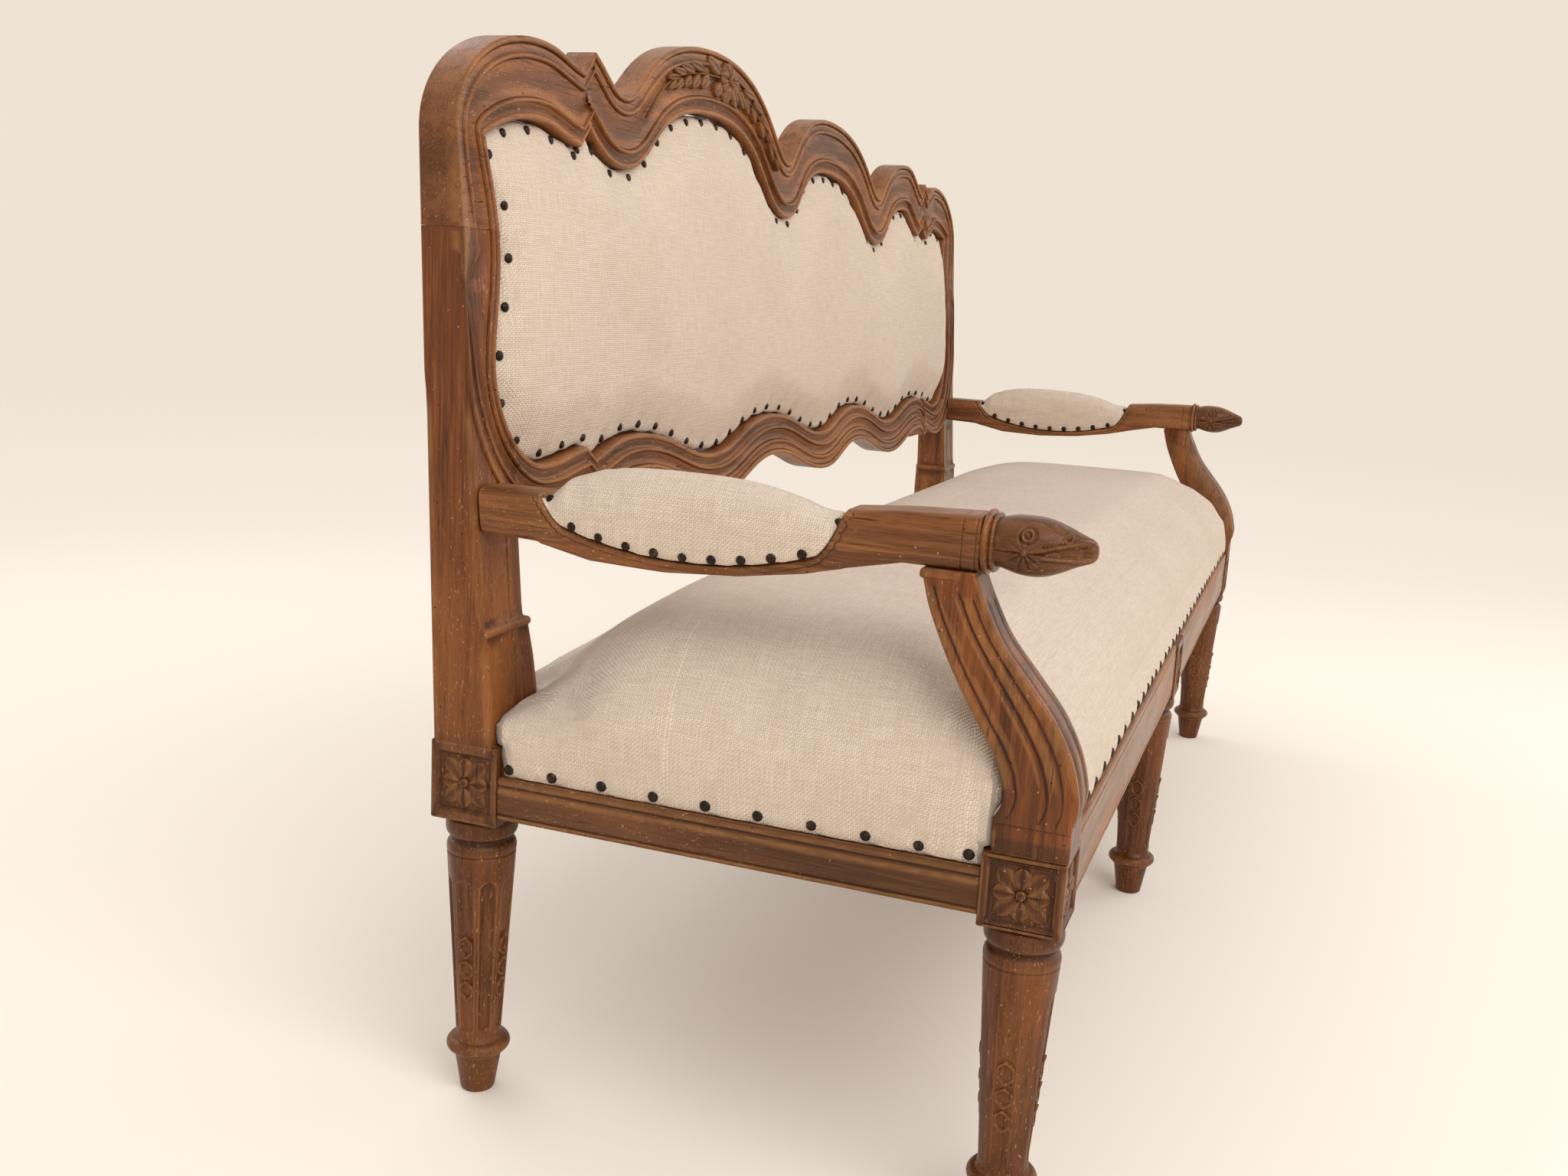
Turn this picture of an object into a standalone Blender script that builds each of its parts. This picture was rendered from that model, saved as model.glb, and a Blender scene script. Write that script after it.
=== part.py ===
"""Settee with a scalloped moulded back, turned and fluted legs, open arms and linen upholstery.

Metres, +Z up. X runs along the seat, the sitter faces -Y, and the origin is on the floor under the
centre of the whole piece.
"""

import math

import bmesh
import bpy
from mathutils import Vector

# Driving sizes
LENGTH = 1.829
FRAME_DEPTH = 0.626
LEG_HEIGHT = 0.300
BLOCK_SIDE = 0.074
FRONT_BLOCK_HEIGHT = 0.068
BACK_BLOCK_HEIGHT = 0.081
BACK_FOOT_RISE = 0.257
BACK_HEIGHT = 0.562
CLEAR = 0.0003
OVERRUN = 0.010

BACK_FOOT = LEG_HEIGHT + BACK_FOOT_RISE
CREST_TOP = BACK_FOOT + BACK_HEIGHT

# Lean of the back: the front and rear planes rise from the seat at their own slopes
BACK_START = LEG_HEIGHT + BACK_BLOCK_HEIGHT
BACK_FRONT_INSET = 0.067
BACK_REAR_INSET = 0.002
FRONT_LEAN = 0.081
REAR_LEAN = 0.038

# Arm support, whose belly stands in front of the block
SUPPORT_BELLY = 0.003

HALF_LENGTH = LENGTH / 2
REAR_REACH = REAR_LEAN * (CREST_TOP - BACK_START) - BACK_REAR_INSET
FRAME_SHIFT = (SUPPORT_BELLY - REAR_REACH) / 2
FRAME_FRONT = FRAME_SHIFT - FRAME_DEPTH / 2
FRAME_REAR = FRAME_SHIFT + FRAME_DEPTH / 2
BLOCK_CENTRE_X = HALF_LENGTH - BLOCK_SIDE / 2
FRONT_BLOCK_Y = FRAME_FRONT + BLOCK_SIDE / 2
REAR_BLOCK_Y = FRAME_REAR - BLOCK_SIDE / 2

# Turned leg
LEG_SIDES = 24
FLUTES = 8
FLUTE_DEPTH = 0.0045
LEG_INTO_BLOCK = 0.006
LEG_TOP_RADIUS = 0.0350
# Each row: height as a share of the leg, radius as a share of the top radius, flute depth share
LEG_PROFILE_SHARES = (
    (0.000, 0.47, 0), (0.012, 0.51, 0), (0.138, 0.68, 0), (0.146, 0.80, 0), (0.168, 0.92, 0),
    (0.190, 0.80, 0), (0.204, 0.66, 0), (0.226, 0.66, 0), (0.250, 0.67, 1), (0.760, 0.94, 1),
    (0.800, 0.96, 0), (0.880, 1.01, 0), (0.908, 1.00, 0), (0.922, 0.84, 0), (0.940, 0.82, 0),
    (0.950, 0.97, 0), (0.970, 1.02, 0), (0.988, 0.97, 0), (1.000, 0.90, 0),
)

# Carved block: a sunk square that holds a flower
PANEL_MARGIN = 0.010
PANEL_DEPTH = 0.003
FLOWER_PETALS = 8
FLOWER_RADIUS = 0.0235
FLOWER_WAIST_SHARE = 0.36
FLOWER_BOSS_RADIUS = 0.0055
FLOWER_RISE = 0.0022
FLOWER_BOSS_RISE = 0.0028
FLOWER_SINK = 0.001

# Seat rails
RAIL_THICKNESS = 0.036
RAIL_INSET = 0.0025
RAIL_LIFT = 0.009
SIDE_SHOW_HEIGHT = 0.052
FRONT_SHOW_HEIGHT = 0.080
RAIL_HEIGHT = 0.095
RAIL_BOTTOM = LEG_HEIGHT + RAIL_LIFT
SIDE_SHOW_TOP = LEG_HEIGHT + SIDE_SHOW_HEIGHT
FRONT_SHOW_TOP = LEG_HEIGHT + FRONT_SHOW_HEIGHT
RAIL_TOP = LEG_HEIGHT + RAIL_HEIGHT
REBATE = 0.008
RAIL_BEAD_DROP = 0.008
RAIL_BEAD_DEPTH = 0.0015
RAIL_BEAD_WIDTH = 0.003
TENON_THICKNESS = 0.010
TENON_HEIGHT = 0.030
TENON_LENGTH = 0.022
TENON_LIFT = 0.006
TENON_ROOT = 0.004

# Joints of the posts, arms and back
POST_TENON_WIDTH = 0.030
LOWER_TENON_SHARE = 0.1068
SUPPORT_TENON_SIDE = 0.020
SUPPORT_TENON_LENGTH = 0.015
ARM_TENON_LIFT = 0.024
ARM_TENON_HEIGHT = 0.024

# Inside the seat frame
BRACE_WIDTH = 0.030
BRACE_HEIGHT = 0.065
BRACE_PLACE_SHARE = 0.481
CORNER_BLOCK_SIDE = 0.085
CORNER_BLOCK_HEIGHT = 0.028
CORNER_BLOCK_DROP = 0.054
WEBBING_THICKNESS = 0.003
WEBBING_INSET = 0.020

# Back posts
PEDESTAL_BOTTOM_WIDTH = 0.098
PEDESTAL_TOP_WIDTH = 0.083
PEDESTAL_HEIGHT = 0.198
PEDESTAL_TOP = LEG_HEIGHT + PEDESTAL_HEIGHT
POST_BAND_HEIGHT = 0.010
POST_BAND_PROUD = 0.002
POST_WIDTH = 0.077
POST_SETBACK = 0.002
POST_SHAFT_SHARE = 0.166
POST_NECK_SHARE = 0.237
POST_NECK_WIDTH = 0.058
POST_TIP_SHARE = 0.317
POST_TIP_WIDTH = 0.048
POST_SIDE_INSET = 0.0006

# Moulded frame of the back
STILE_FACE_SHARE = 0.0996
CREST_FACE_SHARE = 0.1388
LOWER_FACE_SHARE = 0.0996
STILE_SWELL_WIDTH_SHARE = 0.0356
STILE_FACE = STILE_FACE_SHARE * BACK_HEIGHT
CREST_FACE = CREST_FACE_SHARE * BACK_HEIGHT
LOWER_FACE = LOWER_FACE_SHARE * BACK_HEIGHT
STILE_SWELL = STILE_SWELL_WIDTH_SHARE * BACK_HEIGHT
LOWER_THICKNESS = 0.036
STILE_SWELL_SHARE = 0.539
STILE_SWELL_REACH_SHARE = 0.231
LEAN_SHARE = 0.55
STILE_JOINT_SHARE = 0.557
STILE_JOINT = BACK_FOOT + STILE_JOINT_SHARE * BACK_HEIGHT
RAIL_JOINT_INSET = 0.083
# Each row: distance from the outer edge as a share of the face, depth below the face in metres
BEAD_DEPTH = 0.0010
BAND_DEPTH = 0.0032
QUIRK_DEPTH = 0.0045
FIELD_DEPTH = 0.0075
COVE_DEPTH = 0.0070
LIP_DEPTH = 0.0055
CLOTH_DEPTH = 0.0150
ARRIS = 0.002
FACE_SHARES = (
    (0.025, 0.0), (0.065, 0.0), (0.085, QUIRK_DEPTH), (0.195, BAND_DEPTH), (0.212, BEAD_DEPTH),
    (0.250, BEAD_DEPTH), (0.275, QUIRK_DEPTH), (0.490, FIELD_DEPTH), (0.705, QUIRK_DEPTH),
    (0.725, BEAD_DEPTH), (0.762, BEAD_DEPTH), (0.785, COVE_DEPTH), (0.915, COVE_DEPTH),
    (0.935, LIP_DEPTH), (0.980, LIP_DEPTH),
)

# Back upholstery
BACK_PAD_CROWN = 0.020
PAD_FLATNESS = 8
BACK_COVER_THICKNESS = 0.004
BACK_COVER_SINK = 0.002
PAD_EDGE = 0.0012
PANEL_CLEAR = 0.0006
PANEL_STEP = 0.0015
LEDGE_LENGTH = 0.150
LEDGE_SLANT = 0.018
LEDGE_LOW_SHARE = 0.0125
LEDGE_HIGH_SHARE = 0.1014

# Arms
ARM_OVER_LEG = 0.274
ARM_LOW = LEG_HEIGHT + ARM_OVER_LEG
ARM_RISE = 0.082
ARM_SEAT_SHARE = 0.415
ARM_WIDTH = 0.052
ARM_INSET = 0.003
ARM_CORE_WIDTH = 0.036
ARM_PAD_WIDTH = 0.060
ARM_PAD_HEIGHT = 0.098
PAD_FULLNESS = 2.5
ARM_CORE_HEIGHT = 0.048
PAD_SKIN = 0.004
HEAD_LENGTH = 0.086
COLLAR_SETBACK = 0.0985
ARM_COLLAR_Y = FRAME_FRONT + COLLAR_SETBACK
MOUTH_OPEN = 0.006
MOUTH_LENGTH = 0.040

# Arm supports
SUPPORT_FOOT_WIDTH = 0.060
SUPPORT_TOP_WIDTH = 0.044
SUPPORT_INSET = 0.003
SUPPORT_TOP = ARM_LOW + ARM_SEAT_SHARE * ARM_RISE - 2 * CLEAR
SUPPORT_GROOVE = 0.0025

# Seat upholstery
SEAT_CROWN = 0.118
SEAT_SHOULDER_HEIGHT = 0.090
SEAT_SKIN = 0.014
SEAT_SKIN_ROLL = 0.014
SEAT_END_ROLL = 0.130
SEAT_FRONT_ROLL = 0.135
SEAT_BACK_ROLL = 0.230
SEAT_SLACK_START = 0.090
SEAT_SLACK_REACH = 0.380
SEAT_SLACK_DEPTH = 0.190
SEAT_INSET = 0.0035
NOTCH_CLEAR = 0.0005
SEAT_COLUMNS = 27
SEAT_ROWS = 13


def front_plane(height):
    """Y of the front plane of the back at a height."""
    return FRAME_REAR - BACK_FRONT_INSET + FRONT_LEAN * (height - BACK_START)


def rear_plane(height):
    """Y of the rear plane of the back at a height."""
    return FRAME_REAR - BACK_REAR_INSET + REAR_LEAN * (height - BACK_START)


def clear_scene():
    """Remove whatever the scene holds."""
    for old in list(bpy.data.objects):
        bpy.data.objects.remove(old, do_unlink=True)


def finish(name, colour, roughness, metallic=0.0):
    """A Principled material with one colour."""
    material = bpy.data.materials.new(name)
    material.use_nodes = True
    shader = material.node_tree.nodes["Principled BSDF"]
    shader.inputs["Base Color"].default_value = (*colour, 1.0)
    shader.inputs["Roughness"].default_value = roughness
    shader.inputs["Metallic"].default_value = metallic
    return material


def new_object(name, points, faces, material=None):
    """A closed mesh object whose faces point outwards."""
    mesh = bpy.data.meshes.new(name)
    mesh.from_pydata([tuple(p) for p in points], [], faces)
    form = bmesh.new()
    form.from_mesh(mesh)
    bmesh.ops.recalc_face_normals(form, faces=form.faces)
    form.to_mesh(mesh)
    form.free()
    mesh.shade_smooth()
    mesh.set_sharp_from_angle(angle=math.radians(35))
    made = bpy.data.objects.new(name, mesh)
    bpy.context.scene.collection.objects.link(made)
    if material:
        mesh.materials.append(material)
    return made


def loft(name, rings, material=None, ring_path=False):
    """Skin equal rings of points, capped at both ends, or closed on itself."""
    count = len(rings[0])
    points = [p for ring in rings for p in ring]
    faces = []
    steps = len(rings) if ring_path else len(rings) - 1
    for i in range(steps):
        low = i * count
        high = (i + 1) % len(rings) * count
        for j in range(count):
            k = (j + 1) % count
            faces.append((low + j, low + k, high + k, high + j))
    if not ring_path:
        faces.append(tuple(reversed(range(count))))
        faces.append(tuple(range(len(points) - count, len(points))))
    return new_object(name, points, faces, material)


def box(name, low, high, material=None):
    """An upright box between two corners."""
    rings = []
    for z in (low[2], high[2]):
        corners = ((low[0], low[1]), (high[0], low[1]), (high[0], high[1]), (low[0], high[1]))
        rings.append([(x, y, z) for x, y in corners])
    return loft(name, rings, material)


def prism(name, outline, low, high, material=None):
    """An outline in X and Y raised between two heights."""
    return loft(name, [[(x, y, z) for x, y in outline] for z in (low, high)], material)


def helper(thing):
    """Keep a cutter or a joined shape out of the model."""
    thing.hide_render = True
    thing.display_type = "WIRE"
    return thing


def combine(target, other, operation):
    """Boolean with a helper shape."""
    modifier = target.modifiers.new(other.name, "BOOLEAN")
    modifier.operation = operation
    modifier.solver = "EXACT"
    modifier.object = helper(other)
    return target


def add(target, other):
    """Join a shape to the target."""
    return combine(target, other, "UNION")


def cut(target, other):
    """Cut a shape from the target."""
    return combine(target, other, "DIFFERENCE")


def mortise_and_tenon(male, female, low, high):
    """A tenon box on one piece and its clear mortise in the other."""
    add(male, box(f"{male.name}_tenon_in_{female.name}", low, high))
    grown_low = [v - CLEAR for v in low]
    grown_high = [v + CLEAR for v in high]
    cut(female, box(f"{female.name}_mortise_for_{male.name}", grown_low, grown_high))


def bezier(start, first, second, end, steps):
    """Points along a cubic curve with its slope, without the first point."""
    made = []
    for i in range(1, steps + 1):
        t = i / steps
        s = 1 - t
        point = [
            s**3 * a + 3 * s * s * t * b + 3 * s * t * t * c + t**3 * d
            for a, b, c, d in zip(start, first, second, end)
        ]
        run = [
            s * s * (b - a) + 2 * s * t * (c - b) + t * t * (d - c)
            for a, b, c, d in zip(start, first, second, end)
        ]
        made.append((point[0], point[1], math.atan2(run[1], run[0])))
    return made


# Outline of the back, outer edge. X is a share of the half length and the height a share of the
# rise from the lowest scallop to the top of the crest.
CREST_CORNER_LEFT_SHARES = ((-1.000, 0.708), (-0.822, 0.895))
CREST_BREAK_LEFT_SHARES = ((-0.720, 0.865), (-0.693, 0.906))
CREST_WAVE_SHARES = (
    (-0.618, 0.843), (-0.328, 1.000), (-0.052, 0.806), (0.153, 0.945), (0.437, 0.778), (0.629, 0.899),
)
CREST_BREAK_RIGHT_SHARES = ((0.739, 0.820), (0.762, 0.859), (0.783, 0.820))
CREST_CORNER_RIGHT_SHARES = ((0.847, 0.860), (1.000, 0.690))
FOOT_CORNER_LEFT_SHARES = ((-1.000, 0.335), (-0.842, 0.052))
FOOT_BREAK_LEFT_SHARES = ((-0.741, 0.071), (-0.722, 0.045))
FOOT_WAVE_SHARES = (
    (-0.612, 0.080), (-0.361, 0.009), (-0.137, 0.077), (0.109, 0.007), (0.286, 0.064), (0.503, 0.000),
    (0.705, 0.055),
)
FOOT_BREAK_RIGHT_SHARES = ((0.748, 0.025), (0.763, 0.046))
FOOT_CORNER_RIGHT_SHARES = ((0.842, 0.021), (1.000, 0.318))
CREST_LOBE_SHARE = 0.75
CREST_DIP_SHARE = 0.20
FOOT_WAVE_EASE_SHARE = 0.42
ROUND_SHARE = 0.55
BREAK_EASE_SHARE = 0.45
CORNER_STEPS = 7
WAVE_STEPS = 6
FOOT_WAVE_STEPS = 5
BREAK_STEPS = 3
STILE_STEPS = 6


def place(share):
    """A share pair as X and height."""
    return (share[0] * HALF_LENGTH, BACK_FOOT + share[1] * (CREST_TOP - BACK_FOOT))


def ease(start, end, start_share, end_share, steps):
    """A level-ended wave between two turning points."""
    run = end[0] - start[0]
    first = (start[0] + run * start_share, start[1])
    second = (end[0] - run * end_share, end[1])
    return bezier(start, first, second, end, steps)


def corner(start, end, upright_first, steps):
    """A quarter round between an upright and a level edge."""
    run = end[0] - start[0]
    rise = end[1] - start[1]
    if upright_first:
        first = (start[0], start[1] + rise * ROUND_SHARE)
        second = (end[0] - run * ROUND_SHARE, end[1])
    else:
        first = (start[0] + run * ROUND_SHARE, start[1])
        second = (end[0], end[1] - rise * ROUND_SHARE)
    return bezier(start, first, second, end, steps)


def slope_out(start, end, steps):
    """A curve that leaves a level lobe and runs steeply into a break."""
    run = end[0] - start[0]
    rise = end[1] - start[1]
    first = (start[0] + run * BREAK_EASE_SHARE, start[1])
    second = (end[0] - run * BREAK_EASE_SHARE, end[1] - rise * BREAK_EASE_SHARE)
    return bezier(start, first, second, end, steps)


def slope_in(start, end, steps):
    """A curve that leaves a break steeply and runs into a level turning point."""
    run = end[0] - start[0]
    rise = end[1] - start[1]
    first = (start[0] + run * BREAK_EASE_SHARE, start[1] + rise * BREAK_EASE_SHARE)
    second = (end[0] - run * BREAK_EASE_SHARE, end[1])
    return bezier(start, first, second, end, steps)


def wave(shares, first_share, second_share, steps):
    """The run of half waves through the turning points, lobes and dips eased by their own share."""
    made = []
    turns = [place(share) for share in shares]
    for start, end in zip(turns, turns[1:]):
        rising = end[1] > start[1]
        shares_here = (first_share, second_share) if rising else (second_share, first_share)
        made += ease(start, end, *shares_here, steps)
    return made


def lean(run):
    """Lean of the inward direction from upright on a stretch that slopes."""
    return LEAN_SHARE * math.atan(math.tan(run)) if abs(math.cos(run)) > CLEAR else 0.0


def crest_stations():
    """Outer edge of the crest from the left stile to the right one, with the inward lean."""
    low_left, lobe_left = (place(s) for s in CREST_CORNER_LEFT_SHARES)
    valley, tooth = (place(s) for s in CREST_BREAK_LEFT_SHARES)
    far_valley, far_tooth, far_slit = (place(s) for s in CREST_BREAK_RIGHT_SHARES)
    lobe_right, low_right = (place(s) for s in CREST_CORNER_RIGHT_SHARES)
    turns = [place(s) for s in CREST_WAVE_SHARES]
    made = [(*low_left, math.pi / 2)]
    made += [(x, z, a) for x, z, a in corner(low_left, lobe_left, True, CORNER_STEPS)]
    made += [(x, z, lean(a)) for x, z, a in slope_out(lobe_left, valley, BREAK_STEPS)]
    last_lean = made[-1][2]
    made.append((*tooth, last_lean))
    made += [(x, z, lean(a)) for x, z, a in slope_in(tooth, turns[0], BREAK_STEPS)]
    lobes = wave(CREST_WAVE_SHARES, CREST_DIP_SHARE, CREST_LOBE_SHARE, WAVE_STEPS)
    made += [(x, z, lean(a)) for x, z, a in lobes]
    made += [(x, z, lean(a)) for x, z, a in slope_out(turns[-1], far_valley, BREAK_STEPS + 1)]
    made.append((*far_tooth, 0.0))
    made.append((*far_slit, 0.0))
    made += [(x, z, lean(a)) for x, z, a in slope_in(far_slit, lobe_right, BREAK_STEPS)]
    made += [(x, z, a) for x, z, a in corner(lobe_right, low_right, False, CORNER_STEPS)]
    return made


def foot_stations():
    """Outer edge of the lower rail from the left stile to the right one, with the inward lean."""
    low_left, lobe_left = (place(s) for s in FOOT_CORNER_LEFT_SHARES)
    peak, slit = (place(s) for s in FOOT_BREAK_LEFT_SHARES)
    far_valley, far_tooth = (place(s) for s in FOOT_BREAK_RIGHT_SHARES)
    lobe_right, low_right = (place(s) for s in FOOT_CORNER_RIGHT_SHARES)
    turns = [place(s) for s in FOOT_WAVE_SHARES]
    made = [(*low_left, -math.pi / 2)]
    made += corner(low_left, lobe_left, True, CORNER_STEPS)
    made += [(x, z, lean(a)) for x, z, a in slope_out(lobe_left, peak, BREAK_STEPS)]
    made.append((*slit, 0.0))
    made += [(x, z, lean(a)) for x, z, a in slope_in(slit, turns[0], BREAK_STEPS)]
    scallops = wave(FOOT_WAVE_SHARES, FOOT_WAVE_EASE_SHARE, FOOT_WAVE_EASE_SHARE, FOOT_WAVE_STEPS)
    made += [(x, z, lean(a)) for x, z, a in scallops]
    made += [(x, z, lean(a)) for x, z, a in slope_out(turns[-1], far_valley, BREAK_STEPS + 1)]
    made.append((*far_tooth, 0.0))
    made += [(x, z, lean(a)) for x, z, a in slope_in(far_tooth, lobe_right, BREAK_STEPS + 1)]
    made += corner(lobe_right, low_right, False, CORNER_STEPS)
    return made


def stile_width(height):
    """Face width of a stile, which swells towards the middle of the panel."""
    reach = ((height - BACK_FOOT) / BACK_HEIGHT - STILE_SWELL_SHARE) / STILE_SWELL_REACH_SHARE
    swell = STILE_SWELL * math.cos(math.pi / 2 * reach) ** 2 if abs(reach) < 1 else 0.0
    return STILE_FACE + swell


def stile_stations(side, low, high):
    """Stations up a stile between two heights, as (outer, inward, width)."""
    made = []
    for i in range(1, STILE_STEPS):
        z = low + (high - low) * i / STILE_STEPS
        made.append(((side * HALF_LENGTH, z), (-side, 0.0), stile_width(z)))
    return made


def frame_edges():
    """Stations of (outer edge, inward direction, face width) in four runs round the back.

    The left and right runs go up the stiles, the crest and foot runs go from left to right.
    """
    crest = []
    for x, z, angle in crest_stations():
        inward = (math.sin(angle), -math.cos(angle))
        width = CREST_FACE + (stile_width(z) - CREST_FACE) * inward[0] ** 2
        crest.append(((x, z), inward, width))
    foot = []
    for x, z, angle in foot_stations():
        inward = (-math.sin(angle), math.cos(angle))
        width = LOWER_FACE + (stile_width(z) - LOWER_FACE) * inward[0] ** 2
        foot.append(((x, z), inward, width))
    left = stile_stations(-1, foot[0][0][1], crest[0][0][1])
    right = stile_stations(1, foot[-1][0][1], crest[-1][0][1])
    return left, crest, right, foot


def frame_stations():
    """The four runs as one closed run, clockwise."""
    left, crest, right, foot = frame_edges()
    return left + crest + right[::-1] + foot[::-1]


def on_face(station, distance, depth):
    """World point at a distance from the outer edge and a depth below the front plane."""
    (x, z), inward, _ = station
    x += inward[0] * distance
    z += inward[1] * distance
    return (x, front_plane(z) + depth, z)


def on_rear(station, distance, depth=0.0):
    """World point on the frame's rear face, which is nearer the front along the lower rail."""
    x, front, z = on_face(station, distance, 0.0)
    rear = rear_plane(z)
    inward = station[1]
    if inward[1] > 0:
        thin = front + LOWER_THICKNESS
        rear = thin + (rear - thin) * inward[0] ** 2
    return (x, rear - depth, z)


def moulded_sections(stations):
    """Sections of the moulded frame at the given stations."""
    rings = []
    for station in stations:
        width = station[2]
        ring = [on_rear(station, 0.0), on_face(station, 0.0, ARRIS)]
        ring += [on_face(station, width * share, depth) for share, depth in FACE_SHARES]
        ring.append(on_face(station, width, CLOTH_DEPTH))
        ring.append(on_rear(station, width))
        rings.append(ring)
    return rings


def moulded_ring():
    """The whole moulded frame of the back as one closed ring, from which posts and crest are cut."""
    return loft("moulded_ring", moulded_sections(frame_stations()), ring_path=True)


def cut_region(name, regions):
    """A copy of the moulded ring with the given X and Z regions taken away."""
    ring = bpy.data.objects["moulded_ring"]
    piece = bpy.data.objects.new(name, ring.data.copy())
    bpy.context.scene.collection.objects.link(piece)
    low_y = front_plane(BACK_START) - OVERRUN
    high_y = rear_plane(CREST_TOP) + OVERRUN
    for index, (low_x, low_z, high_x, high_z) in enumerate(regions):
        cutter = box(f"{name}_cutter_{index}", (low_x, low_y, low_z), (high_x, high_y, high_z))
        cut(piece, cutter)
    return piece


def turned_leg(name):
    """The turned and fluted leg, from the floor to inside its block."""
    rings = []
    for height, radius, flute in LEG_PROFILE_SHARES:
        ring = []
        for i in range(LEG_SIDES):
            in_flute = i % (LEG_SIDES // FLUTES) == 0
            r = radius * LEG_TOP_RADIUS - (FLUTE_DEPTH * flute if in_flute else 0.0)
            angle = math.tau * i / LEG_SIDES
            ring.append((r * math.cos(angle), r * math.sin(angle), height * LEG_HEIGHT))
        rings.append(ring)
    rings.append([(x, y, LEG_HEIGHT + LEG_INTO_BLOCK) for x, y, _ in rings[-1]])
    return loft(name, rings)


def flower(name, centre, outward):
    """Eight-petalled flower with a boss, standing on a vertical panel."""
    side = Vector((-outward[1], outward[0], 0.0))
    out = Vector((*outward, 0.0))
    up = Vector((0.0, 0.0, 1.0))
    base = Vector(centre)
    points = []
    for depth, grow in ((-FLOWER_SINK, 1.0), (FLOWER_RISE * FLOWER_WAIST_SHARE, 1.0)):
        for i in range(2 * FLOWER_PETALS):
            reach = FLOWER_RADIUS * (1.0 if i % 2 == 0 else FLOWER_WAIST_SHARE) * grow
            angle = math.pi * i / FLOWER_PETALS
            points.append(base + out * depth + (side * math.cos(angle) + up * math.sin(angle)) * reach)
    count = 2 * FLOWER_PETALS
    faces = [tuple(range(count))]
    for i in range(count):
        k = (i + 1) % count
        faces.append((i, k, count + k, count + i))
    for i in range(count):
        angle = math.pi * i / FLOWER_PETALS
        ring = FLOWER_BOSS_RADIUS * (side * math.cos(angle) + up * math.sin(angle))
        points.append(base + out * FLOWER_RISE + ring)
        k = (i + 1) % count
        faces.append((count + i, count + k, 2 * count + k, 2 * count + i))
    points.append(base + out * FLOWER_BOSS_RISE)
    faces += [(2 * count + i, 2 * count + (i + 1) % count, 3 * count) for i in range(count)]
    return new_object(name, points, faces)


def carved_block(name, centre, height, faces_out, material):
    """Square block with a sunk panel and a flower on each outward face."""
    half = BLOCK_SIDE / 2
    x, y = centre
    block = box(name, (x - half, y - half, LEG_HEIGHT), (x + half, y + half, LEG_HEIGHT + height), material)
    middle = LEG_HEIGHT + height / 2
    reach = half - PANEL_MARGIN
    for index, (dx, dy) in enumerate(faces_out):
        low = [x - reach, y - reach, middle - reach]
        high = [x + reach, y + reach, middle + reach]
        axis = 0 if dx else 1
        sign = dx + dy
        face = centre[axis] + sign * half
        low[axis] = min(face - sign * PANEL_DEPTH, face + sign * OVERRUN)
        high[axis] = max(face - sign * PANEL_DEPTH, face + sign * OVERRUN)
        cut(block, box(f"{name}_panel_{index}", low, high))
        seat = [x, y, middle]
        seat[axis] = face - sign * PANEL_DEPTH
        add(block, flower(f"{name}_flower_{index}", seat, (dx, dy)))
    return block


def leg_with_block(name, centre, height, faces_out, material):
    """One timber: turned leg and the carved block over it."""
    block = carved_block(name, centre, height, faces_out, material)
    leg = turned_leg(f"{name}_turning")
    leg.location = (centre[0], centre[1], 0.0)
    return add(block, leg)


def post_body(name, side, grow=0.0):
    """Plain lower part of a back post: flared pedestal, band and square shaft."""
    levels = (
        (BACK_START - OVERRUN, PEDESTAL_BOTTOM_WIDTH, 0.0),
        (PEDESTAL_TOP - POST_BAND_HEIGHT, PEDESTAL_TOP_WIDTH, 0.0),
        (PEDESTAL_TOP - POST_BAND_HEIGHT + CLEAR, PEDESTAL_TOP_WIDTH, POST_BAND_PROUD),
        (PEDESTAL_TOP, PEDESTAL_TOP_WIDTH, POST_BAND_PROUD),
        (PEDESTAL_TOP + POST_BAND_PROUD, POST_WIDTH, -POST_BAND_PROUD),
        (BACK_FOOT + POST_SHAFT_SHARE * BACK_HEIGHT, POST_WIDTH, -POST_BAND_PROUD),
        (BACK_FOOT + POST_NECK_SHARE * BACK_HEIGHT, POST_NECK_WIDTH, -POST_BAND_PROUD),
        (BACK_FOOT + POST_TIP_SHARE * BACK_HEIGHT, POST_TIP_WIDTH, -POST_BAND_PROUD),
    )
    rings = []
    for z, width, proud in levels:
        outer = side * (HALF_LENGTH - POST_SIDE_INSET + grow)
        inner = side * (HALF_LENGTH - width - max(proud, 0.0) - grow)
        front = front_plane(z) - proud - grow
        rear = rear_plane(z) - POST_SIDE_INSET + grow
        rings.append([(outer, front, z), (inner, front, z), (inner, rear, z), (outer, rear, z)])
    return loft(name, rings)


def back_post(name, side, material):
    """One timber from the floor to the crest joint, with its length of moulding."""
    centre = (side * BLOCK_CENTRE_X, REAR_BLOCK_Y)
    post = leg_with_block(name, centre, BACK_BLOCK_HEIGHT, ((side, 0),), material)
    add(post, post_body(f"{name}_body", side))
    edge = side * (HALF_LENGTH + OVERRUN)
    joint = side * (HALF_LENGTH - RAIL_JOINT_INSET)
    far_edge = -edge
    low, high = sorted((joint, far_edge))
    regions = [
        (low, BACK_FOOT - OVERRUN, high, CREST_TOP + OVERRUN),
        (min(edge, joint) - OVERRUN, STILE_JOINT, max(edge, joint) + OVERRUN, CREST_TOP + OVERRUN),
    ]
    return add(post, cut_region(f"{name}_moulding", regions))


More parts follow.
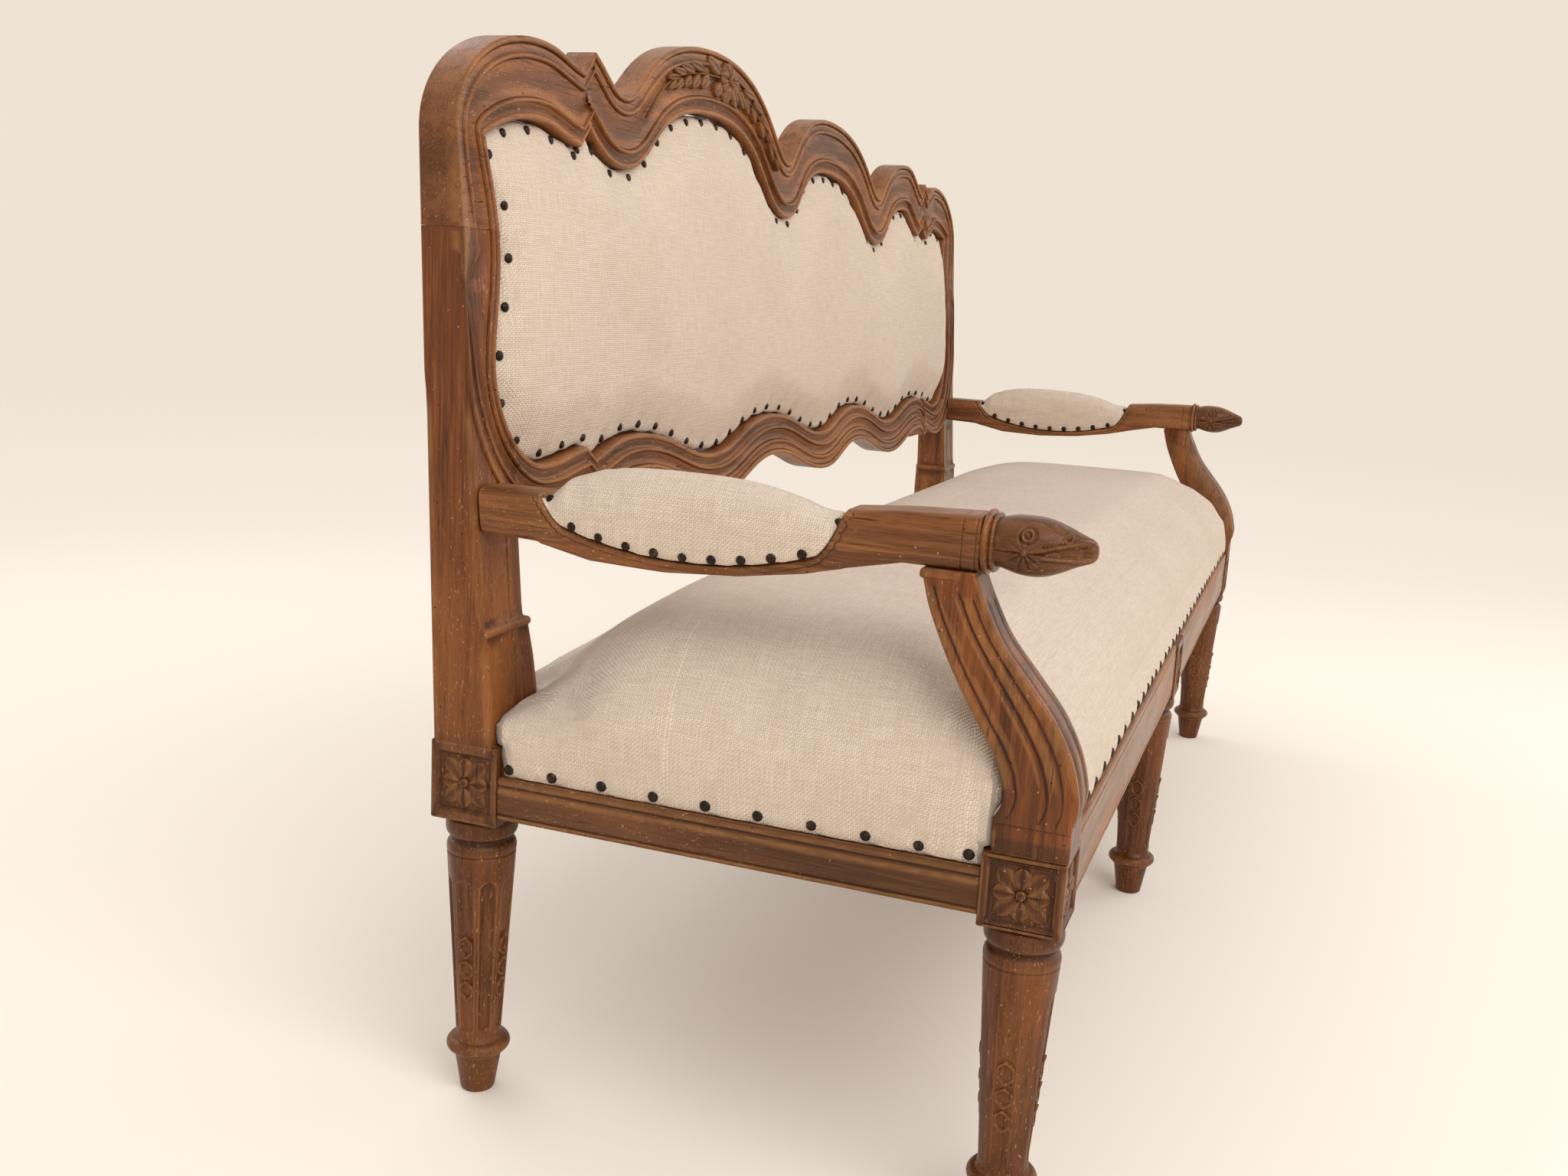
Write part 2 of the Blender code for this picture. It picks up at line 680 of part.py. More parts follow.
def crest_rail(material):
    """The crest, cut level on both stiles."""
    reach = HALF_LENGTH + OVERRUN
    low = BACK_FOOT - OVERRUN
    middle = (BACK_FOOT + CREST_TOP) / 2
    shoulder = HALF_LENGTH - CREST_FACE - STILE_SWELL - OVERRUN
    regions = [
        (-reach, low, reach, middle),
        (-reach, middle - OVERRUN, -shoulder, STILE_JOINT + CLEAR),
        (shoulder, middle - OVERRUN, reach, STILE_JOINT + CLEAR),
    ]
    crest = cut_region("crest_rail", regions)
    crest.data.materials.append(material)
    return crest


def lower_back_rail(material):
    """The scalloped lower rail, cut upright against both posts."""
    edge = HALF_LENGTH + OVERRUN
    joint = HALF_LENGTH - RAIL_JOINT_INSET - CLEAR
    low_y = front_plane(BACK_START) - OVERRUN
    high_y = rear_plane(CREST_TOP) + OVERRUN
    rail = loft("lower_back_rail", moulded_sections(frame_edges()[3]), material)
    for word, side in (("left", -1), ("right", 1)):
        low_x, high_x = sorted((side * joint, side * edge))
        low = (low_x, low_y, BACK_FOOT - OVERRUN)
        high = (high_x, high_y, CREST_TOP)
        cut(rail, box(f"lower_rail_end_{word}", low, high))
    return rail


def rail_section(show_top):
    """Section of a seat rail as (distance in from its outer face, height)."""
    groove = show_top - RAIL_BEAD_DROP
    return (
        (0.0, RAIL_BOTTOM), (0.0, groove - RAIL_BEAD_WIDTH), (RAIL_BEAD_DEPTH, groove), (0.0, groove),
        (0.0, show_top), (REBATE, show_top), (REBATE, RAIL_TOP), (RAIL_THICKNESS, RAIL_TOP),
        (RAIL_THICKNESS, RAIL_BOTTOM),
    )


def long_rail(name, low_x, high_x, face_y, inward, show_top, material):
    """A front or rear seat rail along X."""
    section = rail_section(show_top)
    rings = [[(x, face_y + inward * d, z) for d, z in section] for x in (low_x, high_x)]
    return loft(name, rings, material)


def end_rail(name, side, material):
    """A seat rail along Y at one end."""
    section = rail_section(SIDE_SHOW_TOP)
    face = side * (HALF_LENGTH - RAIL_INSET)
    low = FRAME_FRONT + BLOCK_SIDE + CLEAR
    high = FRAME_REAR - BLOCK_SIDE - CLEAR
    rings = [[(face - side * d, y, z) for d, z in section] for y in (low, high)]
    return loft(name, rings, material)


def tenon_along_x(rail, block, shoulder_x, face_y, inward, side):
    """Tenon of a long rail, running from its shoulder into a block."""
    centre = face_y + inward * RAIL_THICKNESS / 2
    low_z = RAIL_BOTTOM + TENON_LIFT
    ends = sorted((shoulder_x - side * TENON_ROOT, shoulder_x + side * TENON_LENGTH))
    low = (ends[0], centre - TENON_THICKNESS / 2, low_z)
    high = (ends[1], centre + TENON_THICKNESS / 2, low_z + TENON_HEIGHT)
    mortise_and_tenon(rail, block, low, high)


def tenon_along_y(rail, block, shoulder_y, side, toward):
    """Tenon of an end rail, running from its shoulder into a block."""
    centre = side * (HALF_LENGTH - RAIL_INSET - RAIL_THICKNESS / 2)
    low_z = RAIL_BOTTOM + TENON_LIFT
    ends = sorted((shoulder_y - toward * TENON_ROOT, shoulder_y + toward * TENON_LENGTH))
    low = (centre - TENON_THICKNESS / 2, ends[0], low_z)
    high = (centre + TENON_THICKNESS / 2, ends[1], low_z + TENON_HEIGHT)
    mortise_and_tenon(rail, block, low, high)


def seat_braces(material):
    """Cross bars between the front and rear rails."""
    low_y = FRAME_FRONT + RAIL_INSET + RAIL_THICKNESS + CLEAR
    high_y = FRAME_REAR - RAIL_INSET - RAIL_THICKNESS - CLEAR
    half = BRACE_WIDTH / 2
    names = (("seat_brace_left", -1), ("seat_brace_centre", 0), ("seat_brace_right", 1))
    for name, place_at in names:
        x = place_at * BRACE_PLACE_SHARE * HALF_LENGTH
        inset = BLOCK_SIDE - RAIL_INSET - RAIL_THICKNESS if place_at == 0 else 0.0
        low = (x - half, low_y + inset, RAIL_TOP - BRACE_HEIGHT)
        high = (x + half, high_y - inset, RAIL_TOP)
        box(name, low, high, material)


def corner_blocks(material):
    """Triangular blocks glued inside the four corners of the seat frame."""
    chamfer = BLOCK_SIDE - RAIL_INSET - RAIL_THICKNESS + CLEAR
    inner_x = HALF_LENGTH - RAIL_INSET - RAIL_THICKNESS - CLEAR
    for row, wall_y, inward in (
        ("front", FRAME_FRONT + RAIL_INSET + RAIL_THICKNESS + CLEAR, 1),
        ("back", FRAME_REAR - RAIL_INSET - RAIL_THICKNESS - CLEAR, -1),
    ):
        for word, side in (("left", -1), ("right", 1)):
            x = side * inner_x
            reach = CORNER_BLOCK_SIDE
            outline = (
                (x - side * chamfer, wall_y), (x - side * reach, wall_y), (x, wall_y + inward * reach),
                (x, wall_y + inward * chamfer), (x - side * chamfer, wall_y + inward * chamfer),
            )
            low = RAIL_TOP - CORNER_BLOCK_DROP
            prism(f"corner_block_{row}_{word}", outline, low, low + CORNER_BLOCK_HEIGHT, material)


def webbing(material):
    """Seat webbing stretched over the rails, cut back at the four corners."""
    half_x = HALF_LENGTH - WEBBING_INSET
    low_y = FRAME_FRONT + WEBBING_INSET
    high_y = FRAME_REAR - WEBBING_INSET
    x_notch = HALF_LENGTH - PEDESTAL_BOTTOM_WIDTH - CLEAR
    front_notch = FRAME_FRONT + BLOCK_SIDE + CLEAR
    rear_notch = FRAME_REAR - BLOCK_SIDE - CLEAR
    outline = (
        (-x_notch, low_y), (x_notch, low_y), (x_notch, front_notch), (half_x, front_notch),
        (half_x, rear_notch), (x_notch, rear_notch), (x_notch, high_y), (-x_notch, high_y),
        (-x_notch, rear_notch), (-half_x, rear_notch), (-half_x, front_notch), (-x_notch, front_notch),
    )
    low = RAIL_TOP + CLEAR
    return prism("seat_webbing", outline, low, low + WEBBING_THICKNESS, material)


# Arm support in side view: (Y share of the frame depth from its front, height share of the rise from
# the block to the arm) for the rear edge and the front edge, and the thickness share
SUPPORT_SHARES = (
    (0.1075, 0.000, 0.0000, 0.000, 1.00), (0.1075, 0.130, 0.0000, 0.130, 1.00),
    (0.0990, 0.175, -0.0048, 0.175, 0.98), (0.0975, 0.240, -0.0048, 0.240, 0.96),
    (0.1120, 0.350, 0.0075, 0.365, 0.90), (0.1490, 0.500, 0.0340, 0.500, 0.84),
    (0.1850, 0.660, 0.0700, 0.620, 0.79), (0.2170, 0.840, 0.1140, 0.760, 0.76),
    (0.2300, 0.950, 0.1430, 0.900, 0.74), (0.2330, 1.000, 0.1600, 1.000, 0.74),
)
SUPPORT_FOOT_CENTRE_SHARE = 0.055
SUPPORT_TOP_CENTRE_SHARE = 0.198
SUPPORT_FACE_SHARES = ((0.14, 0.0), (0.20, 1.0), (0.34, 0.4), (0.50, 0.9), (0.72, 0.4), (0.80, 1.0), (0.87, 0.0))


def support_rings(side, grow):
    """Sections up the S-shaped arm support, without its grooves where it is grown as a cutter."""
    groove_depth = SUPPORT_GROOVE if grow == 0.0 else 0.0
    foot = LEG_HEIGHT + FRONT_BLOCK_HEIGHT + CLEAR
    rise = SUPPORT_TOP - foot
    outer = side * (HALF_LENGTH - SUPPORT_INSET)
    rings = []
    for rear_y, rear_z, front_y, front_z, thick in SUPPORT_SHARES:
        rear = Vector((FRAME_FRONT + rear_y * FRAME_DEPTH, foot + rear_z * rise))
        front = Vector((FRAME_FRONT + front_y * FRAME_DEPTH, foot + front_z * rise))
        across = (front - rear).normalized()
        rear = rear - across * grow
        front = front + across * grow
        inner = outer - side * (SUPPORT_FOOT_WIDTH * thick + grow)
        face = outer + side * grow
        ring = [(inner, *rear), (face, *rear)]
        for share, groove in SUPPORT_FACE_SHARES:
            point = rear.lerp(front, share)
            ring.append((face - side * groove * groove_depth, *point))
        ring += [(face, *front), (inner, *front)]
        rings.append(ring)
    return rings


def arm_support(name, side, grow=0.0, material=None):
    """S-shaped moulded support between the front block and the arm."""
    return loft(name, support_rings(side, grow), material)


# Arm in side view: (Y share from the post's face to the collar, underside height, top height) with
# the heights as shares of the arm's greatest height above its lowest point
ARM_SHARES = (
    (0.00, 0.19, 0.72), (0.12, 0.16, 0.72), (0.24, 0.02, 0.74), (0.40, 0.00, 0.78), (0.55, 0.06, 0.82),
    (0.68, 0.18, 0.86), (0.76, 0.29, 0.92), (0.86, ARM_SEAT_SHARE, 0.97), (1.00, ARM_SEAT_SHARE, 1.00),
)
PAD_START_SHARE = 0.13
PAD_END_SHARE = 0.75
PAD_STEP_SHARE = 0.005
PAD_STEPS = 12
PAD_PEAK_SHARE = 0.42
PAD_LINE_SHARES = (0.13, 0.33)
# Section of the pad: half width and height above the shelf as shares
PAD_SECTION_SHARES = ((0.94, 0.00), (1.00, 0.14), (1.00, 0.50), (0.86, 0.81), (0.50, 0.96))
# Collar and head: (Y share of the head's length in front of the collar, half width, half height and
# centre height as shares of the arm's width and rise)
HEAD_SHARES = (
    (0.00, 0.48, 0.29, 0.71), (0.03, 0.56, 0.33, 0.71), (0.09, 0.56, 0.33, 0.71), (0.13, 0.46, 0.28, 0.71),
    (0.22, 0.50, 0.33, 0.70), (0.42, 0.56, 0.36, 0.68), (0.62, 0.50, 0.33, 0.67), (0.80, 0.38, 0.25, 0.68),
    (0.93, 0.25, 0.16, 0.70), (1.00, 0.12, 0.10, 0.71),
)
SECTION_STEPS = 3


def arm_axis_y(share):
    """Y along the arm from the post to the collar."""
    start = front_plane(ARM_LOW + ARM_RISE / 2) - CLEAR
    return start + share * (ARM_COLLAR_Y - start)


def arm_line(share):
    """Underside and top height of the arm at a Y share."""
    for (a, low_a, high_a), (b, low_b, high_b) in zip(ARM_SHARES, ARM_SHARES[1:]):
        if share <= b:
            t = (share - a) / (b - a)
            low = low_a + (low_b - low_a) * t
            high = high_a + (high_b - high_a) * t
            break
    return ARM_LOW + ARM_RISE * low, ARM_LOW + ARM_RISE * high


def pad_stations():
    """Y shares of the sections under the pad."""
    reach = PAD_END_SHARE - PAD_START_SHARE
    return [PAD_START_SHARE + reach * i / PAD_STEPS for i in range(PAD_STEPS + 1)]


def arm_ring(centre_x, y, low, high, core_top=None):
    """Section of the arm: full width, or stepped in to the core that the pad sits on."""
    half = ARM_WIDTH / 2
    round_off = half * ROUND_SHARE / 2
    if core_top is None:
        shelf = low + (high - low) * ROUND_SHARE
        core = half - CLEAR
        top = high
    else:
        shelf = high
        core = ARM_CORE_WIDTH / 2
        top = core_top
    inner = core - round_off
    edge = round_off if core_top is None else round_off / 2
    right = [
        (half - round_off, low), (half, low + edge), (half, shelf), (core, shelf + CLEAR),
        (core, top - edge), (inner, top),
    ]
    left = [(-w, z) for w, z in reversed(right)]
    return [(centre_x + w, y, z) for w, z in right + left]


def head_ring(centre_x, y, half_width, half_height, middle):
    """Oval section with as many points as the arm's section."""
    ring = []
    count = 4 * SECTION_STEPS
    for i in range(count):
        angle = -math.pi / 2 + math.tau * (i + 1 / 2) / count
        ring.append((centre_x + half_width * math.cos(angle), y, middle + half_height * math.sin(angle)))
    return ring


def pad_line(share):
    """Height of the shelf under the pad at a Y share."""
    middle = (PAD_START_SHARE + PAD_END_SHARE) / 2
    reach = (share - middle) / (PAD_END_SHARE - middle)
    lowest, rise = PAD_LINE_SHARES
    return ARM_LOW + ARM_RISE * (lowest + rise * reach**2)


def arm(name, side, material):
    """Arm with the core for its pad, a collar and a carved fish-like head."""
    centre = side * (HALF_LENGTH - ARM_INSET - ARM_WIDTH / 2)
    low_z, high_z = arm_line(0.0)
    rings = [[(x, front_plane(z) - CLEAR, z) for x, _, z in arm_ring(centre, 0.0, low_z, high_z)]]
    bare_before = PAD_START_SHARE - PAD_STEP_SHARE
    bare_after = PAD_END_SHARE + PAD_STEP_SHARE
    rings.append(arm_ring(centre, arm_axis_y(bare_before), *arm_line(bare_before)))
    for share in pad_stations():
        low_z = arm_line(share)[0]
        rings.append(arm_ring(centre, arm_axis_y(share), low_z, pad_line(share), ARM_LOW + ARM_CORE_HEIGHT))
    for share in (bare_after, ARM_SHARES[-2][0], ARM_SHARES[-1][0]):
        rings.append(arm_ring(centre, arm_axis_y(share), *arm_line(share)))
    for share, wide, tall, middle in HEAD_SHARES:
        y = ARM_COLLAR_Y - (share + CLEAR) * HEAD_LENGTH
        rings.append(
            head_ring(centre, y, wide * ARM_WIDTH, tall * ARM_RISE, ARM_LOW + middle * ARM_RISE)
        )
    made = loft(name, rings, material)
    tip = ARM_COLLAR_Y - HEAD_LENGTH
    mouth_z = ARM_LOW + HEAD_SHARES[-1][3] * ARM_RISE
    wedge = []
    for x in (centre - ARM_WIDTH, centre + ARM_WIDTH):
        wedge.append(
            [
                (x, tip + MOUTH_LENGTH, mouth_z - MOUTH_OPEN / 2),
                (x, tip - OVERRUN, mouth_z - MOUTH_OPEN),
                (x, tip - OVERRUN, mouth_z + MOUTH_OPEN),
            ]
        )
    return cut(made, loft(f"{name}_mouth", wedge))


def arm_pad(name, side, material):
    """Stuffed pad that sits over the arm's core and swells above it."""
    centre = side * (HALF_LENGTH - ARM_INSET - ARM_WIDTH / 2)
    ceiling = ARM_LOW + ARM_CORE_HEIGHT + CLEAR
    skin = ceiling + PAD_SKIN
    core = ARM_CORE_WIDTH / 2 + CLEAR
    rings = []
    for i, share in enumerate(pad_stations()):
        t = i / PAD_STEPS
        away = (t - PAD_PEAK_SHARE) / (PAD_PEAK_SHARE if t < PAD_PEAK_SHARE else 1 - PAD_PEAK_SHARE)
        swell = math.sqrt(1 - abs(away) ** PAD_FULLNESS)
        y = arm_axis_y(share) - 2 * CLEAR * (1 - 2 * t)
        shelf = pad_line(share) + 2 * CLEAR
        half = (ARM_CORE_WIDTH + (ARM_PAD_WIDTH - ARM_CORE_WIDTH) * (1 + swell) / 2) / 2
        top = skin + (ARM_LOW + ARM_PAD_HEIGHT - skin) * swell
        right = [(core, ceiling), (core, shelf)]
        right += [(half * wide, shelf + (top - shelf) * up) for wide, up in PAD_SECTION_SHARES]
        ring = right + [(0.0, top)] + [(-w, z) for w, z in reversed(right)]
        rings.append([(centre + w, y, z) for w, z in ring])
    return loft(name, rings, material)


def bell(distance, reach):
    """Quarter-round rise from 0 at the edge to 1 at the reach."""
    if distance >= reach:
        return 1.0
    if distance <= 0:
        return 0.0
    return math.sqrt(1 - (1 - distance / reach) ** 2)


def rise_share(distance, reach):
    """Share of a soft quarter wave that a distance covers, from 0 to 1."""
    return math.sin(math.pi / 2 * min(max(distance / reach, 0.0), 1.0))


def seat_rise(end, front, back, worn_end):
    """Rise of the seat over its shoulder, from the distances to its end, its front and its back.

    The corner at the worn end has sunk: there the stuffing only fills out away from the post.
    """
    ends = bell(end, SEAT_END_ROLL)
    if worn_end:
        slack = rise_share(end - SEAT_SLACK_START, SEAT_SLACK_REACH)
        worn = 1 - rise_share(back, SEAT_SLACK_DEPTH) ** 2
        ends += (slack - ends) * worn
    crown = SEAT_CROWN * ends * bell(front, SEAT_FRONT_ROLL) * rise_share(back, SEAT_BACK_ROLL)
    return SEAT_SKIN * bell(min(end, front, back), SEAT_SKIN_ROLL) + crown


def graded(count, low, high):
    """Values between two ends, closer together towards the ends."""
    return [low + (high - low) * (1 - math.cos(math.pi * i / count)) / 2 for i in range(count + 1)]


def seat_cushion(material):
    """Crowned seat upholstery that comes down over the rails to the nail line."""
    half_x = HALF_LENGTH - SEAT_INSET
    low_y = FRAME_FRONT + SEAT_INSET
    high_y = FRAME_REAR - SEAT_INSET
    xs = graded(SEAT_COLUMNS, -half_x, half_x)
    ys = graded(SEAT_ROWS, low_y, high_y)
    foot = SIDE_SHOW_TOP + CLEAR
    points = []
    for y in ys:
        for x in xs:
            rise = seat_rise(half_x - abs(x), y - low_y, high_y - y, x < 0)
            points.append((x, y, LEG_HEIGHT + SEAT_SHOULDER_HEIGHT + rise))
    columns = len(xs)
    rows = len(ys)
    top_count = columns * rows
    for x, y, _ in list(points):
        points.append((x, y, foot))
    faces = []
    for j in range(rows - 1):
        for i in range(columns - 1):
            a = j * columns + i
            faces.append((a, a + 1, a + columns + 1, a + columns))
    rim = [i for i in range(columns)]
    rim += [j * columns + columns - 1 for j in range(1, rows)]
    rim += [(rows - 1) * columns + i for i in range(columns - 2, -1, -1)]
    rim += [j * columns for j in range(rows - 2, 0, -1)]
    base = []
    keep = {}
    flat = list(points[:top_count])
    for order, index in enumerate(rim):
        keep[index] = top_count + order
        flat.append(points[top_count + index])
        base.append(top_count + order)
    for a, b in zip(rim, rim[1:] + rim[:1]):
        faces.append((a, b, keep[b], keep[a]))
    faces.append(tuple(base))
    made = new_object("seat_cushion", flat, faces, material)
    core = RAIL_INSET + REBATE - CLEAR
    under = RAIL_TOP + WEBBING_THICKNESS + 2 * CLEAR
    low = (-HALF_LENGTH + core, FRAME_FRONT + core, foot - OVERRUN)
    high = (HALF_LENGTH - core, FRAME_REAR - core, under)
    cut(made, box("seat_pocket", low, high))
    low = (-HALF_LENGTH - OVERRUN, FRAME_FRONT - OVERRUN, foot - OVERRUN)
    high = (HALF_LENGTH + OVERRUN, FRAME_FRONT + core + OVERRUN, FRONT_SHOW_TOP + CLEAR)
    cut(made, box("seat_front_step", low, high))
    for word, side in (("left", -1), ("right", 1)):
        cut(made, post_body(f"seat_notch_post_{word}", side, grow=NOTCH_CLEAR))
        cut(made, arm_support(f"seat_notch_support_{word}", side, grow=NOTCH_CLEAR))
        for row, y, height in (
            ("front", FRONT_BLOCK_Y, FRONT_BLOCK_HEIGHT), ("back", REAR_BLOCK_Y, BACK_BLOCK_HEIGHT),
        ):
            half = BLOCK_SIDE / 2 + 2 * CLEAR
            x = side * BLOCK_CENTRE_X
            low = (x - half, y - half, foot - OVERRUN)
            high = (x + half, y + half, LEG_HEIGHT + height + 2 * CLEAR)
            cut(made, box(f"seat_notch_block_{row}_{word}", low, high))
    return made


def opening_runs():
    """The four runs round the cloth opening as (x, z, rear Y), a clearance inside the frame."""
    runs = frame_edges()
    stations = frame_stations()
    inner = [on_face(station, station[2], 0.0) for station in stations]
    count = len(stations)
    made = []
    for i, station in enumerate(stations):
        before, here, after = (Vector((inner[j % count][0], inner[j % count][2])) for j in (i - 1, i, i + 1))
        along = (here - before).normalized() + (after - here).normalized()
        along.normalize()
        x = here.x + along.y * PANEL_CLEAR
        z = here.y - along.x * PANEL_CLEAR
        made.append((x, z, on_rear(station, station[2])[1]))
    left_end = len(runs[0])
    crest_end = left_end + len(runs[1])
    right_end = crest_end + len(runs[2])
    left = made[:left_end]
    crest = made[left_end:crest_end]
    right = made[crest_end:right_end][::-1]
    foot = made[right_end:][::-1]
    return foot, [foot[-1]] + right + [crest[-1]], crest, [foot[0]] + left + [crest[0]]


def way(edge, index, axis):
    """Share of an edge's reach along one axis that a point of it has covered."""
    return (edge[index][axis] - edge[0][axis]) / (edge[-1][axis] - edge[0][axis])


def coons(edges, column, row):
    """Point of the patch between four edges: bottom, right, top and left.

    Inner points keep at least a small step from the sides, so that the swollen stiles fold nothing.
    """
    bottom, right, top, left = edges
    s = (way(bottom, column, 0) + way(top, column, 0)) / 2
    t = (way(left, row, 2) + way(right, row, 2)) / 2
    made = []
    for axis in range(3):
        along = (1 - t) * bottom[column][axis] + t * top[column][axis]
        across = (1 - s) * left[row][axis] + s * right[row][axis]
        low = (1 - s) * bottom[0][axis] + s * bottom[-1][axis]
        high = (1 - s) * top[0][axis] + s * top[-1][axis]
        made.append(along + across - (1 - t) * low - t * high)
    if 0 < row < len(left) - 1:
        least = left[row][0] + column * PANEL_STEP
        most = right[row][0] - (len(bottom) - 1 - column) * PANEL_STEP
        made[0] = min(max(made[0], least), most)
    return made


def patch(edges, crown):
    """Grid of points over the patch, pushed forwards in the middle by the crown."""
    columns = len(edges[0]) - 1
    rows = len(edges[1]) - 1
    points = []
    for row in range(rows + 1):
        for column in range(columns + 1):
            x, y, z = coons(edges, column, row)
            across = 1 - abs(2 * column / columns - 1) ** PAD_FLATNESS
            upward = 1 - abs(2 * row / rows - 1) ** 2
            points.append((x, y - crown * math.sqrt(across * upward), z))
    return points


def panel(name, front, rear, crown, material):
    """A closed panel between two sets of edges, crowned on its front."""
    points = patch(front, crown)
    side_count = len(points)
    points += patch(rear, 0.0)
    wide = len(front[0])
    tall = len(front[1])
    faces = []
    for row in range(tall - 1):
        for column in range(wide - 1):
            a = row * wide + column
            quad = (a, a + 1, a + wide + 1, a + wide)
            faces.append(quad)
            faces.append(tuple(side_count + i for i in reversed(quad)))
    rim = list(range(wide)) + [row * wide + wide - 1 for row in range(1, tall)]
    rim += list(range(side_count - 2, side_count - wide - 1, -1))
    rim += [row * wide for row in range(tall - 2, 0, -1)]
    for a, b in zip(rim, rim[1:] + rim[:1]):
        faces.append((a, b, side_count + b, side_count + a))
    return new_object(name, points, faces, material)


def back_upholstery(linen):
    """The crowned front panel and the thin cloth on the rear of the back."""
    runs = opening_runs()

    def facing(depth):
        return [[(x, front_plane(z) + depth, z) for x, z, _ in run] for run in runs]

    def behind(depth):
        return [[(x, rear - depth, z) for x, z, rear in run] for run in runs]

    pad_rear = BACK_COVER_SINK + BACK_COVER_THICKNESS + 2 * CLEAR
    panel("back_pad", facing(CLOTH_DEPTH - PAD_EDGE), behind(pad_rear), BACK_PAD_CROWN, linen)
    panel("rear_cover", behind(pad_rear - 2 * CLEAR), behind(BACK_COVER_SINK), 0.0, linen)


def ledge_rings(side, grow):
    """Lower and upper section of a short block behind the lower rail, its free end slanted."""
    inner = HALF_LENGTH - RAIL_JOINT_INSET - 2 * CLEAR
    low_z = BACK_FOOT + LEDGE_LOW_SHARE * BACK_HEIGHT - grow
    high_z = BACK_FOOT + LEDGE_HIGH_SHARE * BACK_HEIGHT + grow
    rings = []
    for z, length in ((low_z, LEDGE_LENGTH - LEDGE_SLANT), (high_z, LEDGE_LENGTH)):
        front = front_plane(z) + LOWER_THICKNESS - grow
        rear = rear_plane(z) - POST_SIDE_INSET + 2 * grow
        ends = (side * (inner + 2 * grow), side * (inner - length - grow))
        rings.append([(ends[0], front, z), (ends[1], front, z), (ends[1], rear, z), (ends[0], rear, z)])
    return rings


def back_ledges(lower_rail, material):
    """Short straight blocks let into the rear of the lower rail, against both posts."""
    for word, side in (("left", -1), ("right", 1)):
        loft(f"back_ledge_{word}", ledge_rings(side, 0.0), material)
        cut(lower_rail, loft(f"lower_rail_ledge_seat_{word}", ledge_rings(side, CLEAR)))


def upper_joints(side, post, crest, lower_rail):
    """Tenon of a post in the crest and tenon of the lower rail in the post."""
    half_thick = TENON_THICKNESS / 2
    x = side * (HALF_LENGTH - stile_width(STILE_JOINT) / 2)
    y = (front_plane(STILE_JOINT) + FIELD_DEPTH + rear_plane(STILE_JOINT)) / 2
    low = (x - POST_TENON_WIDTH / 2, y - half_thick, STILE_JOINT - TENON_ROOT)
    high = (x + POST_TENON_WIDTH / 2, y + half_thick, STILE_JOINT + TENON_LENGTH)
    mortise_and_tenon(post, crest, low, high)
    joint = side * (HALF_LENGTH - RAIL_JOINT_INSET)
    ends = sorted((joint - side * TENON_ROOT, joint + side * TENON_LENGTH))
    level = BACK_FOOT + LOWER_TENON_SHARE * BACK_HEIGHT
    y = front_plane(level) + (FIELD_DEPTH + LOWER_THICKNESS) / 2
    low = (ends[0], y - half_thick, level)
    high = (ends[1], y + half_thick, level + TENON_HEIGHT)
    mortise_and_tenon(lower_rail, post, low, high)


def arm_joints(side, post, rest, support, block):
    """Tenon of an arm in its post and tenons of the support in the block and the arm."""
    half_thick = TENON_THICKNESS / 2
    x = side * (HALF_LENGTH - ARM_INSET - ARM_WIDTH / 2)
    level = ARM_LOW + ARM_TENON_LIFT
    face = front_plane(level)
    low = (x - half_thick, face - 2 * TENON_ROOT, level)
    high = (x + half_thick, face + TENON_LENGTH, level + ARM_TENON_HEIGHT)
    mortise_and_tenon(rest, post, low, high)
    foot = LEG_HEIGHT + FRONT_BLOCK_HEIGHT
    levels = (
        (block, SUPPORT_FOOT_CENTRE_SHARE, foot - SUPPORT_TENON_LENGTH, foot + TENON_ROOT),
        (rest, SUPPORT_TOP_CENTRE_SHARE, SUPPORT_TOP - TENON_ROOT, SUPPORT_TOP + SUPPORT_TENON_LENGTH),
    )
    for other, centre_share, low_z, high_z in levels:
        y = FRAME_FRONT + centre_share * FRAME_DEPTH
        low = (x - half_thick, y - SUPPORT_TENON_SIDE / 2, low_z)
        high = (x + half_thick, y + SUPPORT_TENON_SIDE / 2, high_z)
        mortise_and_tenon(support, other, low, high)


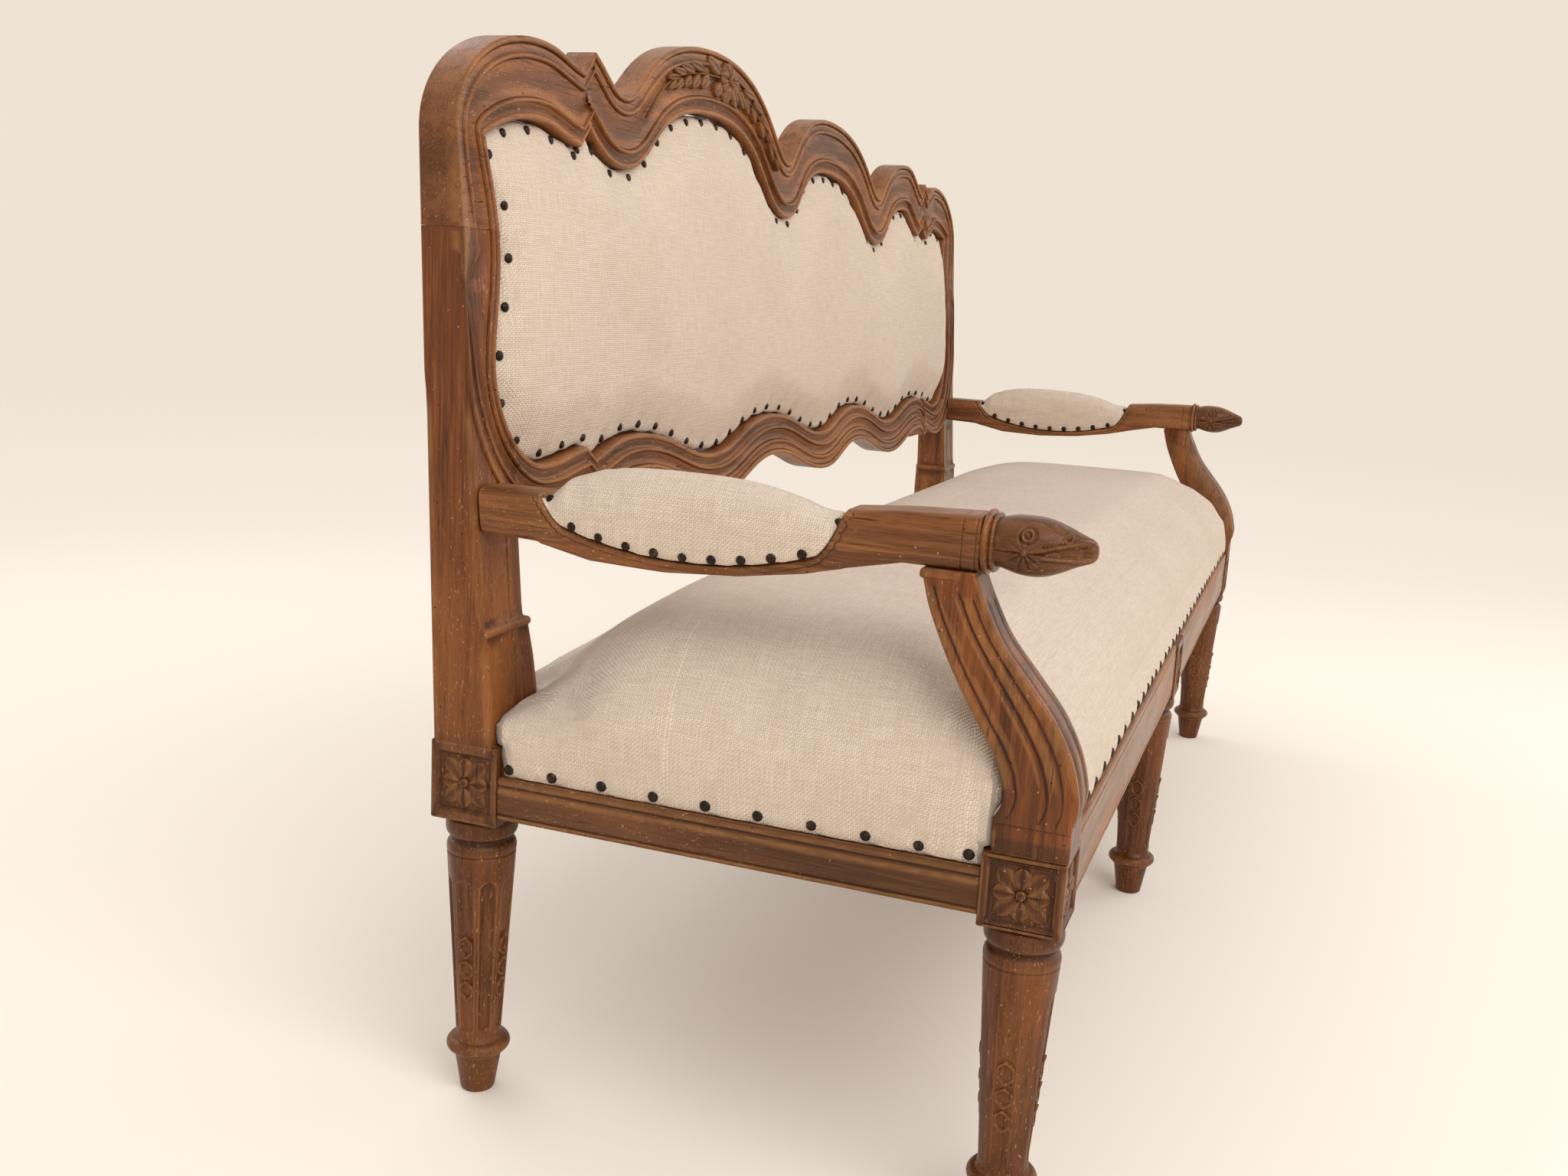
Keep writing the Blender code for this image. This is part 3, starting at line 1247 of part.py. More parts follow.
def main():
    """Build every piece of the settee."""
    clear_scene()
    wood = finish("carved_wood", (0.262, 0.131, 0.066), 0.55)
    inner_wood = finish("plain_wood", (0.330, 0.205, 0.115), 0.75)
    linen = finish("linen", (0.640, 0.545, 0.430), 0.92)
    jute = finish("jute_webbing", (0.330, 0.235, 0.140), 0.95)

    helper(moulded_ring())
    crest = crest_rail(wood)
    lower_rail = lower_back_rail(wood)
    posts = {}
    fronts = {}
    for word, side in (("left", -1), ("right", 1)):
        posts[side] = back_post(f"back_post_{word}", side, wood)
        front_centre = (side * BLOCK_CENTRE_X, FRONT_BLOCK_Y)
        faces_out = ((side, 0), (0, -1))
        fronts[side] = leg_with_block(f"front_leg_{word}", front_centre, FRONT_BLOCK_HEIGHT, faces_out, wood)
    middle_height = FRONT_SHOW_TOP - LEG_HEIGHT
    fronts[0] = leg_with_block("front_leg_centre", (0.0, FRONT_BLOCK_Y), middle_height, ((0, -1),), wood)
    side_height = SIDE_SHOW_TOP - LEG_HEIGHT
    posts[0] = leg_with_block("back_leg_centre", (0.0, REAR_BLOCK_Y), side_height, (), wood)

    shoulder = BLOCK_SIDE / 2 + CLEAR
    corner_x = HALF_LENGTH - BLOCK_SIDE - CLEAR
    for word, side in (("left", -1), ("right", 1)):
        ends = sorted((side * shoulder, side * corner_x))
        face = FRAME_FRONT + RAIL_INSET
        front = long_rail(f"front_rail_{word}", *ends, face, 1, FRONT_SHOW_TOP, wood)
        tenon_along_x(front, fronts[side], side * corner_x, face, 1, side)
        tenon_along_x(front, fronts[0], side * shoulder, face, 1, -side)
        face = FRAME_REAR - RAIL_INSET
        rear = long_rail(f"back_rail_{word}", *ends, face, -1, SIDE_SHOW_TOP, wood)
        tenon_along_x(rear, posts[side], side * corner_x, face, -1, side)
        tenon_along_x(rear, posts[0], side * shoulder, face, -1, -side)
        cut(rear, post_body(f"back_rail_notch_{word}", side, grow=CLEAR))
        end = end_rail(f"end_rail_{word}", side, wood)
        tenon_along_y(end, fronts[side], FRAME_FRONT + BLOCK_SIDE + CLEAR, side, -1)
        tenon_along_y(end, posts[side], FRAME_REAR - BLOCK_SIDE - CLEAR, side, 1)
        support = arm_support(f"arm_support_{word}", side, material=wood)
        rest = arm(f"arm_{word}", side, wood)
        arm_pad(f"arm_pad_{word}", side, linen)
        upper_joints(side, posts[side], crest, lower_rail)
        arm_joints(side, posts[side], rest, support, fronts[side])
    seat_braces(inner_wood)
    corner_blocks(inner_wood)
    back_upholstery(linen)
    back_ledges(lower_rail, inner_wood)
    webbing(jute)
    seat_cushion(linen)


main()
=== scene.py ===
"""Settee with a scalloped moulded back, fluted legs and linen upholstery.

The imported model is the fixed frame: every piece here stands where its solid stands, in metres, with +Z up
and the sitter facing -Y.
"""

import logging
import math
from dataclasses import dataclass, field
from enum import Enum
from typing import Any, Callable, Optional, Sequence

import bmesh
import bpy
import numpy as np
from mathutils import Matrix, Vector, noise
from mathutils.bvhtree import BVHTree


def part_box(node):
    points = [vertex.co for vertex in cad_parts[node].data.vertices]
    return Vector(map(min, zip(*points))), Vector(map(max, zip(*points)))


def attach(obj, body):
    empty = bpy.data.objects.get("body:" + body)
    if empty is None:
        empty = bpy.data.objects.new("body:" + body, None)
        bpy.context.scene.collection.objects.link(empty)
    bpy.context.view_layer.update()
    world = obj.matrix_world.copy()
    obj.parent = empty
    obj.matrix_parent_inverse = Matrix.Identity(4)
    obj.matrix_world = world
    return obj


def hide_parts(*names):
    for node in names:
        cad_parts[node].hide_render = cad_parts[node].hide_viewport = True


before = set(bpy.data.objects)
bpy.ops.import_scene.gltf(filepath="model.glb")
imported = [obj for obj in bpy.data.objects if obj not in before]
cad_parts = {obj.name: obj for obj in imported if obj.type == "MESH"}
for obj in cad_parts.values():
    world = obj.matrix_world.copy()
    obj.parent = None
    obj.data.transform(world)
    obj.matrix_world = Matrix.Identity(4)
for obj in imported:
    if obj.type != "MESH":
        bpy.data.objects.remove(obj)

LOG = logging.getLogger("settee")
BODY = "root"
Point = tuple[float, float, float]
Flat = tuple[float, float]
Piece = bpy.types.Object
Mesh = bpy.types.Mesh
Material = bpy.types.Material
Tree = bpy.types.NodeTree
Socket = bpy.types.NodeSocket


class Grain(Enum):
    """Axis that the grain of a timber runs along."""

    LENGTHWISE = 0
    FRONT_TO_BACK = 1
    UPRIGHT = 2


class Side(Enum):
    """End of the settee."""

    LEFT = -1
    RIGHT = 1

    @property
    def word(self) -> str:
        """Word used in the names of the pieces."""
        return self.name.lower()


# Finishes


def linear(code: str) -> tuple[float, float, float, float]:
    """Linear colour with an alpha of 1 from an sRGB value such as "#8a5836"."""
    parts = [int(code[i : i + 2], 16) / 255 for i in (1, 3, 5)]
    made = [c / 12.92 if c <= 0.04045 else ((c + 0.055) / 1.055) ** 2.4 for c in parts]
    return (*made, 1.0)


def join(tree: Tree, node: bpy.types.Node, sockets: dict) -> bpy.types.Node:
    """Set inputs of a node, by name or number, to output sockets or constants, and return the node."""
    for key, source in sockets.items():
        if isinstance(source, Socket):
            tree.links.new(source, node.inputs[key])
        else:
            node.inputs[key].default_value = source
    return node


def add_node(tree: Tree, kind: str, sockets: Optional[dict] = None, **settings: Any) -> bpy.types.Node:
    """Add one node with its settings and its linked or constant inputs.

    Args:
        tree: Tree that gets the node.
        kind: Type name of the node.
        sockets: Input name or number to an output socket or a constant.
        settings: Attributes of the node.

    Returns:
        The new node.
    """
    node = tree.nodes.new(kind)
    for key, value in settings.items():
        setattr(node, key, value)
    return join(tree, node, sockets or {})


def reckoned(tree: Tree, value: Any, *steps: tuple) -> Socket:
    """Take a value through steps of reckoning.

    Args:
        tree: Tree that gets the nodes.
        value: First term, a socket or a number.
        steps: For each step its operation and any further terms.

    Returns:
        The result.
    """
    for how, *terms in steps:
        sockets = dict(enumerate((value, *terms)))
        value = add_node(tree, "ShaderNodeMath", sockets, operation=how).outputs[0]
    return value


@dataclass
class Recipe:
    """A material in the making: its tree, its shader and the colours laid over each other so far."""

    name: str
    colour: Any

    def __post_init__(self) -> None:
        """Start the material with its first colour, an sRGB value."""
        self.colour = linear(self.colour)
        self.material = bpy.data.materials.new(self.name)
        self.material.use_nodes = True
        self.tree = self.material.node_tree
        self.shader = self.tree.nodes["Principled BSDF"]
        self.place = add_node(self.tree, "ShaderNodeTexCoord").outputs["Object"]

    def cloudy(self, place: Socket, sizes: Sequence[float], detail: float, twist: float = 0.0) -> Socket:
        """Soft uneven pattern whose features have a real size on each axis.

        Args:
            place: Where it is read.
            sizes: Feature sizes in metres along X, Y and Z.
            detail: Octaves of finer detail.
            twist: How far the pattern is drawn out of line.

        Returns:
            The pattern, about 0.5 on average.
        """
        scale = [1 / size for size in sizes]
        where = add_node(self.tree, "ShaderNodeMapping", {"Vector": place, "Scale": scale}).outputs[0]
        sockets = {"Vector": where, "Scale": 1.0, "Detail": detail, "Distortion": twist}
        return add_node(self.tree, "ShaderNodeTexNoise", sockets).outputs[0]

    def share(self, *rows: tuple) -> Socket:
        """Product of values, each mapped smoothly between two ranges and held at both ends.

        Args:
            rows: For each value its socket, its range and, where it isn't 0 to 1, the range it becomes.

        Returns:
            The product.
        """
        made = None
        for row in rows:
            sockets = dict(zip(("Value", "From Min", "From Max", "To Min", "To Max"), row))
            here = add_node(self.tree, "ShaderNodeMapRange", sockets, interpolation_type="SMOOTHSTEP")
            made = reckoned(self.tree, here.outputs[0], *([("MULTIPLY", made)] if made else []))
        return made

    def lay(self, share: Any, code: str) -> None:
        """Lay an sRGB colour over the colour so far, by a share."""
        sockets = {0: share, 6: self.colour, 7: linear(code)}
        self.colour = add_node(self.tree, "ShaderNodeMix", sockets, data_type="RGBA").outputs[2]

    def joined(self, values: dict, height: Any = None, strength: float = 0.0, depth: float = 0.0) -> Material:
        """Join everything to the shader.

        Args:
            values: Shader inputs besides colour and normal.
            height: Height of the bump, or nothing for a plain surface.
            strength: Strength of the bump.
            depth: Its depth in metres.

        Returns:
            The finished material.
        """
        if height:
            sockets = {"Height": height, "Strength": strength, "Distance": depth}
            values["Normal"] = add_node(self.tree, "ShaderNodeBump", sockets).outputs[0]
        join(self.tree, self.shader, {"Base Color": self.colour, **values})
        return self.material


@dataclass(frozen=True)
class WaxedWood:
    """Old walnut, carved by hand, stained and waxed.

    Gives the eye long red-brown streaks, dark wax in the quirks that also stands as painted shade in the
    recesses, arrises rubbed paler by wear and painted paler as a highlight, small worm holes and pale nicks.
    """

    name: str
    grain: Grain
    body: str
    streak: str
    pale: str
    wax: str = "#2c160a"
    # Paler colour of the ridges: wear, and painted highlight along the arrises.
    rubbed: str = "#a5713f"
    fleck: str = "#bd8f62"
    dull: Flat = (0.28, 0.46)

    def build(self) -> Material:
        """Build the material from patterns along the grain."""
        made = Recipe(self.name, self.streak)
        tree = made.tree

        def pattern(along: float, across: float, detail: float, twist: float = 0.0) -> Socket:
            """Pattern with a feature size in metres along the grain and one across it."""
            sizes = [across] * 3
            sizes[self.grain.value] = along
            return made.cloudy(made.place, sizes, detail, twist)

        def dots(spacing: float, radius: float) -> tuple[Socket, float, float]:
            """Round marks scattered about a spacing apart, as one row of a share."""
            sockets = {"Vector": made.place, "Scale": (1 / spacing,) * 3}
            where = add_node(tree, "ShaderNodeMapping", sockets).outputs[0]
            cells = add_node(tree, "ShaderNodeTexVoronoi", {"Vector": where, "Scale": 1.0})
            return (cells.outputs["Distance"], radius / spacing, 0.5 * radius / spacing)

        # Real pores are 0.2 mm wide and real fibres finer still. Both are drawn coarser, so that they show.
        fibre = pattern(0.07, 0.0024, 3.0)
        pores = pattern(0.016, 0.0011, 2.0)
        cloud = pattern(0.3, 0.07, 3.0)
        patch = pattern(0.16, 0.05, 3.0)
        tone = pattern(0.2, 0.11, 2.0)
        nicks = pattern(0.016, 0.009, 3.0)
        attributes = (add_node(tree, "ShaderNodeAttribute", attribute_name=n) for n in ("relief", "stain_and_shade"))
        relief_here, stain_and_shade = (node.outputs["Fac"] for node in attributes)
        made.lay(made.share((pattern(0.36, 0.016, 4.0, 0.6), 0.36, 0.64)), self.body)
        for value, low, high, most, code in (
            (fibre, 0.45, 0.72, 0.4, self.pale),
            (cloud, 0.48, 0.7, 0.5, self.pale),
            (patch, 0.56, 0.3, 0.42, self.streak),
            (tone, 0.44, 0.62, 0.34, self.streak),
            (pores, 0.44, 0.3, 0.4, self.wax),
        ):
            made.lay(made.share((value, low, high, 0.0, most)), code)
        # Dark wax in the hollows: partly real wax, partly painted shade in the recesses.
        hollow = made.share((relief_here, 0.1, 0.8, 0.0, 0.72))
        hole = made.share(dots(0.016, 0.0013), (patch, 0.42, 0.52))
        crack = made.share((pattern(0.055, 0.0022, 2.0, 0.4), 0.66, 0.73, 0.0, 0.75), (tone, 0.4, 0.5))
        speck = made.share(dots(0.0105, 0.0012), (nicks, 0.45, 0.58))
        scratch = made.share((pattern(0.006, 0.0016, 2.0, 0.6), 0.645, 0.725), (cloud, 0.4, 0.54))
        # Stain on the blocks, the arm heads, the lower legs and the ends of the crest, and painted shade over
        # the carved spray.
        made.lay(stain_and_shade, self.wax)
        made.lay(hollow, self.wax)
        # Ridges rubbed paler by wear and painted paler as a highlight on every arris.
        made.lay(made.share((relief_here, -0.3, -0.9), (nicks, 0.3, 0.62, 0.22, 0.42)), self.rubbed)
        made.lay(hole, self.wax)
        made.lay(crack, self.wax)
        made.lay(reckoned(tree, speck, ("MAXIMUM", scratch), ("MULTIPLY", 0.68)), self.fleck)

        shine = reckoned(tree, hollow, ("MULTIPLY_ADD", 0.25, made.share((cloud, 0.35, 0.7, *self.dull))))
        dents = reckoned(tree, pattern(0.03, 0.016, 2.0), ("MULTIPLY", 1.4))
        height = reckoned(tree, fibre, ("MULTIPLY_ADD", 0.5, dents))
        height = reckoned(tree, pores, ("MULTIPLY_ADD", 0.3, height))
        height = reckoned(tree, height, ("SUBTRACT", reckoned(tree, hole, ("MAXIMUM", crack))))
        return made.joined({"Roughness": shine, "Specular IOR Level": 0.25}, height, 0.6, 0.0012)


@dataclass(frozen=True)
class BareBeech:
    """Sawn beech inside the seat, never stained. Gives the eye a flat dusty brown with saw lines."""

    name: str = "bare_beech"
    body: str = "#9a7552"
    dark: str = "#6d4d31"

    def build(self) -> Material:
        """Build the material, with saw lines drawn 3.5 mm apart, twice as coarse as real ones."""
        made = Recipe(self.name, self.dark)
        streaks = made.cloudy(made.place, (1 / 9, 1 / 140, 1 / 140), 4.0)
        made.lay(made.share((streaks, 0.35, 0.65)), self.body)
        sockets = {"Vector": made.place, "Scale": 90.0, "Distortion": 3.0}
        saw = add_node(made.tree, "ShaderNodeTexWave", sockets).outputs[1]
        return made.joined({"Roughness": 0.8}, saw, 0.3, 0.0004)


@dataclass(frozen=True)
class WovenCloth:
    """Plain-woven cloth of spun flax or jute, undyed.

    Gives the eye crossing threads with thick and thin places. The thread pitch is drawn coarser than the
    real one, which is too fine to show in the render.
    """

    name: str
    body: str = "#e0cbb6"
    shade: str = "#c0a68e"
    light: str = "#f1e5d5"
    pitch: float = 0.0021
    depth: float = 0.0008
    from_map: bool = True

    def build(self) -> Material:
        """Build the material, on the thread map of the cloth or on its place."""
        made = Recipe(self.name, self.shade)
        tree = made.tree
        place = add_node(tree, "ShaderNodeUVMap", uv_map="Weave").outputs[0] if self.from_map else made.place
        cells = {0: place, 1: (1 / self.pitch,) * 3}
        cells = add_node(tree, "ShaderNodeVectorMath", cells, operation="MULTIPLY").outputs[0]
        run, rise, _ = add_node(tree, "ShaderNodeSeparateXYZ", {0: cells}).outputs
        row = reckoned(tree, rise, ("FLOOR",))
        over = reckoned(tree, run, ("FLOOR",), ("ADD", row), ("PINGPONG", 1.0))
        arch = (("MULTIPLY", math.pi), ("SINE",), ("ABSOLUTE",))
        threads = [reckoned(tree, way, *arch) for way in (run, rise)]
        sizes = ((self.pitch, 0.03, 1.0), (0.034, self.pitch, 1.0))
        slubs = [made.cloudy(place, size, 2.0) for size in sizes]
        pairs = (threads, slubs)
        weave, slub = (add_node(tree, "ShaderNodeMix", {0: over, 2: a, 3: b}).outputs[0] for a, b in pairs)
        cloud = made.cloudy(place, (0.2, 0.2, 0.2), 3.0)
        made.lay(made.share((slub, 0.32, 0.68)), self.light)
        made.lay(0.62, self.body)
        made.lay(made.share((weave, 0.0, 0.7, 0.55, 0.0)), self.shade)
        made.lay(made.share((cloud, 0.4, 0.75, 0.0, 0.18)), self.shade)
        height = reckoned(tree, slub, ("MULTIPLY_ADD", 0.8, weave))
        values = {"Roughness": 0.93, "Specular IOR Level": 0.12, "Sheen Weight": 0.18, "Sheen Roughness": 0.5}
        return made.joined(values, height, 0.8, self.depth)


@dataclass(frozen=True)
class BlackenedNail:
    """Domed nail of blackened iron, waxed over. Gives the eye a near-black bead with one soft light."""

    name: str = "blackened_iron"
    body: str = "#241a14"
    rubbed: str = "#5b4636"

    def build(self) -> Material:
        """Build the material, with rubbed spots of about 6 mm."""
        made = Recipe(self.name, self.body)
        spots = made.cloudy(made.place, (0.00625,) * 3, 3.0)
        made.lay(made.share((spots, 0.5, 0.72, 0.0, 0.6)), self.rubbed)
        return made.joined({"Roughness": made.share((spots, 0.3, 0.7, 0.3, 0.55)), "Metallic": 0.7})


# Forms


@dataclass
class Form:
    """Points and faces of one piece, gathered before they become a mesh."""

    points: list[Point] = field(default_factory=list)
    faces: list[tuple[int, ...]] = field(default_factory=list)

    def skin(self, rings: Sequence[Sequence[Point]], ring_path: bool = False, caps: bool = True) -> "Form":
        """Skin equal closed rings of points.

        Args:
            rings: Rings in order.
            ring_path: Whether the last ring joins the first.
            caps: Whether both ends of an open path get a flat face.

        Returns:
            The form itself.
        """
        start = len(self.points)
        count = len(rings[0])
        for ring in rings:
            self.points += [tuple(p) for p in ring]
        steps = len(rings) if ring_path else len(rings) - 1
        for i in range(steps):
            low = start + i * count
            high = start + (i + 1) % len(rings) * count
            for j in range(count):
                k = (j + 1) % count
                self.faces.append((low + j, low + k, high + k, high + j))
        if caps and not ring_path:
            last = start + (len(rings) - 1) * count
            self.faces.append(tuple(reversed(range(start, start + count))))
            self.faces.append(tuple(range(last, last + count)))
        return self

    def dome(self, rings: Sequence[Sequence[Point]], tip: Point) -> "Form":
        """Skin rings that close to one point.

        Args:
            rings: Rings in order, the first of which gets a flat face.
            tip: Point that closes the last ring.

        Returns:
            The form itself.
        """
        start = len(self.points)
        count = len(rings[0])
        self.skin(rings, caps=False)
        self.faces.append(tuple(reversed(range(start, start + count))))
        last = start + (len(rings) - 1) * count
        self.points.append(tuple(tip))
        top = len(self.points) - 1
        self.faces += [(last + j, last + (j + 1) % count, top) for j in range(count)]
        return self

    def build(self, name: str, finish: Material, sharp: float = 50.0) -> Piece:
        """Make the mesh object.

        Args:
            name: Name of the piece.
            finish: Its material.
            sharp: Angle in degrees over which an edge stays crisp.

        Returns:
            The object, not yet dressed.
        """
        mesh = bpy.data.meshes.new(name)
        mesh.from_pydata(self.points, [], self.faces)
        work = bmesh.new()
        work.from_mesh(mesh)
        bmesh.ops.recalc_face_normals(work, faces=work.faces)
        work.to_mesh(mesh)
        work.free()
        return put(name, mesh, finish, sharp)

    def carve(self, name: str, wood: Material, sharp: float) -> Piece:
        """Make the mesh object of a carved timber and dress it."""
        return finished(self.build(name, wood, sharp), "carved_wood", name)


def put(name: str, mesh: Mesh, finish: Material, sharp: float = 50.0) -> Piece:
    """Link a mesh as a smoothly shaded piece.

    Args:
        name: Name of the piece.
        mesh: Its mesh.
        finish: Its material.
        sharp: Angle in degrees over which an edge stays crisp.

    Returns:
        The object, not yet dressed.
    """
    mesh.shade_smooth()
    mesh.set_sharp_from_angle(angle=math.radians(sharp))
    mesh.materials.clear()
    mesh.materials.append(finish)
    return linked(name, mesh)


def linked(name: str, data: Any) -> Piece:
    """New object in the scene."""
    made = bpy.data.objects.new(name, data)
    bpy.context.scene.collection.objects.link(made)
    return made


def coordinates(mesh: Mesh, kind: str = "co") -> np.ndarray:
    """Points of a mesh, or its normals, as rows."""
    values = np.zeros(len(mesh.vertices) * 3)
    mesh.vertices.foreach_get(kind, values)
    return values.reshape(-1, 3)


def softened(
    mesh: Mesh, near: float, rounds: int, strength: Any = 0.5, values: Optional[np.ndarray] = None,
) -> np.ndarray:
    """Points of a mesh, or other rows of values on them, drawn towards their neighbours.

    Args:
        mesh: Mesh that is read.
        near: Length in metres over which neighbours still count.
        rounds: Rounds of softening.
        strength: Share of each step that a point takes, one for all or one for each.
        values: Rows softened in place of the points.

    Returns:
        The softened rows. A point with only far neighbours stays.
    """
    points = coordinates(mesh)
    count = len(points)
    pairs = np.zeros(len(mesh.edges) * 2, dtype=np.int64)
    mesh.edges.foreach_get("vertices", pairs)
    a, b = pairs.reshape(-1, 2).T
    length = np.linalg.norm(points[a] - points[b], axis=1)
    weight = np.exp(-((length / near) ** 2)) / np.maximum(length, 2e-4)
    total = np.bincount(a, weight, count) + np.bincount(b, weight, count)
    step = (np.where(total < 1.0, 0.0, 1.0) * strength)[:, None]
    total = np.maximum(total, 1e-9)
    points = points if values is None else values
    for _ in range(rounds):
        made = np.empty_like(points)
        for axis in range(3):
            column = points[:, axis]
            given = np.bincount(a, weight * column[b], count) + np.bincount(b, weight * column[a], count)
            made[:, axis] = given / total
        points = points + (made - points) * step
    return points


def relief(piece: Piece, reach: float = 0.0008) -> None:
    """Store two values for the wood of a piece: its relief and its stain_and_shade value.

    The relief is how far a point lies below (above 0) or above (below 0) its surroundings. The
    stain_and_shade value is a darker stain on the carved blocks, on the heads of the arms, on the legs below
    their blocks and on the ends of the crest. The carved spray on the crest later gets painted shade in it,
    standing for the shadows between its leaves.

    Args:
        piece: Piece that gets them.
        reach: Height in metres that counts as 1.
    """
    mesh = piece.data
    points = coordinates(mesh)
    height = ((softened(mesh, 0.0018, 6) - points) * coordinates(mesh, "normal")).sum(axis=1)
    x, y, z = np.abs(points[:, 0]), points[:, 1], points[:, 2]
    ends = (x > SIZES.half - SIZES.block - 0.0001) | (x < 0.0372)
    block = (z > SIZES.leg - 0.03) & (z < SIZES.start + 0.0002) & ends
    head = (z > 0.56) & (y < SIZES.front + 0.088)
    crest_side = (z > SIZES.level(0.557)) * np.clip((x - SIZES.half + 0.012) / 0.006, 0, 1)
    stain_and_shade = 0.5 * block + 0.46 * head + 0.22 * (z < SIZES.leg - 0.03) + 0.26 * crest_side
    for name, values in (("relief", np.clip(height / reach, -1, 1)), ("stain_and_shade", stain_and_shade)):
        layer = mesh.attributes.new(name, "FLOAT", "POINT")
        layer.data.foreach_set("value", values.astype(np.float32))


def paint_shade_from(piece: Piece, first: int, share: float) -> None:
    """Set the stain_and_shade value of the points of a piece from one index on, as painted shade over a
    carving.
    """
    layer = piece.data.attributes["stain_and_shade"].data
    for index in range(first, len(layer)):
        layer[index].value = share


def turned(count: int) -> list[float]:
    """Angles of a full turn in equal steps."""
    return [math.tau * i / count for i in range(count)]


def wander(point: Sequence[float], size: float, amount: float, seed: float = 0.0) -> float:
    """Smooth seeded unevenness at a point.

    Args:
        point: Place.
        size: Length of one undulation in metres.
        amount: Greatest height.
        seed: Shift of the pattern.

    Returns:
        Height between -amount and +amount.
    """
    place = Vector((point[0] / size + seed, point[1] / size - seed, point[2] / size))
    return amount * noise.noise(place)


def through(rows: Sequence[Sequence[float]], steps: int) -> list[tuple[float, ...]]:
    """Smooth curve through rows of equal length.

    Args:
        rows: Rows that it passes.
        steps: Steps between two rows.

    Returns:
        Rows of the curve, with both ends.
    """
    made = []
    padded = [rows[0], *rows, rows[-1]]
    for i in range(1, len(rows)):
        p, a, b, n = (np.array(padded[j], float) for j in (i - 1, i, i + 1, i + 2))
        for step in range(steps):
            t = step / steps
            curve = 2 * a + (b - p) * t + (2 * p - 5 * a + 4 * b - n) * t**2 + (3 * a - p - 3 * b + n) * t**3
            made.append(tuple(curve / 2))
    made.append(tuple(float(v) for v in rows[-1]))
    return made


def rounded(corners: Sequence[Flat], radius: float, steps: int = 3, guard: float = 0.003) -> list[Flat]:
    """Closed flat outline with rounded corners.

    Args:
        corners: Corners in order.
        radius: Radius, made smaller on short sides.
        steps: Points on each corner less one.
        guard: Distance from each rounding to the added points that keep the flat flat.

    Returns:
        The rounded outline.
    """
    made = []
    count = len(corners)
    for i in range(count):
        before, here, after = (Vector(corners[j % count]) for j in (i - 1, i, i + 1))
        first, second = before - here, after - here
        cut = min(radius, 0.36 * first.length, 0.36 * second.length)
        start = here + first.normalized() * cut
        end = here + second.normalized() * cut
        for near in (2.6, 1.0):
            made.append(tuple(start + first.normalized() * min(near * guard, near * 0.06 * first.length)))
        for step in range(steps + 1):
            t = step / steps
            made.append(tuple((1 - t) ** 2 * start + 2 * t * (1 - t) * here + t * t * end))
        for near in (1.0, 2.6):
            made.append(tuple(end + second.normalized() * min(near * guard, near * 0.06 * second.length)))
    return made


def lengths(path: np.ndarray) -> np.ndarray:
    """Distance of each point of a path from its start, along it."""
    return np.concatenate([[0], np.cumsum(np.linalg.norm(np.diff(path, axis=0), axis=1))])


def oblong(wide: float, high: float, x: float = 0.0, y: float = 0.0) -> list[Flat]:
    """Corners of an oblong of twice a width and height round a middle."""
    return [(x + i * wide, y + j * high) for i, j in ((-1, -1), (1, -1), (1, 1), (-1, 1))]


def evenly(outline: Sequence[Flat], count: int) -> np.ndarray:
    """Points at even distances on a closed flat outline."""
    closed = np.array([*outline, outline[0]])
    way = lengths(closed)
    places = np.arange(count) * way[-1] / count
    return np.stack([np.interp(places, way, closed[:, i]) for i in (0, 1)], axis=1)


def spans(low: float, high: float, step: float) -> list[float]:
    """Even values from low to high, both included, about a step apart."""
    count = max(1, round(abs(high - low) / step))
    return [low + (high - low) * i / count for i in range(count + 1)]


# The back: one moulding that runs round the cloth, parted at its joints


@dataclass
class Frame:
    """Sizes shared by all the pieces, in metres."""

    half: float = 0.9145
    front: float = -0.324522
    rear: float = 0.301478
    leg: float = 0.3
    block: float = 0.074
    block_x: float = 0.8775
    front_y: float = -0.287522
    rear_y: float = 0.264478
    start: float = 0.381
    foot: float = 0.557
    rise: float = 0.562

    def front_plane(self, height: float) -> float:
        """Y of the front plane of the back at a height."""
        return self.rear - 0.067 + 0.081 * (height - self.start)

    def rear_plane(self, height: float) -> float:
        """Y of the rear plane of the back at a height."""
        return self.rear - 0.002 + 0.038 * (height - self.start)

    def level(self, share: float) -> float:
        """Height at a share of the back's rise."""
        return self.foot + share * self.rise

    def place(self, share: Flat) -> Flat:
        """A pair of shares as X and height."""
        return (share[0] * self.half, self.level(share[1]))


SIZES = Frame()


@dataclass
class Station:
    """One section of the moulding: outer edge, direction inwards and width of the face."""

    x: float
    z: float
    inward: Flat
    width: float

    def face(self, distance: float, depth: float) -> Point:
        """Point at a distance from the outer edge and a depth below the front plane."""
        x = self.x + self.inward[0] * distance
        z = self.z + self.inward[1] * distance
        return (x, SIZES.front_plane(z) + depth, z)

    def behind(self, distance: float) -> Point:
        """Point on the rear of the moulding, which is nearer the front along the lower rail."""
        x, front, z = self.face(distance, 0.0)
        rear = SIZES.rear_plane(z)
        if self.inward[1] > 0:
            thin = front + 0.036
            rear = thin + (rear - thin) * self.inward[0] ** 2
        return (x, rear, z)


class Way(Enum):
    """How the edge of the back meets a turning point: which parts of the run its handle follows."""

    LEVEL = (1, 0)
    UPRIGHT = (0, 1)
    CHORD = (1, 1)
    STRAIGHT = (0, 0)


LEVEL, UPRIGHT, CHORD, STRAIGHT = Way


@dataclass(frozen=True)
class Turn:
    """Turning point of the back's outer edge, as shares of its half length and rise, and the way to it."""

    x: float
    z: float
    leave: Way = LEVEL
    arrive: Way = LEVEL
    steps: int = 6
    keep: bool = False


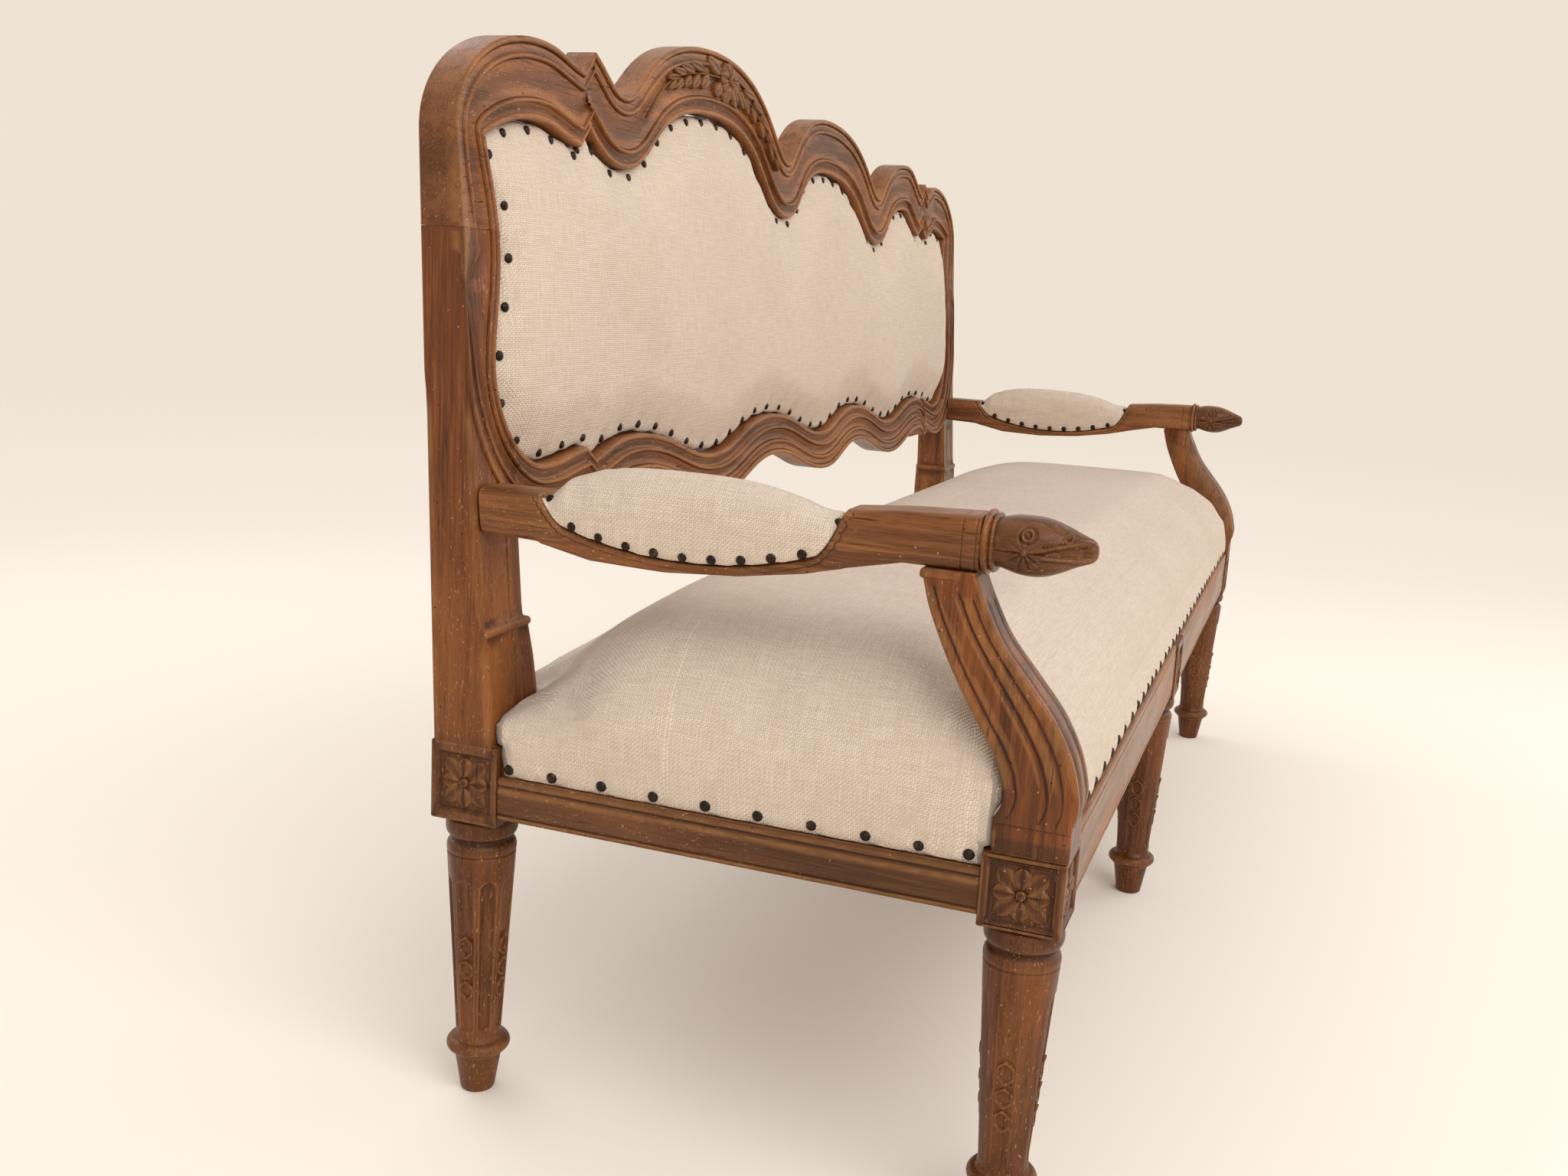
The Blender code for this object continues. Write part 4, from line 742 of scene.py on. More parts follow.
@dataclass
class BackOutline:
    """Outer edge of the back, through the turning points read from the photograph."""

    dense: int = 5
    crest: tuple = (
        Turn(-1.0, 0.708), Turn(-0.822, 0.895, UPRIGHT, LEVEL, 7), Turn(-0.72, 0.865, LEVEL, CHORD, 3),
        Turn(-0.693, 0.906, STRAIGHT, keep=True), Turn(-0.618, 0.843, CHORD, LEVEL, 3),
        Turn(-0.328, 1.0), Turn(-0.052, 0.806), Turn(0.153, 0.945), Turn(0.437, 0.778), Turn(0.629, 0.899),
        Turn(0.739, 0.82, LEVEL, CHORD, 4), Turn(0.762, 0.859, STRAIGHT), Turn(0.783, 0.82, STRAIGHT),
        Turn(0.847, 0.86, CHORD, LEVEL, 3), Turn(1.0, 0.69, LEVEL, UPRIGHT, 7),
    )
    foot: tuple = (
        Turn(-1.0, 0.335), Turn(-0.842, 0.052, UPRIGHT, LEVEL, 7), Turn(-0.741, 0.071, LEVEL, CHORD, 3),
        Turn(-0.722, 0.045, STRAIGHT), Turn(-0.612, 0.08, CHORD, LEVEL, 3),
        Turn(-0.361, 0.009, steps=5), Turn(-0.137, 0.077, steps=5), Turn(0.109, 0.007, steps=5),
        Turn(0.286, 0.064, steps=5), Turn(0.503, 0.0, steps=5), Turn(0.705, 0.055, steps=5),
        Turn(0.748, 0.025, LEVEL, CHORD, 4), Turn(0.763, 0.046, STRAIGHT),
        Turn(0.842, 0.021, CHORD, LEVEL, 4), Turn(1.0, 0.318, LEVEL, UPRIGHT, 7),
    )
    crest_handles: Flat = (0.2, 0.75)
    foot_handles: Flat = (0.42, 0.42)
    joint: float = SIZES.foot + 0.557 * SIZES.rise
    crest_face: float = 0.1388 * SIZES.rise
    stile_face: float = 0.0996 * SIZES.rise
    swell: float = 0.0356 * SIZES.rise

    def bend(self, start: Flat, end: Flat, turn: Turn, shares: Flat) -> list[Point]:
        """Cubic curve between two turning points.

        Args:
            start: First point.
            end: Last point.
            turn: How the curve leaves and arrives.
            shares: Handle lengths as shares of the run.

        Returns:
            Points without the first, each with the slope there.
        """
        run = (end[0] - start[0], end[1] - start[1])
        first = tuple(start[i] + run[i] * shares[0] * turn.leave.value[i] for i in (0, 1))
        second = tuple(end[i] - run[i] * shares[1] * turn.arrive.value[i] for i in (0, 1))
        rows = list(zip(start, first, second, end))
        made = []
        steps = turn.steps * self.dense
        for i in range(1, steps + 1):
            t = i / steps
            s = 1 - t
            x, z = (s**3 * a + 3 * s * s * t * b + 3 * s * t * t * c + t**3 * d for a, b, c, d in rows)
            across, rise = (s * s * (b - a) + 2 * s * t * (c - b) + t * t * (d - c) for a, b, c, d in rows)
            made.append((x, z, math.atan2(rise, across)))
        return made

    @staticmethod
    def lean(angle: float) -> float:
        """Lean of the inward direction where the edge slopes."""
        return 0.55 * math.atan(math.tan(angle)) if abs(math.cos(angle)) > 3e-4 else 0.0

    @staticmethod
    def straight(start: Point, end: Point, steps: int = 4) -> list[Point]:
        """Points on a short straight step of a break, without the first."""
        return [tuple(a + (b - a) * i / steps for a, b in zip(start, end)) for i in range(1, steps + 1)]

    def edge(self, upper: bool) -> list[Point]:
        """Outer edge of the crest or of the lower rail.

        Args:
            upper: Whether it is the crest's.

        Returns:
            X, height and lean from left to right. The tip of the crest's left break stands in it twice,
            with the lean before it and the lean after it.
        """
        turns = self.crest if upper else self.foot
        handles = self.crest_handles if upper else self.foot_handles
        here = SIZES.place((turns[0].x, turns[0].z))
        made = [(*here, math.pi / 2 if upper else -math.pi / 2)]
        for before, turn in zip(turns, turns[1:]):
            there = SIZES.place((turn.x, turn.z))
            ways = (turn.leave, turn.arrive)
            if STRAIGHT in ways:
                made += self.straight(made[-1], (*there, made[-1][2] if turn.keep else 0.0))
            elif UPRIGHT in ways:
                made += self.bend(here, there, turn, (0.55, 0.55))
            else:
                shares = handles if there[1] > here[1] else handles[::-1]
                run = self.bend(here, there, turn, (0.45, 0.45) if CHORD in ways else shares)
                run = [(x, z, self.lean(angle)) for x, z, angle in run]
                made += [(*here, run[0][2])] if before.keep else []
                made += run
            here = there
        return made

    def stile_width(self, height: float) -> float:
        """Face width of a stile, which swells towards the middle of the panel."""
        reach = ((height - SIZES.foot) / SIZES.rise - 0.539) / 0.231
        swell = self.swell * math.cos(math.pi / 2 * reach) ** 2 if abs(reach) < 1 else 0.0
        return self.stile_face + swell

    def stations(self, upper: bool) -> list[Station]:
        """Sections along the crest or the lower rail."""
        sign = 1 if upper else -1
        plain = self.crest_face if upper else self.stile_face
        made = []
        for x, z, angle in self.edge(upper):
            inward = (sign * math.sin(angle), -sign * math.cos(angle))
            width = plain + (self.stile_width(z) - plain) * inward[0] ** 2
            made.append(Station(x, z, inward, width))
        return made

    def stile(self, side: int, low: float, high: float) -> list[Station]:
        """Sections up a stile from low to high."""
        inward = (-side, 0.0)
        return [Station(side * SIZES.half, z, inward, self.stile_width(z)) for z in spans(low, high, 0.005)]

    def crest_run(self) -> list[Station]:
        """The crest from its left joint to its right joint."""
        top = self.stations(True)
        left = self.stile(-1, self.joint + 0.0003, top[0].z)
        right = self.stile(1, self.joint + 0.0003, top[-1].z)
        return left[:-1] + top + right[::-1][1:]

    def inner_edge(self) -> np.ndarray:
        """X and height of the inner edge of the moulding all round, 2 mm apart."""
        stations = self.crest_run() + self.lower_run()[::-1]
        rim = np.array([s.face(s.width, 0.0) for s in stations + stations[:1]])[:, (0, 2)]
        way = lengths(rim)
        even = np.arange(0, way[-1], 0.002)
        return np.stack([np.interp(even, way, rim[:, i]) for i in (0, 1)], axis=1)

    def lower_run(self) -> list[Station]:
        """Both stiles and the lower rail, from the left joint down and up again to the right joint."""
        low = self.stations(False)
        left = self.stile(-1, low[0].z, self.joint)
        right = self.stile(1, low[-1].z, self.joint)
        return left[::-1] + low[1:-1] + right


@dataclass
class Moulding:
    """Section of the moulded face, in millimetres from the outer and the inner edge.

    A row is (distance, depth). The hollow field between the two groups takes up what is left of the width.
    """

    outer: tuple = (
        (0.0, 2.2), (0.3, 1.2), (1.0, 0.4), (2.1, 0.0), (3.5, 0.0), (4.7, 0.35), (5.5, 1.1), (5.9, 2.3),
        (6.1, 4.9), (6.8, 4.9), (7.3, 3.6), (9.0, 3.4), (12.0, 3.5), (14.8, 3.3), (15.7, 3.1), (16.0, 2.1),
        (16.6, 1.4), (17.5, 1.0), (18.6, 1.0), (19.5, 1.4), (20.0, 2.2), (20.3, 5.2), (21.1, 5.2),
        (21.8, 4.5),
    )
    inner: tuple = (
        (21.8, 4.5), (21.2, 5.3), (20.5, 5.3), (20.2, 2.3), (19.7, 1.5), (18.9, 1.0), (17.9, 1.0),
        (17.1, 1.5),
        (16.6, 2.4), (16.3, 7.2), (15.5, 7.6), (13.0, 7.9), (10.0, 7.8), (7.6, 7.3), (6.7, 7.3), (6.2, 6.4),
        (5.5, 5.7), (4.4, 5.3), (3.0, 5.3), (1.7, 5.5), (0.7, 6.1), (0.2, 7.0), (0.0, 9.0), (0.0, 15.0),
    )
    field_depth: float = 2.9
    field_steps: int = 9
    fade_top: Flat = (0.85, 0.944)
    fade_low: Flat = (0.82, 0.69)

    def ring(self, station: Station) -> list[Point]:
        """Closed section at a station."""
        width = station.width * 1000
        drift, keep, pull = self.outer_run(station.z)
        face = []
        for distance, depth in self.outer:
            plain = 2.25 * (1 - math.cos(math.pi * min(1.0, distance / 20)))
            deep = depth if distance < 3 else keep * depth + (1 - keep) * plain
            face.append((distance * pull + drift * min(1.0, distance / 6), deep))
        start = face[-1]
        end = (width - self.inner[0][0], self.inner[0][1])
        for i in range(1, self.field_steps):
            t = i / self.field_steps
            hollow = self.field_depth * (1 - (2 * t - 1) ** 2)
            face.append((start[0] + (end[0] - start[0]) * t, start[1] + (end[1] - start[1]) * t + hollow))
        face += [(width - distance, depth) for distance, depth in self.inner]
        made = [station.face(d / 1000, depth / 1000) for d, depth in face]
        rear_out, rear_in = (Vector(station.behind(d)) for d in (0.0, station.width))
        made = [rear_out.lerp(Vector(made[0]), t) for t in (0.0, 0.05, 0.5, 0.9)] + made
        made += [Vector(made[-1]).lerp(rear_in, t) for t in (0.1, 0.9, 1.0)]
        return [self.uneven(tuple(p), i) for i, p in enumerate(made)]

    def outer_run(self, height: float) -> tuple[float, float, float]:
        """How the outer group runs out on the middle of a stile: its shift, its strength and its spread."""
        (top_low, top_high), (foot_high, foot_low) = self.fade_top, self.fade_low
        if height > top_low:
            t = min(1.0, (height - top_low) / (top_high - top_low))
            return 15.0 * (1 - t) ** 1.3, min(1.0, 1.8 * t), 1.0
        if height < foot_high:
            t = min(1.0, (foot_high - height) / (foot_high - foot_low))
            return 0.0, min(1.0, 1.8 * t), 0.35 + 0.65 * t
        t = (height - foot_high) / (top_low - foot_high)
        return 15.0 * t, 0.0, 0.35 + 0.65 * t

    @staticmethod
    def uneven(point: Point, index: int) -> Point:
        """Slight tool marks on the carved face, none on the flat rear."""
        if index < 2:
            return point
        return (point[0], point[1] + abs(wander(point, 0.03, 0.0004, 3.0)), point[2])


@dataclass
class Spray:
    """Flower between two sprays of narrow leaves, carved on the second lobe of the crest.

    Places are (distance along the crest from the flower, distance from the outer edge), in millimetres.
    """

    flower: Flat = (-0.274, 29.0)
    petals: tuple = ((85, 24), (40, 27), (-4, 34), (-48, 26), (-92, 24), (-138, 26), (176, 28), (132, 26))
    leaves: tuple = (
        (-24, 25, -66, 9, 8.0), (-75, 27, -122, 16, 4.8), (-104, 30, -147, 18, 4.6),
        (-131, 31, -167, 20, 4.2),
        (-152, 32, -187, 24, 3.6), (-64, 31, -88, 48, 5.8), (-92, 32, -116, 48, 5.4),
        (-119, 33, -141, 45, 4.6),
        (-144, 34, -166, 43, 4.2), (-164, 33, -186, 38, 3.4), (-26, 36, -44, 54, 7.0), (-8, 41, -14, 61, 7.5),
        (14, 38, 26, 57, 7.5), (28, 33, 56, 47, 6.5), (46, 26, 92, 15, 4.8), (50, 33, 74, 47, 5.2),
        (80, 26, 122, 15, 4.6), (78, 33, 100, 45, 4.8), (108, 27, 148, 18, 4.4), (110, 33, 134, 43, 4.4),
        (140, 28, 176, 21, 4.0), (150, 32, 178, 39, 3.6), (180, 30, 204, 32, 3.2),
    )
    stems: tuple = (((-26, 29), (-100, 31), (-190, 31), (-262, 36)), ((28, 29), (100, 30), (190, 31)))
    ground: float = 3.4

    def add_to(self, form: Form, stations: Sequence[Station]) -> None:
        """Add the carving to the crest."""
        rows = np.array([(s.x, s.z, *s.inward) for s in stations])
        middle = np.array([s.face(s.width / 2, 0.0) for s in stations])
        way = lengths(middle)
        zero = way[np.argmax(rows[:, 0] > self.flower[0])]
        normal = Vector((0, -1, 0.081)).normalized()

        def spot(along: float, down: float, raised: float = 0.0) -> Vector:
            """Place on the crest's face, raised over the ground of the carving."""
            x, z, lean, drop = (float(np.interp(zero + along / 1000, way, rows[:, i])) for i in range(4))
            return Vector(Station(x, z, (lean, drop), 0.0).face(down / 1000, (self.ground - raised) / 1000))

        for path in self.stems:
            rings = []
            for along, down in through(path, 8):
                thin = 1.7 * (1 - abs(along) / 330)
                sides = ((down + thin * math.cos(a), 0.4 + 2.2 * math.sin(a)) for a in turned(8))
                rings.append([tuple(spot(along, *side)) for side in sides])
            form.skin(rings)
        for along, down, to_along, to_down, half in self.leaves:
            ends = (spot(along, down), spot(to_along, to_down))
            leaf(form, *ends, normal, 1.25 * half / 1000, 0.0068, 0.5, 0.005, (0.45, 0.42))
        centre = self.flower[1]
        for turn, length in self.petals:
            x, y = math.cos(math.radians(turn)), math.sin(math.radians(turn))
            base, tip = spot(3 * x, centre - 3 * y, 1.2), spot(length * x, centre - length * y, 1.0)
            leaf(form, base, tip, normal, 0.0092, 0.008, 0.64, 0.006, (0.5, 0.45))
        rings = []
        for lift, radius in ((-4.0, 6.2), (7.6, 6.2), (9.2, 5.4), (9.7, 4.2), (8.4, 2.6), (5.4, 1.6)):
            places = ((radius * math.cos(a), centre - radius * math.sin(a), lift) for a in turned(18))
            rings.append([tuple(spot(*place)) for place in places])
        form.dome(rings, tuple(spot(0.0, centre, 4.8)))


@dataclass
class Back:
    """Crest rail, back posts and lower rail with their mouldings."""

    wood: dict[Grain, Material]
    outline: BackOutline = field(default_factory=BackOutline)
    moulding: Moulding = field(default_factory=Moulding)
    joint_inset: float = 0.083
    clear: float = 0.0003

    def build(self) -> None:
        """Build and dress all four timbers."""
        crest = Form().skin([self.moulding.ring(s) for s in self.outline.crest_run()])
        plain = len(crest.points)
        Spray().add_to(crest, self.outline.crest_run())
        level = self.wood[Grain.LENGTHWISE]
        # The carved spray is darkened all over as painted shade, standing for the shadows between its leaves.
        paint_shade_from(crest.carve("crest_rail", level, 60), plain, 0.42)
        ring = Form().skin([self.moulding.ring(s) for s in self.outline.lower_run()])
        joint = SIZES.half - self.joint_inset
        whole = ring.build("lower_ring", level, 60)
        rail = slice_between(whole, "lower_back_rail", -joint + self.clear, joint - self.clear)
        finished(put("lower_back_rail", rail, level, 60), "carved_wood", "lower_back_rail")
        for side in Side:
            name = f"back_post_{side.word}"
            ends = sorted((side.value * joint, side.value * 2.0))
            self.post(name, side.value, slice_between(whole, name, *ends))
        bpy.data.objects.remove(whole)

    def post(self, name: str, side: int, moulding: Mesh) -> None:
        """Build and dress one post: leg, carved block, pedestal, band, shaft and its length of moulding.

        Args:
            name: Name of the piece.
            side: -1 for the left post and 1 for the right one.
            moulding: Its length of moulding.
        """
        form = Form()
        form.points = [tuple(v.co) for v in moulding.vertices]
        form.faces = [tuple(p.vertices) for p in moulding.polygons]
        PostBody(side).add_to(form, self.outline)
        Leg(side * SIZES.block_x, SIZES.rear_y).add_to(form)
        CarvedBlock(side * SIZES.block_x, SIZES.rear_y, 0.081, ((side, 0),)).add_to(form)
        form.carve(name, self.wood[Grain.UPRIGHT], 55)


def slice_between(piece: Piece, name: str, low: float, high: float) -> Mesh:
    """Copy of a mesh between two upright planes across X, with its cuts closed.

    Args:
        piece: Piece to cut.
        name: Name of the new mesh.
        low: Lowest X kept.
        high: Highest X kept.

    Returns:
        The new mesh.
    """
    work = bmesh.new()
    work.from_mesh(piece.data)
    for place, out in ((low, -1), (high, 1)):
        parts = work.verts[:] + work.edges[:] + work.faces[:]
        across = {"plane_co": (place, 0, 0), "plane_no": (out, 0, 0), "clear_outer": True}
        cut = bmesh.ops.bisect_plane(work, geom=parts, **across)
        rim = [e for e in cut["geom_cut"] if isinstance(e, bmesh.types.BMEdge)]
        if rim:
            bmesh.ops.holes_fill(work, edges=rim, sides=0)
    bmesh.ops.recalc_face_normals(work, faces=work.faces)
    mesh = bpy.data.meshes.new(name)
    work.to_mesh(mesh)
    work.free()
    return mesh


def finished(piece: Piece, slot: str, *nodes: str) -> Piece:
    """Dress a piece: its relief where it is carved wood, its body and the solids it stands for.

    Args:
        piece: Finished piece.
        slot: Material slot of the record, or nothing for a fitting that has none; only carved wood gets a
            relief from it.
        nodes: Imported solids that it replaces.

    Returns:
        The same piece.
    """
    if slot == "carved_wood":
        relief(piece)
    if nodes:
        piece.name = nodes[0] + "_dressed"
    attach(piece, BODY)
    if nodes:
        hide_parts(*nodes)
    LOG.info("%s: %d faces", piece.name, len(piece.data.polygons))
    return piece


@dataclass
class PostBody:
    """Flared pedestal, moulded band and square shaft of a back post, with softened arrises."""

    side: int
    levels: tuple = (
        (0.371, 0.098, 0.0), (0.395, 0.0962, 0.0), (0.42, 0.0942, 0.0), (0.437, 0.0924, 0.0),
        (0.455, 0.0904, 0.0),
        (0.47, 0.0872, 0.0), (0.4865, 0.0838, 0.0), (0.4882, 0.0832, 0.0006), (0.489, 0.083, 0.0016),
        (0.4903, 0.083, 0.0022), (0.4935, 0.083, 0.0022), (0.495, 0.083, 0.0016), (0.496, 0.0826, 0.0004),
        (0.4972, 0.0785, -0.0014), (0.4995, 0.077, -0.002),
    )
    core: tuple = ((0.57, 0.0765), (0.6503, 0.0765), (0.69, 0.058), (0.735, 0.048))
    core_depth: float = 0.015
    inset: float = 0.0006
    line: tuple = ((0.66, 0.0), (0.672, 0.0014), (0.684, 0.0018), (0.696, 0.0003), (0.72, 0.0))

    def section(self, z: float, width: float, proud: float, inset: float) -> list[Point]:
        """Section of the body at a height.

        Args:
            z: Height.
            width: Width across the front.
            proud: How far it stands before the front plane.
            inset: How far its outer and rear faces lie inside the outline.

        Returns:
            Closed ring, with an incised line down the front of the shaft above the band.
        """
        outer = self.side * (SIZES.half - inset)
        inner = self.side * (SIZES.half - width - max(proud, 0.0))
        front = SIZES.front_plane(z) - proud
        rear = SIZES.rear_plane(z) - inset
        outline = rounded([(outer, front), (inner, front), (inner, rear), (outer, rear)], 0.0025, 3)
        depth = 1.0 if 0.499 < z < 0.58 else 0.0
        cut = [(outer + (inner - outer) * share, front + depth * low) for share, low in self.line]
        corner = len(outline) // 4
        return [(x, y, z) for x, y in [*outline[:corner], *cut, *outline[corner:]]]

    def add_to(self, form: Form, outline: BackOutline) -> None:
        """Add the body, with a filling outside the foot of the moulding and a core behind it.

        Args:
            form: Form of the post.
            outline: Outer edge of the back, whose foot the filling follows.
        """
        rim = [(s.z, SIZES.half - abs(s.x)) for s in outline.stations(False) if s.x * self.side > 0.77]
        rim = np.array(sorted(rim))
        rings = [self.section(*row, self.inset) for row in self.levels]
        for z in spans(0.51, 0.741, 0.008):
            width = float(np.interp(z, rim[:, 0], rim[:, 1])) + 0.0015 if z > rim[0, 0] else 1.0
            rings.append(self.section(z, min(0.077, width), -0.0026, self.inset))
        form.skin(rings)
        form.skin([self.section(z, width, -self.core_depth, 2.5 * self.inset) for z, width in self.core])


# Turned legs and carved blocks


def leaf(
    form: Form, base: Vector, tip: Vector, normal: Vector, half: float, rise: float, widest: float,
    root: float = 0.0015, crease: Flat = (0.24, 0.11),
) -> None:
    """Add one pointed leaf or petal with a creased middle.

    Args:
        form: Form that gets it.
        base: Start of the leaf on its ground.
        tip: End of the leaf.
        normal: Direction out of the ground.
        half: Half of its greatest width.
        rise: Height of its ridges over the ground.
        widest: Place of the greatest width as a share of the length.
        root: Depth of its underside below its ground.
        crease: Depth and width of the crease as shares of the rise and of the half width.
    """
    run = tip - base
    across = normal.cross(run).normalized()
    power = math.log(0.5) / math.log(widest)
    rings = []
    for i in range(1, 14):
        s = i / 14
        wide = half * math.sin(math.pi * s**power) ** 0.8
        lift = rise * math.sin(math.pi * s**0.8) ** 0.5
        ring = []
        for t in (-1, -0.9, -0.68, -0.4, -0.14, 0.0, 0.14, 0.4, 0.68, 0.9, 1):
            high = lift * (1 - abs(t) ** 3.6) * (1 - crease[0] * math.exp(-((t / crease[1]) ** 2)))
            ring.append(base + run * s + across * (wide * t) + normal * high)
        ring += [base + run * s + across * (wide * t) - normal * root for t in (1, 0, -1)]
        rings.append(ring)
    form.skin(rings)


@dataclass
class Leg:
    """Turned leg with a fluted shaft: a carved chain stands in every other flute.

    Each flute has a depth and half a spread in radians: those with a chain that face the ends of the
    settee, those with a chain that face front and rear, and the ones between them.
    """

    x: float
    y: float
    sides: int = 112
    flutes: tuple = ((0.0028, 0.33), (0.0032, 0.33), (0.0046, 0.27))
    ends: Flat = (0.07, 0.236)
    chain: tuple = ((0.164, 0.0135, 0.0085), (0.1395, 0.0115, 0.0085), (0.116, 0.0125, 0.008))
    sink: float = 0.006

    @staticmethod
    def bead(low: float, high: float, root: float, bulge: float, steps: int = 12) -> list[Flat]:
        """Half-round ring between two heights, all in millimetres."""
        middle, half = (low + high) / 2, (high - low) / 2
        turns = (math.pi * i / steps for i in range(steps + 1))
        return [(middle - half * math.cos(a), root + bulge * math.sin(a)) for a in turns]

    def profile(self) -> list[Flat]:
        """Height and radius of the turning in millimetres, from the floor up."""
        made = [(0.0, 15.6), (0.8, 16.6), (3.0, 17.6), (12.0, 19.0), (24.0, 21.0), (36.0, 23.0), (40.6, 23.8)]
        made += [(41.2, 25.2), (41.8, 26.0), (43.4, 26.0), (44.0, 25.2)]
        made += self.bead(44.2, 57.8, 25.2, 7.2)
        made += [(58.3, 25.0), (58.8, 24.4), (61.0, 24.2), (61.6, 23.4), (64.0, 22.8), (67.8, 22.9)]
        made += [(z, self.shaft(z)) for z in spans(70.0, 259.0, 2.4)]
        made += [(260.6, 34.3), (261.3, 33.5), (261.9, 33.3), (262.5, 33.8), (264.0, 34.7), (268.0, 34.8)]
        made += [(271.0, 34.1), (273.0, 32.9), (274.4, 31.4), (275.2, 30.1), (277.0, 29.6), (278.6, 30.0),
            (279.3, 31.0)]
        made += self.bead(279.6, 298.4, 31.4, 4.6)
        made += [(299.2, 31.4), (300.0, 31.2)]
        return made

    @staticmethod
    def shaft(z: float) -> float:
        """Radius of the tapered shaft at a height, in millimetres."""
        return 23.0 + (z - 67.8) * 0.059

    def flute(self, z: float, angle: float) -> float:
        """Depth of the flutes, round at their upper ends.

        Args:
            z: Height in metres.
            angle: Angle round the leg.

        Returns:
            Depth in metres.
        """
        low, high = self.ends
        index = round(angle / (math.pi / 4))
        depth, spread = self.flutes[2 if index % 2 else index // 2 % 2]
        end = min((z - low) / 0.004, (high - z) / 0.0095)
        if end <= 0:
            return 0.0
        half = spread * (math.sqrt(1 - (1 - end) ** 2) if end < 1 else 1.0)
        away = angle - index * math.pi / 4
        if abs(away) >= half:
            return 0.0
        return depth * math.sqrt(1 - (away / half) ** 2) * (0.35 + 0.65 * half / spread)

    def add_to(self, form: Form) -> None:
        """Add the leg to a form."""
        rings = []
        for z, radius in self.profile():
            turns = turned(self.sides)
            rings.append([self.spot(a, radius / 1000 - self.flute(z / 1000, a), z / 1000) for a in turns])
        rings.append([(x, y, SIZES.leg + self.sink) for x, y, _ in rings[-1]])
        form.skin(rings)
        for quarter in range(4):
            self.links(form, quarter * math.pi / 2)

    def spot(self, angle: float, radius: float, height: float) -> Point:
        """Point at an angle, a radius and a height of the leg."""
        return (self.x + radius * math.cos(angle), self.y + radius * math.sin(angle), height)

    def links(self, form: Form, angle: float) -> None:
        """Add the chain of three six-sided links in one flute.

        Args:
            form: Form of the leg.
            angle: Angle that the flute faces.
        """
        for middle, tall, wide in self.chain:
            low = tall * 0.46
            corners = [(0, tall), (-wide, low), (-wide, -low), (0, -tall), (wide, -low), (wide, low)]
            rings = []
            for u, v in rounded(corners, 0.0028, 2):
                radius = self.shaft((middle + v) * 1000) / 1000
                arch = 0.7 if v > 0.3 * tall else 0.0
                section = ((1, -4), (1, -1), (0.95, 0.2 + arch), (0.8, 0.3 + arch), (0.66, -0.6), (0.6, -4))
                rings.append([
                    self.spot(angle + u * keep / radius, radius + level / 1000, middle + v * keep)
                    for keep, level in section
                ])
            form.skin(rings, ring_path=True)


